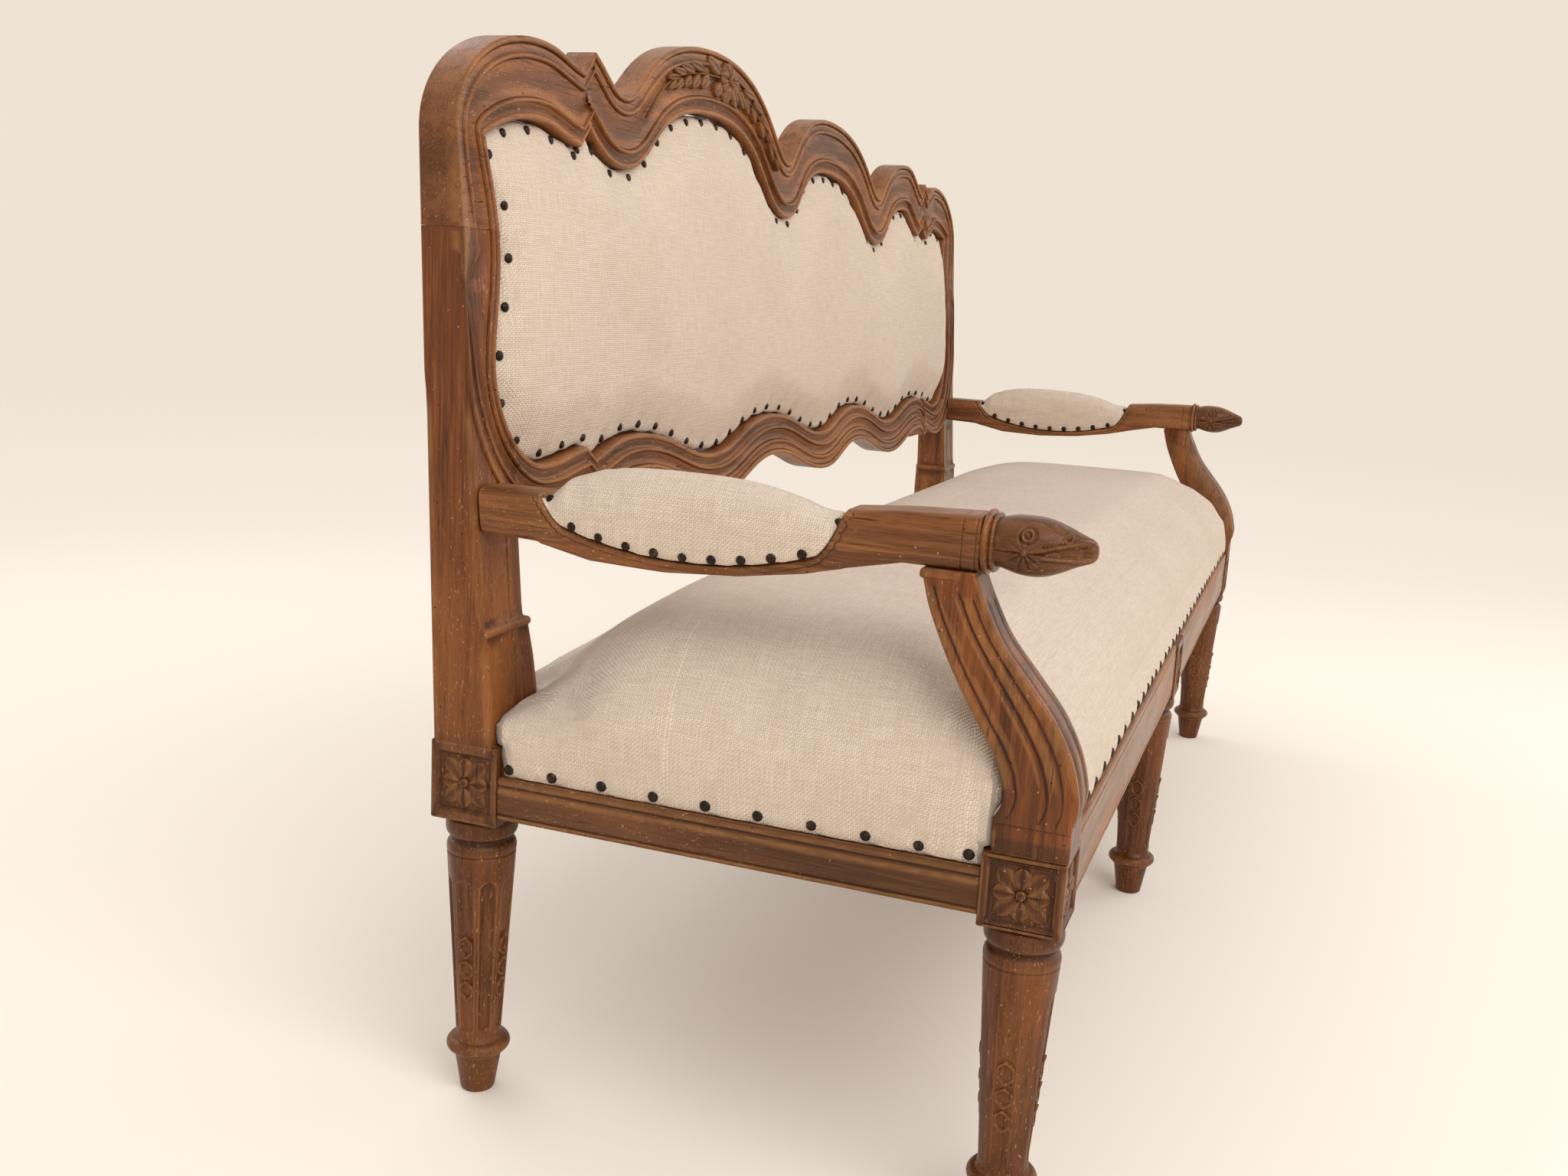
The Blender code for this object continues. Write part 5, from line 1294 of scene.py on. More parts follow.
@dataclass
class CarvedBlock:
    """Square block over a leg: a sunk panel with an eight-petalled flower on each outward face.

    A row of border is (distance in from the block's edge, depth) in millimetres, and a row of sinking is the
    same from the edge of the sunk floor.
    """

    x: float
    y: float
    height: float
    faces_out: tuple = ()
    margin: float = 0.008
    depth: float = 0.0042
    petals: tuple = (0.0272, 0.0335)
    petal_half: float = 0.0092
    ends: tuple = ((0.0, 0.0016), (0.0007, 0.0005), (0.0018, 0.0))
    border: tuple = ((0.4, 4.6), (0.4, 3.0), (0.2, 1.8), (0.5, 0.8), (1.2, 0.2), (2.4, 0.0), (4.2, 0.0))
    sinking: tuple = ((-2.6, 0.0), (-1.2, 0.3), (-0.2, 1.3), (1.0, 3.8), (2.4, 4.2), (8.0, 4.4))
    boss: tuple = ((0.0, 4.4), (3.0, 4.4), (4.2, 4.0), (4.7, 3.0), (4.4, 1.8), (4.0, 1.0))

    def add_to(self, form: Form) -> None:
        """Add the block, let in by the depth of the panels on each outward face, and then its panels."""
        half = SIZES.block / 2
        low = SIZES.leg
        levels = [(low + z, cut) for z, cut in self.ends]
        levels += [(low + self.height - z, cut) for z, cut in reversed(self.ends)]
        rings = []
        for z, cut in levels:
            outline = rounded(oblong(half - cut, half - cut, self.x, self.y), 0.0022, 3)
            rings.append([self.let_in(x, y, z) for x, y in outline])
        form.skin(rings)
        for out in self.faces_out:
            self.panel(form, out)

    def let_in(self, x: float, y: float, z: float) -> Point:
        """Point of the block, moved in where it lies on a face that carries a panel."""
        room = SIZES.block / 2 - self.depth
        for dx, dy in self.faces_out:
            if dx and (x - self.x) * dx > room:
                x = self.x + dx * room
            if dy and (y - self.y) * dy > room:
                y = self.y + dy * room
        return (x, y, z)

    def panel(self, form: Form, out: tuple[int, int]) -> None:
        """Raised border, sunk floor and flower on one face.

        Args:
            form: Form that gets them.
            out: Direction of the face.
        """
        half = SIZES.block / 2
        normal = Vector((*out, 0.0))
        side = Vector((-out[1], out[0], 0.0))
        up = Vector((0, 0, 1))
        middle = Vector((self.x, self.y, SIZES.leg + self.height / 2)) + normal * half
        tall = self.height / 2
        reach = half - self.margin
        reach_up = min(reach, tall - 0.006)
        rings = []
        parts = ((self.border, half, tall, 0.002), (self.sinking, reach, reach_up, 0.003))
        for rows, wide, high, radius in parts:
            for inset, depth in rows:
                centre = middle - normal * (depth / 1000)
                outline = rounded(oblong(wide - inset / 1000, high - inset / 1000), radius, 4)
                rings.append([tuple(centre + side * u + up * v) for u, v in outline])
        form.skin(rings)
        base = middle - normal * (self.depth + 0.0003)
        squeeze = min(1.0, reach_up / reach)
        for index in range(8):
            turn = math.pi * index / 4
            way = side * math.cos(turn) + up * math.sin(turn) * squeeze
            lift = 0.0026 + 0.0018 * (index % 2 == 0)
            tip = base + way * self.petals[index % 2]
            leaf(form, base + way * 0.003, tip, normal, self.petal_half, lift, 0.56)
        rings = []
        for lift, radius in self.boss:
            centre = base + normal * (lift / 1000)
            ways = (side * math.cos(a) + up * math.sin(a) for a in turned(20))
            rings.append([tuple(centre + way * (radius / 1000)) for way in ways])
        form.dome(rings, tuple(base + normal * 0.0038))


# Seat frame


@dataclass
class RailSection:
    """Section of a seat rail, as (distance in from its face, height) in metres."""

    show_top: float
    bottom: float = 0.309
    top: float = 0.395
    thick: float = 0.036
    rebate: float = 0.008

    def outline(self) -> list[Flat]:
        """Closed outline with a bead at the top and a groove above the lower arris."""
        top = self.show_top
        low = self.bottom
        groove = low + 0.0052
        face = [
            (0.0016, low), (0.0005, low + 0.0006), (0.0, low + 0.0018), (0.0, groove - 0.001),
            (0.0014, groove - 0.0002), (0.0014, groove + 0.0006), (0.0002, groove + 0.0016),
            (0.0, groove + 0.006),
        ]
        face += [(0.0, z) for z in spans(groove + 0.01, top - 0.013, 0.006)]
        face += [
            (0.0002, top - 0.0098), (0.0016, top - 0.0088), (0.0016, top - 0.008), (0.0003, top - 0.007),
            (0.0, top - 0.0055), (0.0, top - 0.0022), (0.0005, top - 0.0008), (0.0016, top),
            (self.rebate, top),
            (self.rebate, self.top), (self.thick, self.top), (self.thick, low),
        ]
        return face


@dataclass
class SeatFrame:
    """Seat rails, front legs and the middle front and back legs."""

    wood: dict[Grain, Material]
    clear: float = 0.0003
    inset: float = 0.0025
    pedestal: float = 0.0989

    def rail(
        self, name: str, top: float, run: Sequence[float], at: Callable, grain: Grain = Grain.LENGTHWISE,
        uneven: float = 0.0004,
    ) -> None:
        """Build and dress one rail.

        Args:
            name: Name of the piece.
            top: Height of its show-wood edge.
            run: Places along it.
            at: Turns a place along it, a distance in from its face and a height into X and Y.
            grain: Direction of its grain.
            uneven: Depth of the tool marks on its face.
        """
        section = RailSection(top)
        rings = []
        for place in run:
            ring = []
            for distance, z in section.outline():
                if distance < section.rebate:
                    distance += abs(wander((*at(place, distance, z), z), 0.05, uneven))
                ring.append((*at(place, distance, z), z))
            rings.append(ring)
        Form().skin(rings).carve(name, self.wood[grain], 55)

    def build(self) -> None:
        """Build and dress the frame."""
        shoulder = SIZES.block / 2 + self.clear
        corner = SIZES.half - SIZES.block - self.clear
        front_face = SIZES.front + self.inset
        for side in Side:
            ends = sorted((side.value * shoulder, side.value * corner))
            run = spans(*ends, 0.006)
            self.rail(f"front_rail_{side.word}", 0.38, run, lambda x, d, z: (x, front_face + d))
            self.rail(f"back_rail_{side.word}", 0.352, spans(*ends, 0.008), self.behind, uneven=0.0)
            face = side.value * (SIZES.half - self.inset)
            run = spans(SIZES.front + SIZES.block + self.clear, SIZES.rear - SIZES.block - self.clear, 0.006)
            beside = lambda y, d, z, face=face, way=side.value: (face - way * d, y)
            self.rail(f"end_rail_{side.word}", 0.352, run, beside, Grain.FRONT_TO_BACK)
        for side in Side:
            outs = ((side.value, 0), (0, -1))
            self.leg(f"front_leg_{side.word}", side.value * SIZES.block_x, SIZES.front_y, 0.068, outs)
        self.leg("front_leg_centre", 0.0, SIZES.front_y, 0.08, ((0, -1),))
        self.leg("back_leg_centre", 0.0, SIZES.rear_y, 0.052, ())

    def behind(self, x: float, distance: float, z: float) -> Flat:
        """Place on the rear rail, whose upper part keeps clear of the pedestals of the posts."""
        stop = SIZES.half - self.pedestal
        if z > SIZES.start - 0.0106 and abs(x) > stop:
            x = math.copysign(stop, x)
        return (x, SIZES.rear - self.inset - distance)

    def leg(self, name: str, x: float, y: float, high: float, outs: tuple) -> None:
        """Build and dress a leg and its block, in one timber.

        Args:
            name: Name of the piece.
            x: X of its middle.
            y: Y of its middle.
            high: Height of the block.
            outs: Directions of the block's carved faces.
        """
        form = Form()
        flutes = ((0.0018, 0.33), (0.0042, 0.33), (0.0007, 0.24)) if outs else Leg.flutes
        Leg(x, y, flutes=flutes).add_to(form)
        CarvedBlock(x, y, high, outs).add_to(form)
        form.carve(name, self.wood[Grain.UPRIGHT], 50)


# Arms


@dataclass
class ArmSupport:
    """S-shaped support between the front block and the arm, moulded on its outer face."""

    side: Side
    wood: Material
    rows: tuple = (
        (0.1075, 0.0, 0.0, 0.0, 1.0), (0.1075, 0.095, 0.0, 0.095, 1.0),
        (0.1075, 0.118, 0.0, 0.118, 1.0), (0.1075, 0.13, 0.0, 0.13, 1.0),
        (0.099, 0.175, -0.0048, 0.175, 0.98), (0.0975, 0.24, -0.0048, 0.24, 0.96),
        (0.112, 0.35, 0.0075, 0.365, 0.9), (0.149, 0.5, 0.034, 0.5, 0.84),
        (0.185, 0.66, 0.07, 0.62, 0.79), (0.217, 0.84, 0.114, 0.76, 0.76),
        (0.23, 0.95, 0.143, 0.9, 0.74), (0.233, 1.0, 0.16, 1.0, 0.74),
    )
    face_rows: tuple = (
        (0.035, 0.2), (0.08, 0.0), (0.115, 0.1), (0.14, 0.5), (0.157, 1.9), (0.173, 1.9), (0.19, 0.7),
        (0.22, 0.4),
        (0.28, 0.2), (0.35, 0.2), (0.42, 0.3), (0.5, 0.5), (0.545, 0.8), (0.57, 2.2), (0.59, 2.3),
        (0.605, 0.9),
        (0.63, 0.3), (0.68, 0.0), (0.73, 0.1), (0.77, 0.3), (0.79, 1.6), (0.805, 1.6), (0.82, 0.4),
        (0.84, 0.1),
        (0.9, 0.0), (0.955, 0.2),
    )
    front_rows: tuple = (
        (0.16, 0.0), (0.22, 1.0), (0.3, 1.0), (0.36, 0.0), (0.64, 0.0), (0.7, 1.0), (0.78, 1.0), (0.84, 0.0),
    )
    cap_rows: tuple = (
        (-0.0085, 0.0002), (-0.008, 0.001), (-0.0062, 0.0016), (-0.003, 0.0016), (-0.0012, 0.0012),
        (-0.0002, 0.0),
    )
    deep: float = 0.626
    width: float = 0.06
    inset: float = 0.003

    def build(self) -> None:
        """Build and dress the support."""
        foot = SIZES.leg + 0.068 + 0.0003
        top = 0.574 + 0.415 * 0.082 - 0.0006
        way = self.side.value
        outer = way * (SIZES.half - self.inset)
        rings = []
        for rear_y, rear_z, front_y, front_z, thick in through(self.rows, 9):
            ends = ((rear_z - 0.119) / 0.012, (0.96 - rear_z) / 0.02)
            run_in, run_out = (min(1.0, max(0.0, end)) for end in ends)
            line = 0.0011 * math.exp(-(((rear_z - 0.107) / 0.004) ** 2))
            rear, front = (
                Vector((SIZES.front + y * self.deep, foot + max(0.0, min(1.0, z)) * (top - foot)))
                for y, z in ((rear_y, rear_z), (front_y, front_z))
            )
            inner = outer - way * self.width * thick
            ring = [(inner + way * 0.002, *rear), (outer - way * 0.0022, *rear)]
            for share, depth in self.face_rows:
                edge = 0.00008 if 0.02 < share < 0.97 else 0.00048
                sunk = depth / 1000 * (run_in * run_out) + line + edge
                ring.append((outer - way * sunk, *rear.lerp(front, share)))
            ring.append((outer - way * 0.0022, *front))
            for share, depth in self.front_rows:
                back = (rear - front).normalized() * 0.0016 * depth * (run_in * run_out)
                ring.append((outer + (inner - outer) * share, front.x + back.x, front.y + back.y))
            ring.append((inner + way * 0.002, *front))
            ring += [(inner, *front.lerp(rear, share)) for share in (0.04, 0.96)]
            rings.append(ring)
        form = Form().skin(rings)
        self.add_cap(form, outer, top)
        form.carve(f"arm_support_{self.side.word}", self.wood, 60)

    def add_cap(self, form: Form, outer: float, top: float) -> None:
        """Add the small rounded block between the support and the arm.

        Args:
            form: Form of the support.
            outer: X of the support's outer face.
            top: Height of its top.
        """
        low_y, high_y = (SIZES.front + share * self.deep for share in (0.181, 0.2335))
        root = outer - self.side.value * 0.03
        rings = []
        for lift, proud in self.cap_rows:
            face = outer + self.side.value * (proud - 0.0006)
            ends = (low_y - proud, high_y + proud)
            corners = [(face, ends[0]), (face, ends[1]), (root, ends[1]), (root, ends[0])]
            rings.append([(x, y, top + lift) for x, y in rounded(corners, 0.0015, 3)])
        form.skin(rings)


@dataclass
class Arm:
    """Arm with a core for its pad, a ringed collar and a carved fish-like head."""

    side: Side
    wood: Material
    rows: tuple = (
        (0.0, 0.19, 0.72), (0.12, 0.16, 0.72), (0.24, 0.02, 0.74), (0.4, 0.0, 0.78), (0.55, 0.06, 0.82),
        (0.68, 0.18, 0.86), (0.76, 0.29, 0.92), (0.86, 0.415, 0.97), (1.0, 0.415, 1.0),
    )
    low: float = 0.574
    rise: float = 0.082
    width: float = 0.052
    collar_y: float = SIZES.front + 0.0985
    pad: Flat = (0.13, 0.75)
    ring_rows: tuple = (
        (0.0, 25.6, 23.6), (0.8, 27.6, 25.6), (2.0, 29.2, 27.2), (3.6, 29.8, 27.8), (5.2, 29.2, 27.2),
        (6.4, 27.6, 25.6),
        (7.2, 25.0, 23.2), (7.6, 25.0, 23.2), (8.2, 26.6, 24.6), (9.7, 27.5, 25.6), (11.2, 26.6, 24.6),
        (12.0, 24.4, 22.0),
    )
    head_rows: tuple = (
        (12.0, 24.4, 22.0, 20.0), (17.0, 25.4, 23.2, 20.4), (25.0, 27.6, 24.9, 22.6),
        (33.0, 28.8, 25.3, 24.4),
        (41.0, 29.0, 25.2, 25.0), (49.0, 28.2, 24.6, 24.6), (57.0, 26.2, 22.9, 22.9),
        (64.0, 23.6, 20.6, 20.2),
        (71.0, 20.4, 18.0, 17.0), (77.0, 17.4, 15.4, 14.0), (83.0, 14.6, 13.0, 11.6), (88.0, 12.2, 11.0, 9.8),
        (92.0, 9.6, 8.8, 7.8), (94.4, 5.6, 5.0, 4.6),
    )
    head: float = 0.095
    girth: int = 156
    girth_behind: int = 112

    @property
    def middle(self) -> float:
        """Height of the middle line of the collar and the head."""
        return self.low + 0.71 * self.rise

    @property
    def centre(self) -> float:
        """X of the arm's middle."""
        return self.side.value * (SIZES.half - 0.003 - self.width / 2)

    def along(self, share: float) -> float:
        """Y along the arm from the post to the collar."""
        start = SIZES.front_plane(self.low + self.rise / 2) - 0.0003
        return start + share * (self.collar_y - start)

    def line(self, share: float) -> Flat:
        """Underside and top height at a share."""
        rows = np.array(self.rows)
        return tuple(self.low + self.rise * float(np.interp(share, rows[:, 0], rows[:, i])) for i in (1, 2))

    def shelf(self, share: float) -> float:
        """Height of the shelf under the pad."""
        middle = sum(self.pad) / 2
        reach = min(1.0, abs(share - middle) / (self.pad[1] - middle))
        plain = 0.13 + 0.33 * reach**2
        top = (self.line(share)[1] - self.low) / self.rise - 0.02
        return self.low + self.rise * (plain + (top - plain) * max(0.0, (reach - 0.8) / 0.2) ** 2)

    def build(self) -> None:
        """Build and dress the arm."""
        form = Form()
        rings = []
        rim = self.pad_line()
        for share in spans(0.0, 0.95, 0.0034) + spans(0.952, 1.0, 0.0012):
            low, high = self.line(share)
            y = self.along(share)
            inside = self.pad[0] < share < self.pad[1]
            top = self.shelf(share) if inside else high
            half = self.width / 2
            corners = [(-half, low), (half, low), (half, top), (-half, top)]
            outline = evenly(rounded(corners, 0.007 if inside else 0.0105, 6), self.girth_behind)
            ring = [self.scribed(x, y, z, rim) for x, z in outline]
            if share == 0.0:
                ring = [(x, SIZES.front_plane(z) - 0.0003, z) for x, _, z in ring]
            rings.append(ring)
        form.skin(rings)
        core = []
        for share in spans(self.pad[0] + 0.004, self.pad[1] - 0.004, 0.02):
            shelf = self.shelf(share) - 0.004
            corners = [(-0.018, shelf), (0.018, shelf), (0.018, self.low + 0.048), (-0.018, self.low + 0.048)]
            core.append([(self.centre + x, self.along(share), z) for x, z in rounded(corners, 0.003, 2)])
        form.skin(core)
        self.add_head(form)
        form.carve(f"arm_{self.side.word}", self.wood, 60)

    def pad_line(self) -> np.ndarray:
        """Y and height of the edge that the pad's cloth meets on the side of the arm."""
        return np.array([(self.along(s), self.shelf(s)) for s in spans(*self.pad, 0.01)])

    def scribed(self, x: float, y: float, z: float, rim: np.ndarray) -> Point:
        """Point of the arm with the lines cut into it: one along the pad and two before the collar.

        Args:
            x: Distance from the arm's middle.
            y: Y of the point.
            z: Height of the point.
            rim: Edge that the pad's cloth meets.

        Returns:
            The point where it stands on the settee.
        """
        cut = sum(math.exp(-(((y - self.collar_y - away) / 0.0007) ** 2)) for away in (0.0155, 0.0035))
        if abs(x) > 0.44 * self.width:
            gap = float(np.min(np.linalg.norm(rim - (y, z), axis=1)))
            cut += 1.7 * math.exp(-(((gap - 0.0075) / 0.0012) ** 2))
        keep = 1 - 0.0009 * cut / (self.width / 2)
        return (self.centre + x * keep, y, self.middle + (z - self.middle) * keep)

    def add_head(self, form: Form) -> None:
        """Add the collar and the head, with eye, nostril, mouth and incised lines."""
        head = np.array(through(self.head_rows, 5))
        collar = np.array([(*row, row[2]) for row in self.ring_rows])
        rings = []
        for away in spans(0.0, 12.0, 0.4) + spans(12.5, 94.4, 0.75):
            rows = collar if away <= 12.0 else head
            wide, top, foot = (float(np.interp(away, rows[:, 0], rows[:, i])) for i in (1, 2, 3))
            ring = []
            for angle in turned(self.girth):
                across, up = math.cos(angle), math.sin(angle)
                square = (abs(across) ** 2.5 + abs(up) ** 2.5) ** (-1 / 2.5)
                x = wide * across * square
                z = (top if up > 0 else foot) * up * square
                scale = 1 + self.carving(away, z, abs(across) * square) / math.hypot(x, z)
                x, z = self.centre + x * scale / 1000, self.middle + z * scale / 1000
                ring.append((x, self.collar_y - away / 1000, z))
            rings.append(ring)
        form.dome(rings, (self.centre, self.collar_y - self.head, self.middle))

    @staticmethod
    def carving(y: float, z: float, sideways: float) -> float:
        """Height of the carved detail of the head in millimetres, below 0 where it is cut.

        Args:
            y: Distance from the collar in millimetres.
            z: Height over the middle line in millimetres.
            sideways: How far the point faces sideways, 0 to 1.

        Returns:
            The height.
        """
        strength = min(1.0, max(0.0, (sideways - 0.5) / 0.2))
        if y < 12.5 or not strength:
            return 0.0

        def dip(gap: float, width: float) -> float:
            """Bell-shaped share of a cut at a gap from its middle."""
            return math.exp(-((gap / width) ** 2))

        eye = math.hypot(y - 40.0, z - 12.3)
        made = 1.8 * dip(eye - 4.2, 1.1) - 1.8 * dip(eye, 2.6) - 1.5 * dip(eye - 6.8, 1.1)
        if eye < 3.0:
            made += 1.8 * dip((y - 40.0) * 0.7 + (z - 12.3) * 0.7, 0.9)
        nostril = math.hypot(y - 72.0, z - 11.4)
        made += 1.0 * dip(nostril - 3.1, 0.9) - 2.4 * dip(nostril, 1.7)
        flower = math.hypot(y - 37.7, z + 2.7)
        made += 1.6 * dip(flower, 2.0)
        if 3.0 < flower < 19.0:
            turn = math.atan2(z + 2.7, y - 37.7)
            ray = abs((turn * 5 / math.pi + 0.5) % 1 - 0.5) * flower * math.pi / 5
            made -= 1.7 * dip(ray, 0.9) * (1.0 if turn < 0 else 0.6) * min(1.0, (19.0 - flower) / 5)
        made -= 1.5 * dip(z + 3.5, 0.9) * (y < 31)
        if y > 46.0:
            t = (y - 48.0) / 35.0
            upper, lower = -2.2 + 8.5 * t, -3.4 - 1.5 * t
            open_share = 1 / (1 + math.exp((z - upper) / 0.35)) / (1 + math.exp((lower - z) / 0.35))
            made -= open_share * min(6.0, max(0.0, 2.0 + 5.0 * t)) * min(1.0, (96.0 - y) / 12)
            lips = dip(z - upper - 2.0, 1.5) + dip(z - lower + 2.0, 1.5)
            lips -= 1.2 * (dip(z - upper - 4.8, 1.0) + dip(z - lower + 4.8, 1.0))
            made += 1.3 * lips * min(1.0, max(0.0, (y - 46.0) / 8))
        return made * strength


# Upholstery


@dataclass
class Weave:
    """Lays the threads of a cloth along the lines of a stuffed form, in metres.

    Each line is a flat section of the form; a point takes the arc length of the nearest place on it.
    """

    across: Sequence[Flat]
    upward: Sequence[Flat]
    first: tuple[int, int]
    second: tuple[int, int]
    boxed: bool = False

    @staticmethod
    def measure(points: np.ndarray, line: Sequence[Flat]) -> np.ndarray:
        """Arc length of the nearest place on a line.

        Args:
            points: Points in the plane of the line.
            line: Corners of the line.

        Returns:
            One length for each point.
        """
        line = np.array(line, float)
        run = np.diff(line, axis=0)
        length = np.linalg.norm(run, axis=1)
        start = lengths(line)
        best = np.full(len(points), np.inf)
        made = np.zeros(len(points))
        for i, (origin, step) in enumerate(zip(line[:-1], run)):
            t = np.clip(((points - origin) @ step) / length[i] ** 2, 0, 1)
            far = np.linalg.norm(points - origin - t[:, None] * step, axis=1)
            nearer = far < best
            best = np.where(nearer, far, best)
            made = np.where(nearer, start[i] + t * length[i], made)
        return made

    def lay(self, mesh: Mesh) -> None:
        """Write the thread map of a mesh, which turns with the skirt where the form is boxed."""
        points = coordinates(mesh)
        u = self.measure(points[:, list(self.first)], self.across)
        v = self.measure(points[:, list(self.second)], self.upward)
        if self.boxed:
            end, front, _ = (coordinates(mesh, "normal") ** 2).T
            total = end + front + 0.02
            points[:, 2] = 0.53
            u += (self.measure(points[:, list(self.first)], self.across) - u) * front / total
            v += (self.measure(points[:, list(self.second)], self.upward) - v) * end / total
        corners = np.zeros(len(mesh.loops), dtype=np.int64)
        mesh.loops.foreach_get("vertex_index", corners)
        layer = mesh.uv_layers.new(name="Weave")
        layer.data.foreach_set("uv", np.stack([u[corners], v[corners]], axis=1).ravel().astype(np.float32))


def settle(piece: Piece) -> Piece:
    """Apply all modifiers of a piece, leaving a plain mesh."""
    graph = bpy.context.evaluated_depsgraph_get()
    mesh = bpy.data.meshes.new_from_object(piece.evaluated_get(graph))
    piece.modifiers.clear()
    piece.data = mesh
    return piece


def block_mesh(form: Mesh, low: Point, high: Point) -> None:
    """Join a plain box to a mesh.

    Args:
        form: Mesh that gets it.
        low: Lowest corner of the box.
        high: Highest corner.
    """
    work = bmesh.new()
    work.from_mesh(form)
    low, high = Vector(low), Vector(high)
    size = Matrix.Diagonal((*(high - low), 1))
    bmesh.ops.create_cube(work, size=1.0, matrix=Matrix.Translation((low + high) / 2) @ size)
    work.to_mesh(form)
    work.free()


def crisp(points: np.ndarray, axis: int, target: float, chosen: np.ndarray, near: float = 0.004) -> None:
    """Draw the points of a rounded rim out to the plane where the rim ends, in place.

    Args:
        points: Points of the cloth.
        axis: Axis across the plane.
        target: Place of the plane on that axis.
        chosen: Which points belong to the rim.
        near: Distance within which a point reaches the plane.
    """
    gap = points[:, axis] - target
    close = chosen & (np.abs(gap) < 2 * near)
    points[close, axis] = target + np.sign(gap[close]) * np.maximum(0, 2 * (np.abs(gap[close]) - near))


def cut_box(piece: Piece, low: Point, high: Point) -> None:
    """Cut a plain box from a piece.

    Args:
        piece: Piece that is cut.
        low: Lowest corner of the box.
        high: Highest corner.
    """
    mesh = bpy.data.meshes.new("cutter")
    block_mesh(mesh, low, high)
    cutter = linked("cutter", mesh)
    modifier = piece.modifiers.new("cut", "BOOLEAN")
    modifier.operation = "DIFFERENCE"
    modifier.solver = "EXACT"
    modifier.object = cutter
    settle(piece)
    bpy.data.objects.remove(cutter)


@dataclass
class Stuffed:
    """A stuffed form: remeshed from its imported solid, filled by a cloth run and drawn in by its nails.

    It is held where pinned gives 1, and softened and fitted where it has rules for that. Boxes in filled
    close the solid before the run, and boxes in emptied are cut from the finished form.
    """

    name: str
    cloth: Material
    weave: Weave
    voxel: float
    pinned: Callable[[np.ndarray, np.ndarray], np.ndarray]
    most: float
    pressure: float = 4.0
    frames: int = 20
    filled: tuple = ()
    emptied: tuple = ()
    smooth: Optional[Callable[[np.ndarray], np.ndarray]] = None
    fit: Optional[Callable[[np.ndarray], np.ndarray]] = None

    def build(self, nails: np.ndarray, pull: float = 0.0026, reach: float = 0.011) -> Piece:
        """Build and dress the form.

        Args:
            nails: Places of the nails that hold the cloth.
            pull: How deep each nail draws the cloth in.
            reach: Radius of the dimple round a nail.

        Returns:
            The finished piece.
        """
        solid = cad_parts[self.name].data.copy()
        for low, high in self.filled:
            block_mesh(solid, low, high)
        piece = linked(self.name + "_cover", solid)
        remesh = piece.modifiers.new("remesh", "REMESH")
        remesh.mode = "VOXEL"
        remesh.voxel_size = self.voxel
        settle(piece)
        if self.smooth:
            self.place(piece, softened(piece.data, 0.02, 40, self.smooth(coordinates(piece.data))))
        start = softened(piece.data, 0.02, 3)
        self.place(piece, start)
        self.inflate(piece, start)
        self.dimple(piece, nails, pull, reach)
        if self.fit:
            self.place(piece, self.fit(coordinates(piece.data)))
        for low, high in self.emptied:
            cut_box(piece, low, high)
        self.weave.lay(piece.data)
        piece.data.shade_smooth()
        piece.data.set_sharp_from_angle(angle=math.radians(75))
        piece.data.materials.clear()
        piece.data.materials.append(self.cloth)
        made = finished(piece, "linen", self.name)
        return made

    @staticmethod
    def place(piece: Piece, points: np.ndarray) -> None:
        """Move the points of a piece."""
        piece.data.vertices.foreach_set("co", points.ravel())
        piece.data.update()

    def inflate(self, piece: Piece, start: np.ndarray) -> None:
        """Fill the form with a short cloth run, held at its pinned points and capped in travel.

        Args:
            piece: Form that is filled.
            start: Its points before the run.
        """
        held = self.pinned(start, coordinates(piece.data, "normal"))
        group = piece.vertex_groups.new(name="held")
        for level in (0.25, 0.5, 0.75, 1.0):
            chosen = np.nonzero(np.isclose(np.round(held * 4) / 4, level))[0]
            group.add([int(i) for i in chosen], level, "REPLACE")
        cloth = piece.modifiers.new("cloth", "CLOTH")
        for key, value in {
            "quality": 4, "mass": 0.3, "tension_stiffness": 12.0, "compression_stiffness": 12.0,
            "shear_stiffness": 6.0, "bending_stiffness": 0.8, "use_pressure": True, "shrink_min": -0.02,
            "uniform_pressure_force": self.pressure, "vertex_group_mass": "held",
        }.items():
            setattr(cloth.settings, key, value)
        cloth.settings.effector_weights.gravity = 0.0
        scene = bpy.context.scene
        for clock in (scene, cloth.point_cache):
            clock.frame_start = 1
            clock.frame_end = self.frames
        for step in range(1, self.frames + 1):
            scene.frame_set(step)
        settle(piece)
        scene.frame_set(1)
        travel = softened(piece.data, 0.02, 16, 0.5 * (1 - held), coordinates(piece.data) - start)
        far = np.linalg.norm(travel, axis=1, keepdims=True)
        kept = start + travel * np.minimum(1.0, self.most / np.maximum(far, 1e-9))
        mean, most = far.mean() * 1000, far.max() * 1000
        LOG.info("%s: cloth travel %.1f mm mean, %.1f mm most", self.name, mean, most)
        self.place(piece, kept)

    def dimple(self, piece: Piece, nails: np.ndarray, pull: float, reach: float) -> None:
        """Draw the cloth in round each nail, with a soft crease running off it.

        Args:
            piece: Form that is drawn in.
            nails: Places of the nails.
            pull: How deep each draws the cloth in.
            reach: Radius of the dimple.
        """
        if not len(nails):
            return
        points = coordinates(piece.data)
        depth = np.zeros(len(points))
        for nail in nails:
            away = np.linalg.norm(points - nail, axis=1)
            dip = np.exp(-((away / reach) ** 2)) + 0.25 * np.exp(-((away / (3 * reach)) ** 2))
            depth = np.maximum(depth, pull * dip)
        self.place(piece, points - coordinates(piece.data, "normal") * depth[:, None])


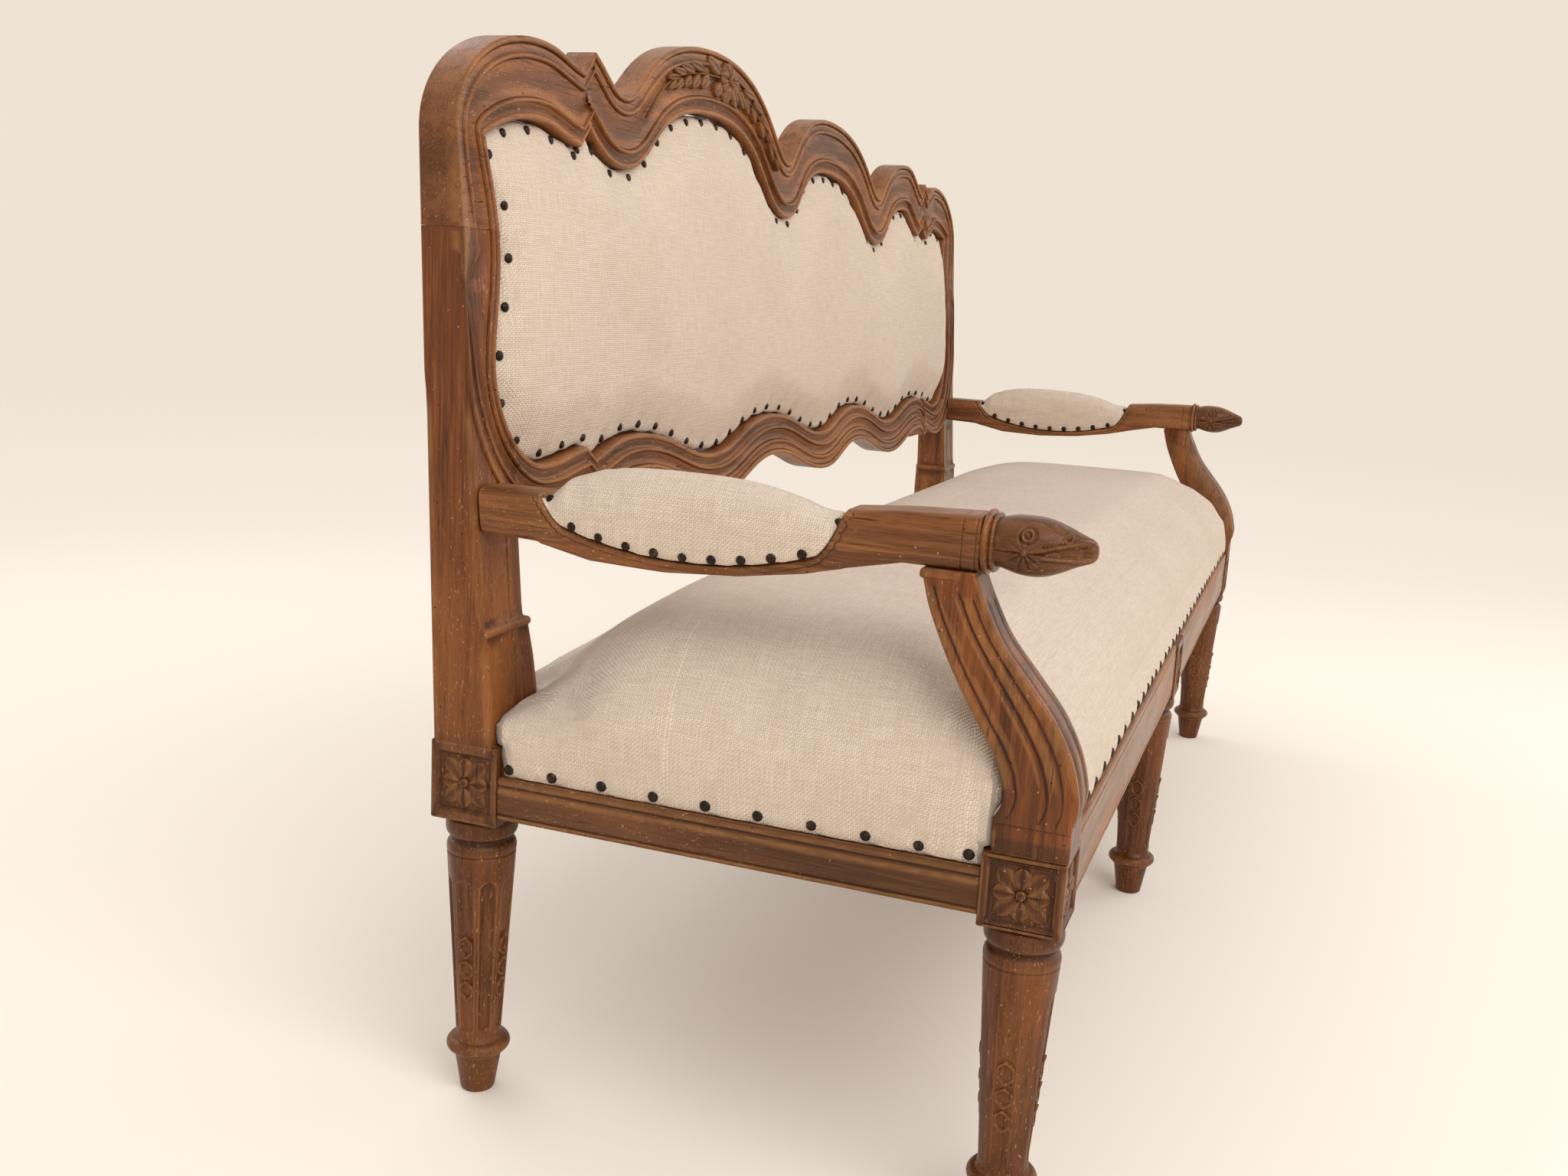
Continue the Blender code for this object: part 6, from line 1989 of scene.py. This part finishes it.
def new_tree(name: str, **inputs: str) -> Tree:
    """Geometry node tree with named inputs, each with the kind of its socket, and one geometry output."""
    tree = bpy.data.node_groups.new(name, "GeometryNodeTree")
    for key, kind in inputs.items():
        tree.interface.new_socket(key, in_out="INPUT", socket_type="NodeSocket" + kind)
    tree.interface.new_socket("Made", in_out="OUTPUT", socket_type="NodeSocketGeometry")
    return tree


def driven(piece: Piece, tree: Tree, values: dict) -> Piece:
    """Give a piece a node tree with values for its named inputs."""
    modifier = piece.modifiers.new(tree.name, "NODES")
    modifier.node_group = tree
    for item in tree.interface.items_tree:
        if item.in_out == "INPUT" and item.name in values:
            modifier[item.identifier] = values[item.name]
    bpy.context.view_layer.update()
    return piece


@dataclass
class Webbing:
    """Jute straps stretched over the seat rails, woven over and under each other by one node tree."""

    jute: Material
    pitch: float = 0.0675
    width: float = 0.05
    thick: float = 0.0011
    sway: float = 0.0008
    height: float = SIZES.leg + 0.0968
    middle: float = (SIZES.front + SIZES.rear) / 2
    runs: tuple = ((23, 0.586, 0), (7, 1.789, 1))

    def tree_made(self) -> Tree:
        """Tree that lays a row of straps and bends each one over and under those that cross it."""
        tree = new_tree(
            "woven_straps", Straps="Geometry", Count="Int", Size="Vector", Cuts="Int", Cuts_across="Int",
            First="Vector", Step="Vector", Ways="Vector", Jute="Material",
        )
        given = add_node(tree, "NodeGroupInput").outputs
        cuts = {"Vertices X": given["Cuts"], "Vertices Y": given["Cuts_across"], "Vertices Z": 2}
        bar = add_node(tree, "GeometryNodeMeshCube", {"Size": given["Size"], **cuts}).outputs["Mesh"]
        row = {"Count": given["Count"], "Start Location": given["First"], "Offset": given["Step"]}
        line = add_node(tree, "GeometryNodeMeshLine", row).outputs[0]
        laid = add_node(tree, "GeometryNodeInstanceOnPoints", {"Points": line, "Instance": bar}).outputs[0]
        plain = add_node(tree, "GeometryNodeRealizeInstances", {"Geometry": laid}).outputs[0]
        cells = add_node(tree, "GeometryNodeInputPosition").outputs[0]
        for how, sockets in (("SUBTRACT", {1: (0, self.middle, 0)}), ("SCALE", {"Scale": 1 / self.pitch})):
            cells = add_node(tree, "ShaderNodeVectorMath", {0: cells, **sockets}, operation=how).outputs[0]
        x, y, _ = add_node(tree, "ShaderNodeSeparateXYZ", {0: cells}).outputs
        way, _, sway = add_node(tree, "ShaderNodeSeparateXYZ", {0: given["Ways"]}).outputs
        along, across = (
            add_node(tree, "ShaderNodeMix", {0: way, 2: plain_way, 3: turned_way}).outputs[0]
            for plain_way, turned_way in ((y, x), (x, y))
        )
        across = reckoned(tree, across, ("ROUND",))
        lift = reckoned(tree, along, ("ADD", across), ("MULTIPLY", math.pi), ("COSINE",), ("MULTIPLY", sway))
        offset = add_node(tree, "ShaderNodeCombineXYZ", {2: lift}).outputs[0]
        bent = add_node(tree, "GeometryNodeSetPosition", {"Geometry": plain, "Offset": offset}).outputs[0]
        dressed = add_node(tree, "GeometryNodeSetMaterial", {"Geometry": bent, "Material": given["Jute"]})
        add_node(tree, "NodeGroupOutput", {0: dressed.outputs[0]})
        return tree

    def build(self) -> None:
        tree = self.tree_made()
        work = bmesh.new()
        for count, length, way in self.runs:
            order = -1 if way else 1
            first = [0.0, self.middle, self.height]
            first[way] -= self.pitch * (count - 1) / 2
            cuts = (4, round(length / 0.006))[::order]
            values = {
                "Count": count, "Size": (*(self.width, length)[::order], self.thick), "Cuts": cuts[0],
                "Cuts_across": cuts[1], "First": tuple(first), "Step": (*(self.pitch, 0.0)[::order], 0.0),
                "Ways": (float(way), 0.0, self.sway * order), "Jute": self.jute,
            }
            straps = settle(driven(linked("straps", bpy.data.meshes.new("straps")), tree, values))
            work.from_mesh(straps.data)
            bpy.data.objects.remove(straps)
        mesh = bpy.data.meshes.new("seat_webbing")
        work.to_mesh(mesh)
        work.free()
        made = finished(put("seat_webbing", mesh, self.jute, 60), "jute_webbing", "seat_webbing")


@dataclass
class NailRows:
    """Domed nails along the edges of the cloth, placed by one node tree."""

    iron: Material
    tree: Optional[Tree] = None

    def tree_made(self) -> Tree:
        """Tree that sets one dome on each point, turned along its direction and slightly varied."""
        if self.tree:
            return self.tree
        tree = new_tree("nail_rows", Points="Geometry", Radius="Float", Seed="Int", Iron="Material")
        given = add_node(tree, "NodeGroupInput").outputs
        sockets = {"Segments": 12, "Rings": 8, "Radius": given["Radius"]}
        ball = add_node(tree, "GeometryNodeMeshUVSphere", sockets).outputs["Mesh"]
        flat = add_node(tree, "GeometryNodeTransform", {"Geometry": ball, "Scale": (1.0, 1.0, 0.58)})
        out = add_node(tree, "GeometryNodeInputNamedAttribute", {"Name": "out"}, data_type="FLOAT_VECTOR")
        aim = {"Vector": out.outputs["Attribute"]}
        turn = add_node(tree, "FunctionNodeAlignRotationToVector", aim, axis="Z")
        sizes = {2: 0.93, 3: 1.07, "Seed": given["Seed"]}
        vary = add_node(tree, "FunctionNodeRandomValue", sizes, data_type="FLOAT")
        sockets = {"Points": given["Points"], "Instance": flat.outputs[0], "Rotation": turn.outputs[0]}
        sockets["Scale"] = vary.outputs[1]
        placed = add_node(tree, "GeometryNodeInstanceOnPoints", sockets).outputs[0]
        plain = add_node(tree, "GeometryNodeRealizeInstances", {"Geometry": placed}).outputs[0]
        dressed = add_node(tree, "GeometryNodeSetMaterial", {"Geometry": plain, "Material": given["Iron"]})
        add_node(tree, "NodeGroupOutput", {0: dressed.outputs[0]})
        self.tree = tree
        return tree

    def build(self, name: str, places: Sequence[tuple[Vector, Vector]], seed: int, radius: float) -> None:
        """Build and dress one group of nails.

        Args:
            name: Name of the piece.
            places: Place and outward direction of each nail.
            seed: Seed of the small differences in size.
            radius: Radius of a dome.
        """
        mesh = bpy.data.meshes.new(name)
        mesh.from_pydata([tuple(p) for p, _ in places], [], [])
        layer = mesh.attributes.new("out", "FLOAT_VECTOR", "POINT")
        layer.data.foreach_set("vector", np.array([tuple(n) for _, n in places], np.float32).ravel())
        seeds = linked(name + "_seed", mesh)
        settle(driven(seeds, self.tree_made(), {"Radius": radius, "Seed": seed, "Iron": self.iron}))
        made = put(name, seeds.data, self.iron, 180)
        bpy.data.objects.remove(seeds)
        finished(made, "")


@dataclass
class Surface:
    """Finds where a nail meets a finished piece."""

    piece: Piece

    def __post_init__(self) -> None:
        """Prepare the search."""
        self.tree = BVHTree.FromObject(self.piece, bpy.context.evaluated_depsgraph_get())

    def meet(self, origin: Point, direction: Point, sink: float = 0.0) -> Optional[tuple[Vector, Vector]]:
        """Place and outward direction where a line meets the piece.

        Args:
            origin: Start of the line.
            direction: Its direction.
            sink: Distance pushed into the piece.

        Returns:
            Place and direction, or nothing where the line misses.
        """
        aim = Vector(direction).normalized()
        place, normal, _, _ = self.tree.ray_cast(Vector(origin), aim, 0.5)
        if place is None:
            return None
        out = (normal * 0.6 - aim).normalized()
        return place - out * sink, out

    def met(self, lines: Sequence[tuple[Point, Point]], sink: float = 0.0) -> list[tuple[Vector, Vector]]:
        """Places and outward directions where nail lines meet the piece, without those that miss."""
        hits = (self.meet(*line, sink) for line in lines)
        return [hit for hit in hits if hit]


@dataclass
class Upholstery:
    """Seat, back panel and arm pads with their nails."""

    linen: Material
    rows: NailRows
    outline: BackOutline
    seat_front: tuple = (
        -0.781, -0.733, -0.681, -0.626, -0.582, -0.533, -0.476, -0.428, -0.38, -0.336, -0.297, -0.257, -0.209,
        -0.154, -0.113, -0.066, -0.02, 0.019, 0.074, 0.124, 0.177, 0.228, 0.276, 0.311, 0.359, 0.41, 0.452,
        0.494, 0.546, 0.603, 0.676, 0.728, 0.786,
    )
    seat_end: tuple = (0.2175, 0.1705, 0.1175, 0.0635, 0.0105, -0.0415, -0.0935, -0.1445, -0.1935, -0.2385)
    front_nail: float = 0.389
    end_nail: float = 0.3605

    def seat_nails(self) -> list[tuple[Point, Point]]:
        """Lines along which the nails of the seat are driven."""
        made = []
        for x in self.seat_front:
            z = self.front_nail + wander((x, 0, 0), 0.05, 0.0015)
            made.append(((x, SIZES.front - 0.05, z), (0, 1, 0)))
        for way in (-1, 1):
            for y in self.seat_end:
                z = self.end_nail + wander((0, y, way), 0.05, 0.0012)
                made.append(((way * (SIZES.half + 0.05), y, z), (-way, 0, 0)))
        made += [((x, SIZES.rear + 0.05, self.end_nail), (0, -1, 0)) for x in spans(-0.79, 0.79, 0.052)]
        return made

    def panel_nails(self, rear: bool, spacing: float, inset: float) -> list[tuple[Point, Point]]:
        """Lines along which the nails round the back are driven.

        Args:
            rear: Whether they are driven from behind.
            spacing: Distance between two nails.
            inset: Distance inside the edge of the moulding.

        Returns:
            Start and direction of each line.
        """
        rim = self.outline.inner_edge()
        soft = sum(np.roll(rim, k, axis=0) for k in range(-9, 10)) / 19
        run = np.roll(soft, -4, axis=0) - np.roll(soft, 4, axis=0)
        inward = np.stack([run[:, 1], -run[:, 0]], axis=1) / np.linalg.norm(run, axis=1, keepdims=True)
        path = rim + inward * inset
        for _ in range(3):
            gap = np.array([np.min(np.linalg.norm(rim - p, axis=1)) for p in path])
            path += inward * np.maximum(inset - gap, 0)[:, None]
        way = lengths(path)
        count = round(way[-1] / spacing)
        made = []
        for place in (np.arange(count) + 0.5) * way[-1] / count:
            x, z = (float(np.interp(place, way, path[:, i])) for i in (0, 1))
            y = SIZES.rear_plane(z) + 0.1 if rear else SIZES.front_plane(z) - 0.08
            if not made or math.dist(made[-1][0], (x, y, z)) > 0.5 * spacing:
                made.append(((x, y, z), (0, -1 if rear else 1, 0)))
        return made

    def arm_nails(self, arm: Arm) -> list[tuple[Point, Point]]:
        """Lines along which the nails of an arm pad are driven, on both its sides."""
        made = []
        for share in spans(arm.pad[0] + 0.016, arm.pad[1] - 0.016, 0.058):
            for way in (-1, 1):
                z = arm.shelf(share) + 0.0062
                made.append(((arm.centre + way * 0.08, arm.along(share), z), (-way, 0, 0)))
        return made

    def nailed(self, name: str, form: Stuffed, lines: list, pull: tuple, nail: tuple) -> None:
        """Build a stuffed form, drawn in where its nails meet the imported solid, and its row of nails.

        Args:
            name: Name of the row.
            form: The form.
            lines: Start and direction of the line of each nail.
            pull: Depth and width of the dip at a nail.
            nail: Seed and radius of the nails.
        """
        marks = [place for place, _ in Surface(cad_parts[form.name]).met(lines)]
        piece = form.build(np.array(marks), *pull)
        self.rows.build(name, Surface(piece).met(lines, -0.0004), *nail)

    def build(self) -> None:
        """Build and dress the upholstery."""
        self.nailed("nails_seat", self.seat(), self.seat_nails(), (0.0026, 0.011), (3, 0.0052))
        lines = self.panel_nails(False, 0.0475, 0.0105)
        self.nailed("nails_back", self.back(), lines, (0.003, 0.012), (5, 0.0048))
        lines = self.panel_nails(True, 0.06, 0.009)
        cover = Surface(self.rear_cover())
        self.rows.build("nails_rear", cover.met(lines, -0.0004), 6, 0.0042)
        for side in Side:
            arm = Arm(side, self.linen)
            pad, nail = self.arm_pad(side, arm), (7 + side.value, 0.0045)
            self.nailed(f"nails_arm_{side.word}", pad, self.arm_nails(arm), (0.0016, 0.008), nail)

    def rear_cover(self) -> Piece:
        """The thin cloth nailed over the rear of the back, in its imported form."""
        piece = put("rear_cover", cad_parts["rear_cover"].data.copy(), self.linen, 60)
        self.back_weave().lay(piece.data)
        made = finished(piece, "linen", "rear_cover")
        low, high = (np.array(f(coordinates(piece.data)[:, (0, 2)], axis=0)) for f in (np.min, np.max))
        return made

    @staticmethod
    def back_weave() -> Weave:
        """Threads of the back, level and upright."""
        return Weave([(-1.0, 0.8), (1.0, 0.8)], [(0.5, 0.25), (1.2, 0.3)], (0, 2), (2, 1))

    @staticmethod
    def shoulder(start: float, out: float) -> list[Flat]:
        """Section of the seat's skirt and rounding, from a face inwards."""
        arc = spans(0.1, math.pi / 2, 0.15)
        return [(start, 0.35), (start, 0.39)] + [
            (start + out * (1 - math.cos(a)), 0.39 + 0.132 * math.sin(a)) for a in arc
        ]

    def seat(self) -> Stuffed:
        """The seat, held along its nails and round the posts."""
        across = self.shoulder(-0.911, 0.13)
        across += [(-x, z) for x, z in reversed(across)]
        upward = self.shoulder(-0.321, 0.135)
        upward += [(0.05, 0.522), (0.2, 0.47), (0.298, 0.44), (0.298, 0.35)]

        def pinned(points: np.ndarray, normals: np.ndarray) -> np.ndarray:
            """Hold everything below the nail line and at the notches."""
            del normals
            low = np.where(points[:, 1] < -0.27, 0.392, 0.366)
            hold = np.clip((low + 0.014 - points[:, 2]) / 0.014, 0, 1)
            corner = (np.abs(points[:, 0]) > 0.8) & ((points[:, 1] < -0.235) | (points[:, 1] > 0.225))
            return np.where(corner, 1.0, hold)

        weave = Weave(across, upward, (0, 2), (1, 2), boxed=True)
        core = 0.0102
        filled = (
            ((-0.812, SIZES.front + 0.006, 0.3803), (0.812, SIZES.rear - 0.006, 0.4)),
            ((-0.812, SIZES.front + 0.025, 0.3523), (0.812, SIZES.rear - 0.006, 0.4)),
            ((-SIZES.half + 0.006, -0.247, 0.3523), (SIZES.half - 0.006, 0.224, 0.4)),
        )
        emptied = (
            ((-SIZES.half + core, SIZES.front + core, 0.3), (SIZES.half - core, SIZES.rear - core, 0.3989)),
            ((-1.0, SIZES.front - 0.02, 0.3), (1.0, SIZES.front + 0.0202, 0.3803)),
        )

        def smooth(points: np.ndarray) -> np.ndarray:
            """Soften the top, but neither the nailed skirt nor the corners at the posts and supports."""
            rise = np.clip((points[:, 2] - 0.4) / 0.03, 0, 1)
            ends = np.clip((0.815 - np.abs(points[:, 0])) / 0.03, 0, 1)
            inside = np.clip(np.minimum(points[:, 1] + 0.25, 0.226 - points[:, 1]) / 0.03, 0, 1)
            return 0.5 * rise * np.maximum(ends, inside)

        (_, front, _), (right, rear, _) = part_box("seat_cushion")

        def fit(points: np.ndarray) -> np.ndarray:
            """Bring the rim of the cloth down to the show wood and out to the blocks, posts and supports."""
            x, y, z = points.T
            ends = (np.abs(x) > right - 0.009) & (z < 0.43)
            fronts = (y < front + 0.009) & (z < 0.43)
            rears = (y > rear - 0.009) & (z < 0.41)
            low, high = z < 0.37, z > 0.37
            low_rear, high_rear = z < 0.382, z > 0.382
            for place, chosen in ((-0.2499, low), (-0.2567, high), (0.2269, low_rear), (0.234, high_rear)):
                crisp(points, 1, place, ends & chosen)
            for place in (-0.851, 0.851):
                crisp(points, 0, place, fronts)
            crisp(points, 2, 0.3524, (ends & (np.abs(y) < 0.26)) | (rears & (np.abs(x) < 0.84)))
            crisp(points, 2, 0.3804, fronts & (np.abs(x) < 0.86))
            return points

        rules = {"filled": filled, "emptied": emptied, "smooth": smooth, "fit": fit}
        return Stuffed("seat_cushion", self.linen, weave, 0.0062, pinned, 0.01, **rules)

    def back(self) -> Stuffed:
        """The panel of the back, held all round."""

        def pinned(points: np.ndarray, normals: np.ndarray) -> np.ndarray:
            """Hold the rear and the rim."""
            front = points[:, 1] - SIZES.front_plane(points[:, 2])
            return np.where((normals[:, 1] > -0.3) | (front > 0.01), 1.0, 0.0)

        return Stuffed("back_pad", self.linen, self.back_weave(), 0.0065, pinned, 0.006)

    def arm_pad(self, side: Side, arm: Arm) -> Stuffed:
        """One arm pad, held along its lower edge.

        Args:
            side: End of the settee.
            arm: Arm that carries it.

        Returns:
            The form, not yet built.
        """
        turns = spans(math.pi, 0, 0.15)
        around = [(arm.centre + 0.03 * math.cos(a), 0.605 + 0.06 * math.sin(a)) for a in turns]
        around = [(around[0][0], 0.56), *around, (around[-1][0], 0.56)]
        weave = Weave([(-0.3, 0.6), (0.3, 0.6)], around, (1, 2), (0, 2))

        def pinned(points: np.ndarray, normals: np.ndarray) -> np.ndarray:
            """Hold the lower edge and the underside."""
            return np.where((normals[:, 2] < -0.2) | (points[:, 2] < 0.618), 1.0, 0.0)

        def fit(points: np.ndarray) -> np.ndarray:
            """Lift the underside to the shelf, and bring both ends of the pad level with the wood."""
            shares = (points[:, 1] - arm.along(0.0)) / (arm.along(1.0) - arm.along(0.0))
            table = spans(0.0, 1.0, 0.004)
            shelf = np.interp(shares, table, [arm.shelf(s) for s in table])
            reach = np.clip((shares - sum(arm.pad) / 2) / (arm.pad[1] - arm.pad[0]) * 2, -1, 1)
            centres = (np.arange(80) + 0.5) / 80
            peaks = np.full(80, -np.inf)
            np.maximum.at(peaks, np.clip((shares * 80).astype(int), 0, 79), points[:, 2])
            known = np.isfinite(peaks)
            peak = np.interp(shares, centres[known], peaks[known])
            crown = 0.9 - 0.14 * np.maximum(reach, 0) ** 3 - 0.1 * np.maximum(-reach, 0) ** 3
            wood = np.interp(shares, table, [arm.line(s)[1] for s in table]) + 0.0008
            end = np.clip((reach - 0.62) / 0.34, 0, 1)
            aim = shelf + (peak - shelf) * crown
            aim = np.maximum(aim, aim + (wood - aim) * end)
            grown = np.clip((aim - shelf) / np.maximum(peak - shelf, 0.002), 0, 3)
            points[:, 2] = shelf + np.maximum((points[:, 2] - shelf) * grown, 0.0003)
            return points

        return Stuffed(f"arm_pad_{side.word}", self.linen, weave, 0.003, pinned, 0.003, fit=fit)


# Studio


class Studio:
    """Pale floor, plain soft light and the camera of the photograph.

    A lamp is (name, place, point it faces, size, power).
    """
    """Pale floor, plain soft light and the camera of the photograph."""

    place: Point = (-2.1171, -0.4918, 0.8309)
    yaw: float = 0.347
    pitch: float = -0.1972
    roll: float = 0.0579
    focus: float = 1947.75
    width: int = 2048
    floor_colour: str = "#f6ebdd"
    wall_colour: str = "#efe3d3"
    surround: float = 0.79
    sensor: float = 36.0
    lamps: tuple = (
        ("key", (-2.4, -2.4, 3.1), (0.0, 0.0, 0.5), 3.6, 88.0),
        ("fill", (2.5, -2.8, 2.2), (0.3, 0.0, 0.5), 3.0, 32.0),
        ("rear", (0.5, 2.8, 2.6), (0.0, 0.0, 0.6), 3.0, 30.0),
    )

    def build(self) -> None:
        """Set up the camera, the floor and the lights."""
        self.camera()
        self.floor()
        self.lights()
        bpy.context.scene.view_settings.view_transform = "Standard"

    def camera(self) -> None:
        """Camera with the lens and stance solved from the photograph."""
        level = math.cos(self.pitch)
        forward = Vector((math.cos(self.yaw) * level, math.sin(self.yaw) * level, math.sin(self.pitch)))
        right = forward.cross(Vector((0, 0, 1))).normalized()
        up = right.cross(forward)
        tilted = right * math.cos(self.roll) + up * math.sin(self.roll)
        upright = -right * math.sin(self.roll) + up * math.cos(self.roll)
        lens = bpy.data.cameras.new("camera")
        lens.sensor_width = self.sensor
        lens.lens = self.focus / self.width * self.sensor
        lens.clip_start = 0.05
        holder = linked("camera", lens)
        turn = Matrix((tilted, upright, -forward)).transposed().to_4x4()
        holder.matrix_world = Matrix.Translation(self.place) @ turn
        bpy.context.scene.camera = holder

    def floor(self) -> None:
        """Floor that takes the shadow near the settee and turns into the plain backdrop farther off."""
        made = Recipe("floor", self.floor_colour)
        plain = {"Base Color": made.colour, "Roughness": 0.9, "Specular IOR Level": 0.1}
        join(made.tree, made.shader, plain)
        sockets = {0: made.place}
        away = add_node(made.tree, "ShaderNodeVectorMath", sockets, operation="LENGTH").outputs["Value"]
        made.lay(made.share((away, 2.0, 9.0)), self.wall_colour)
        paper = add_node(made.tree, "ShaderNodeEmission", {"Color": made.colour, "Strength": 1.0}).outputs[0]
        sockets = {0: made.share((away, 1.3, 4.2)), 1: made.shader.outputs[0], 2: paper}
        both = add_node(made.tree, "ShaderNodeMixShader", sockets).outputs[0]
        join(made.tree, made.tree.nodes["Material Output"], {"Surface": both})
        mesh = bpy.data.meshes.new("floor")
        mesh.from_pydata([(-30, -30, 0), (30, -30, 0), (30, 30, 0), (-30, 30, 0)], [], [(0, 1, 2, 3)])
        mesh.materials.append(made.material)
        linked("floor", mesh)

    def lights(self) -> None:
        """One large soft light over the camera side, one opposite and a pale surrounding."""
        for name, place, aim, size, power in self.lamps:
            lamp = bpy.data.lights.new(name, "AREA")
            lamp.shape = "DISK"
            lamp.size = size
            lamp.energy = power
            holder = linked(name, lamp)
            holder.location = place
            holder.rotation_euler = (Vector(aim) - Vector(place)).to_track_quat("-Z", "Y").to_euler()
        world = bpy.data.worlds.new("surround")
        bpy.context.scene.world = world
        world.use_nodes = True
        tree = world.node_tree
        tree.nodes.clear()
        seen = add_node(tree, "ShaderNodeLightPath").outputs
        others = (("MAXIMUM", seen["Is Glossy Ray"]), ("MAXIMUM", seen["Is Transmission Ray"]))
        direct = reckoned(tree, seen["Is Camera Ray"], *others)
        sockets = {0: direct, 6: (*[self.surround] * 3, 1), 7: linear(self.wall_colour)}
        pale = add_node(tree, "ShaderNodeMix", sockets, data_type="RGBA").outputs[2]
        sky = add_node(tree, "ShaderNodeBackground", {"Color": pale, "Strength": 1.0})
        add_node(tree, "ShaderNodeOutputWorld", {"Surface": sky.outputs[0]})


# Whole piece


def main() -> None:
    """Build the settee, piece by piece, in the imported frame."""
    logging.basicConfig(level=logging.INFO, format="%(message)s")
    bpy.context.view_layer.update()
    tones = {
        Grain.LENGTHWISE: ("#8c532b", "#62381a", "#aa7145"),
        Grain.FRONT_TO_BACK: ("#8c542d", "#5c3519", "#a56f42"),
        Grain.UPRIGHT: ("#7a411b", "#4e280e", "#965c2d"),
    }
    wood = {}
    for grain, tone in tones.items():
        wood[grain] = WaxedWood(f"waxed_walnut_{grain.name.lower()}", grain, *tone).build()
    beech = BareBeech().build()
    linen = WovenCloth("linen").build()
    jute = WovenCloth("jute", "#9a7a52", "#6e5334", "#b3946a", 0.004, 0.0008, False).build()
    iron = BlackenedNail().build()

    Studio().build()
    back = Back(wood)
    back.build()
    SeatFrame(wood).build()
    for side in Side:
        ArmSupport(side, wood[Grain.UPRIGHT]).build()
        Arm(side, wood[Grain.FRONT_TO_BACK]).build()
    Upholstery(linen, NailRows(iron), back.outline).build()
    Webbing(jute).build()
    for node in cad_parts.values():
        if not node.hide_render:
            node.material_slots[0].material = wood[Grain.LENGTHWISE] if "ledge" in node.name else beech
            LOG.info("%s keeps its packed form", node.name)


if __name__ == "__main__":
    main()
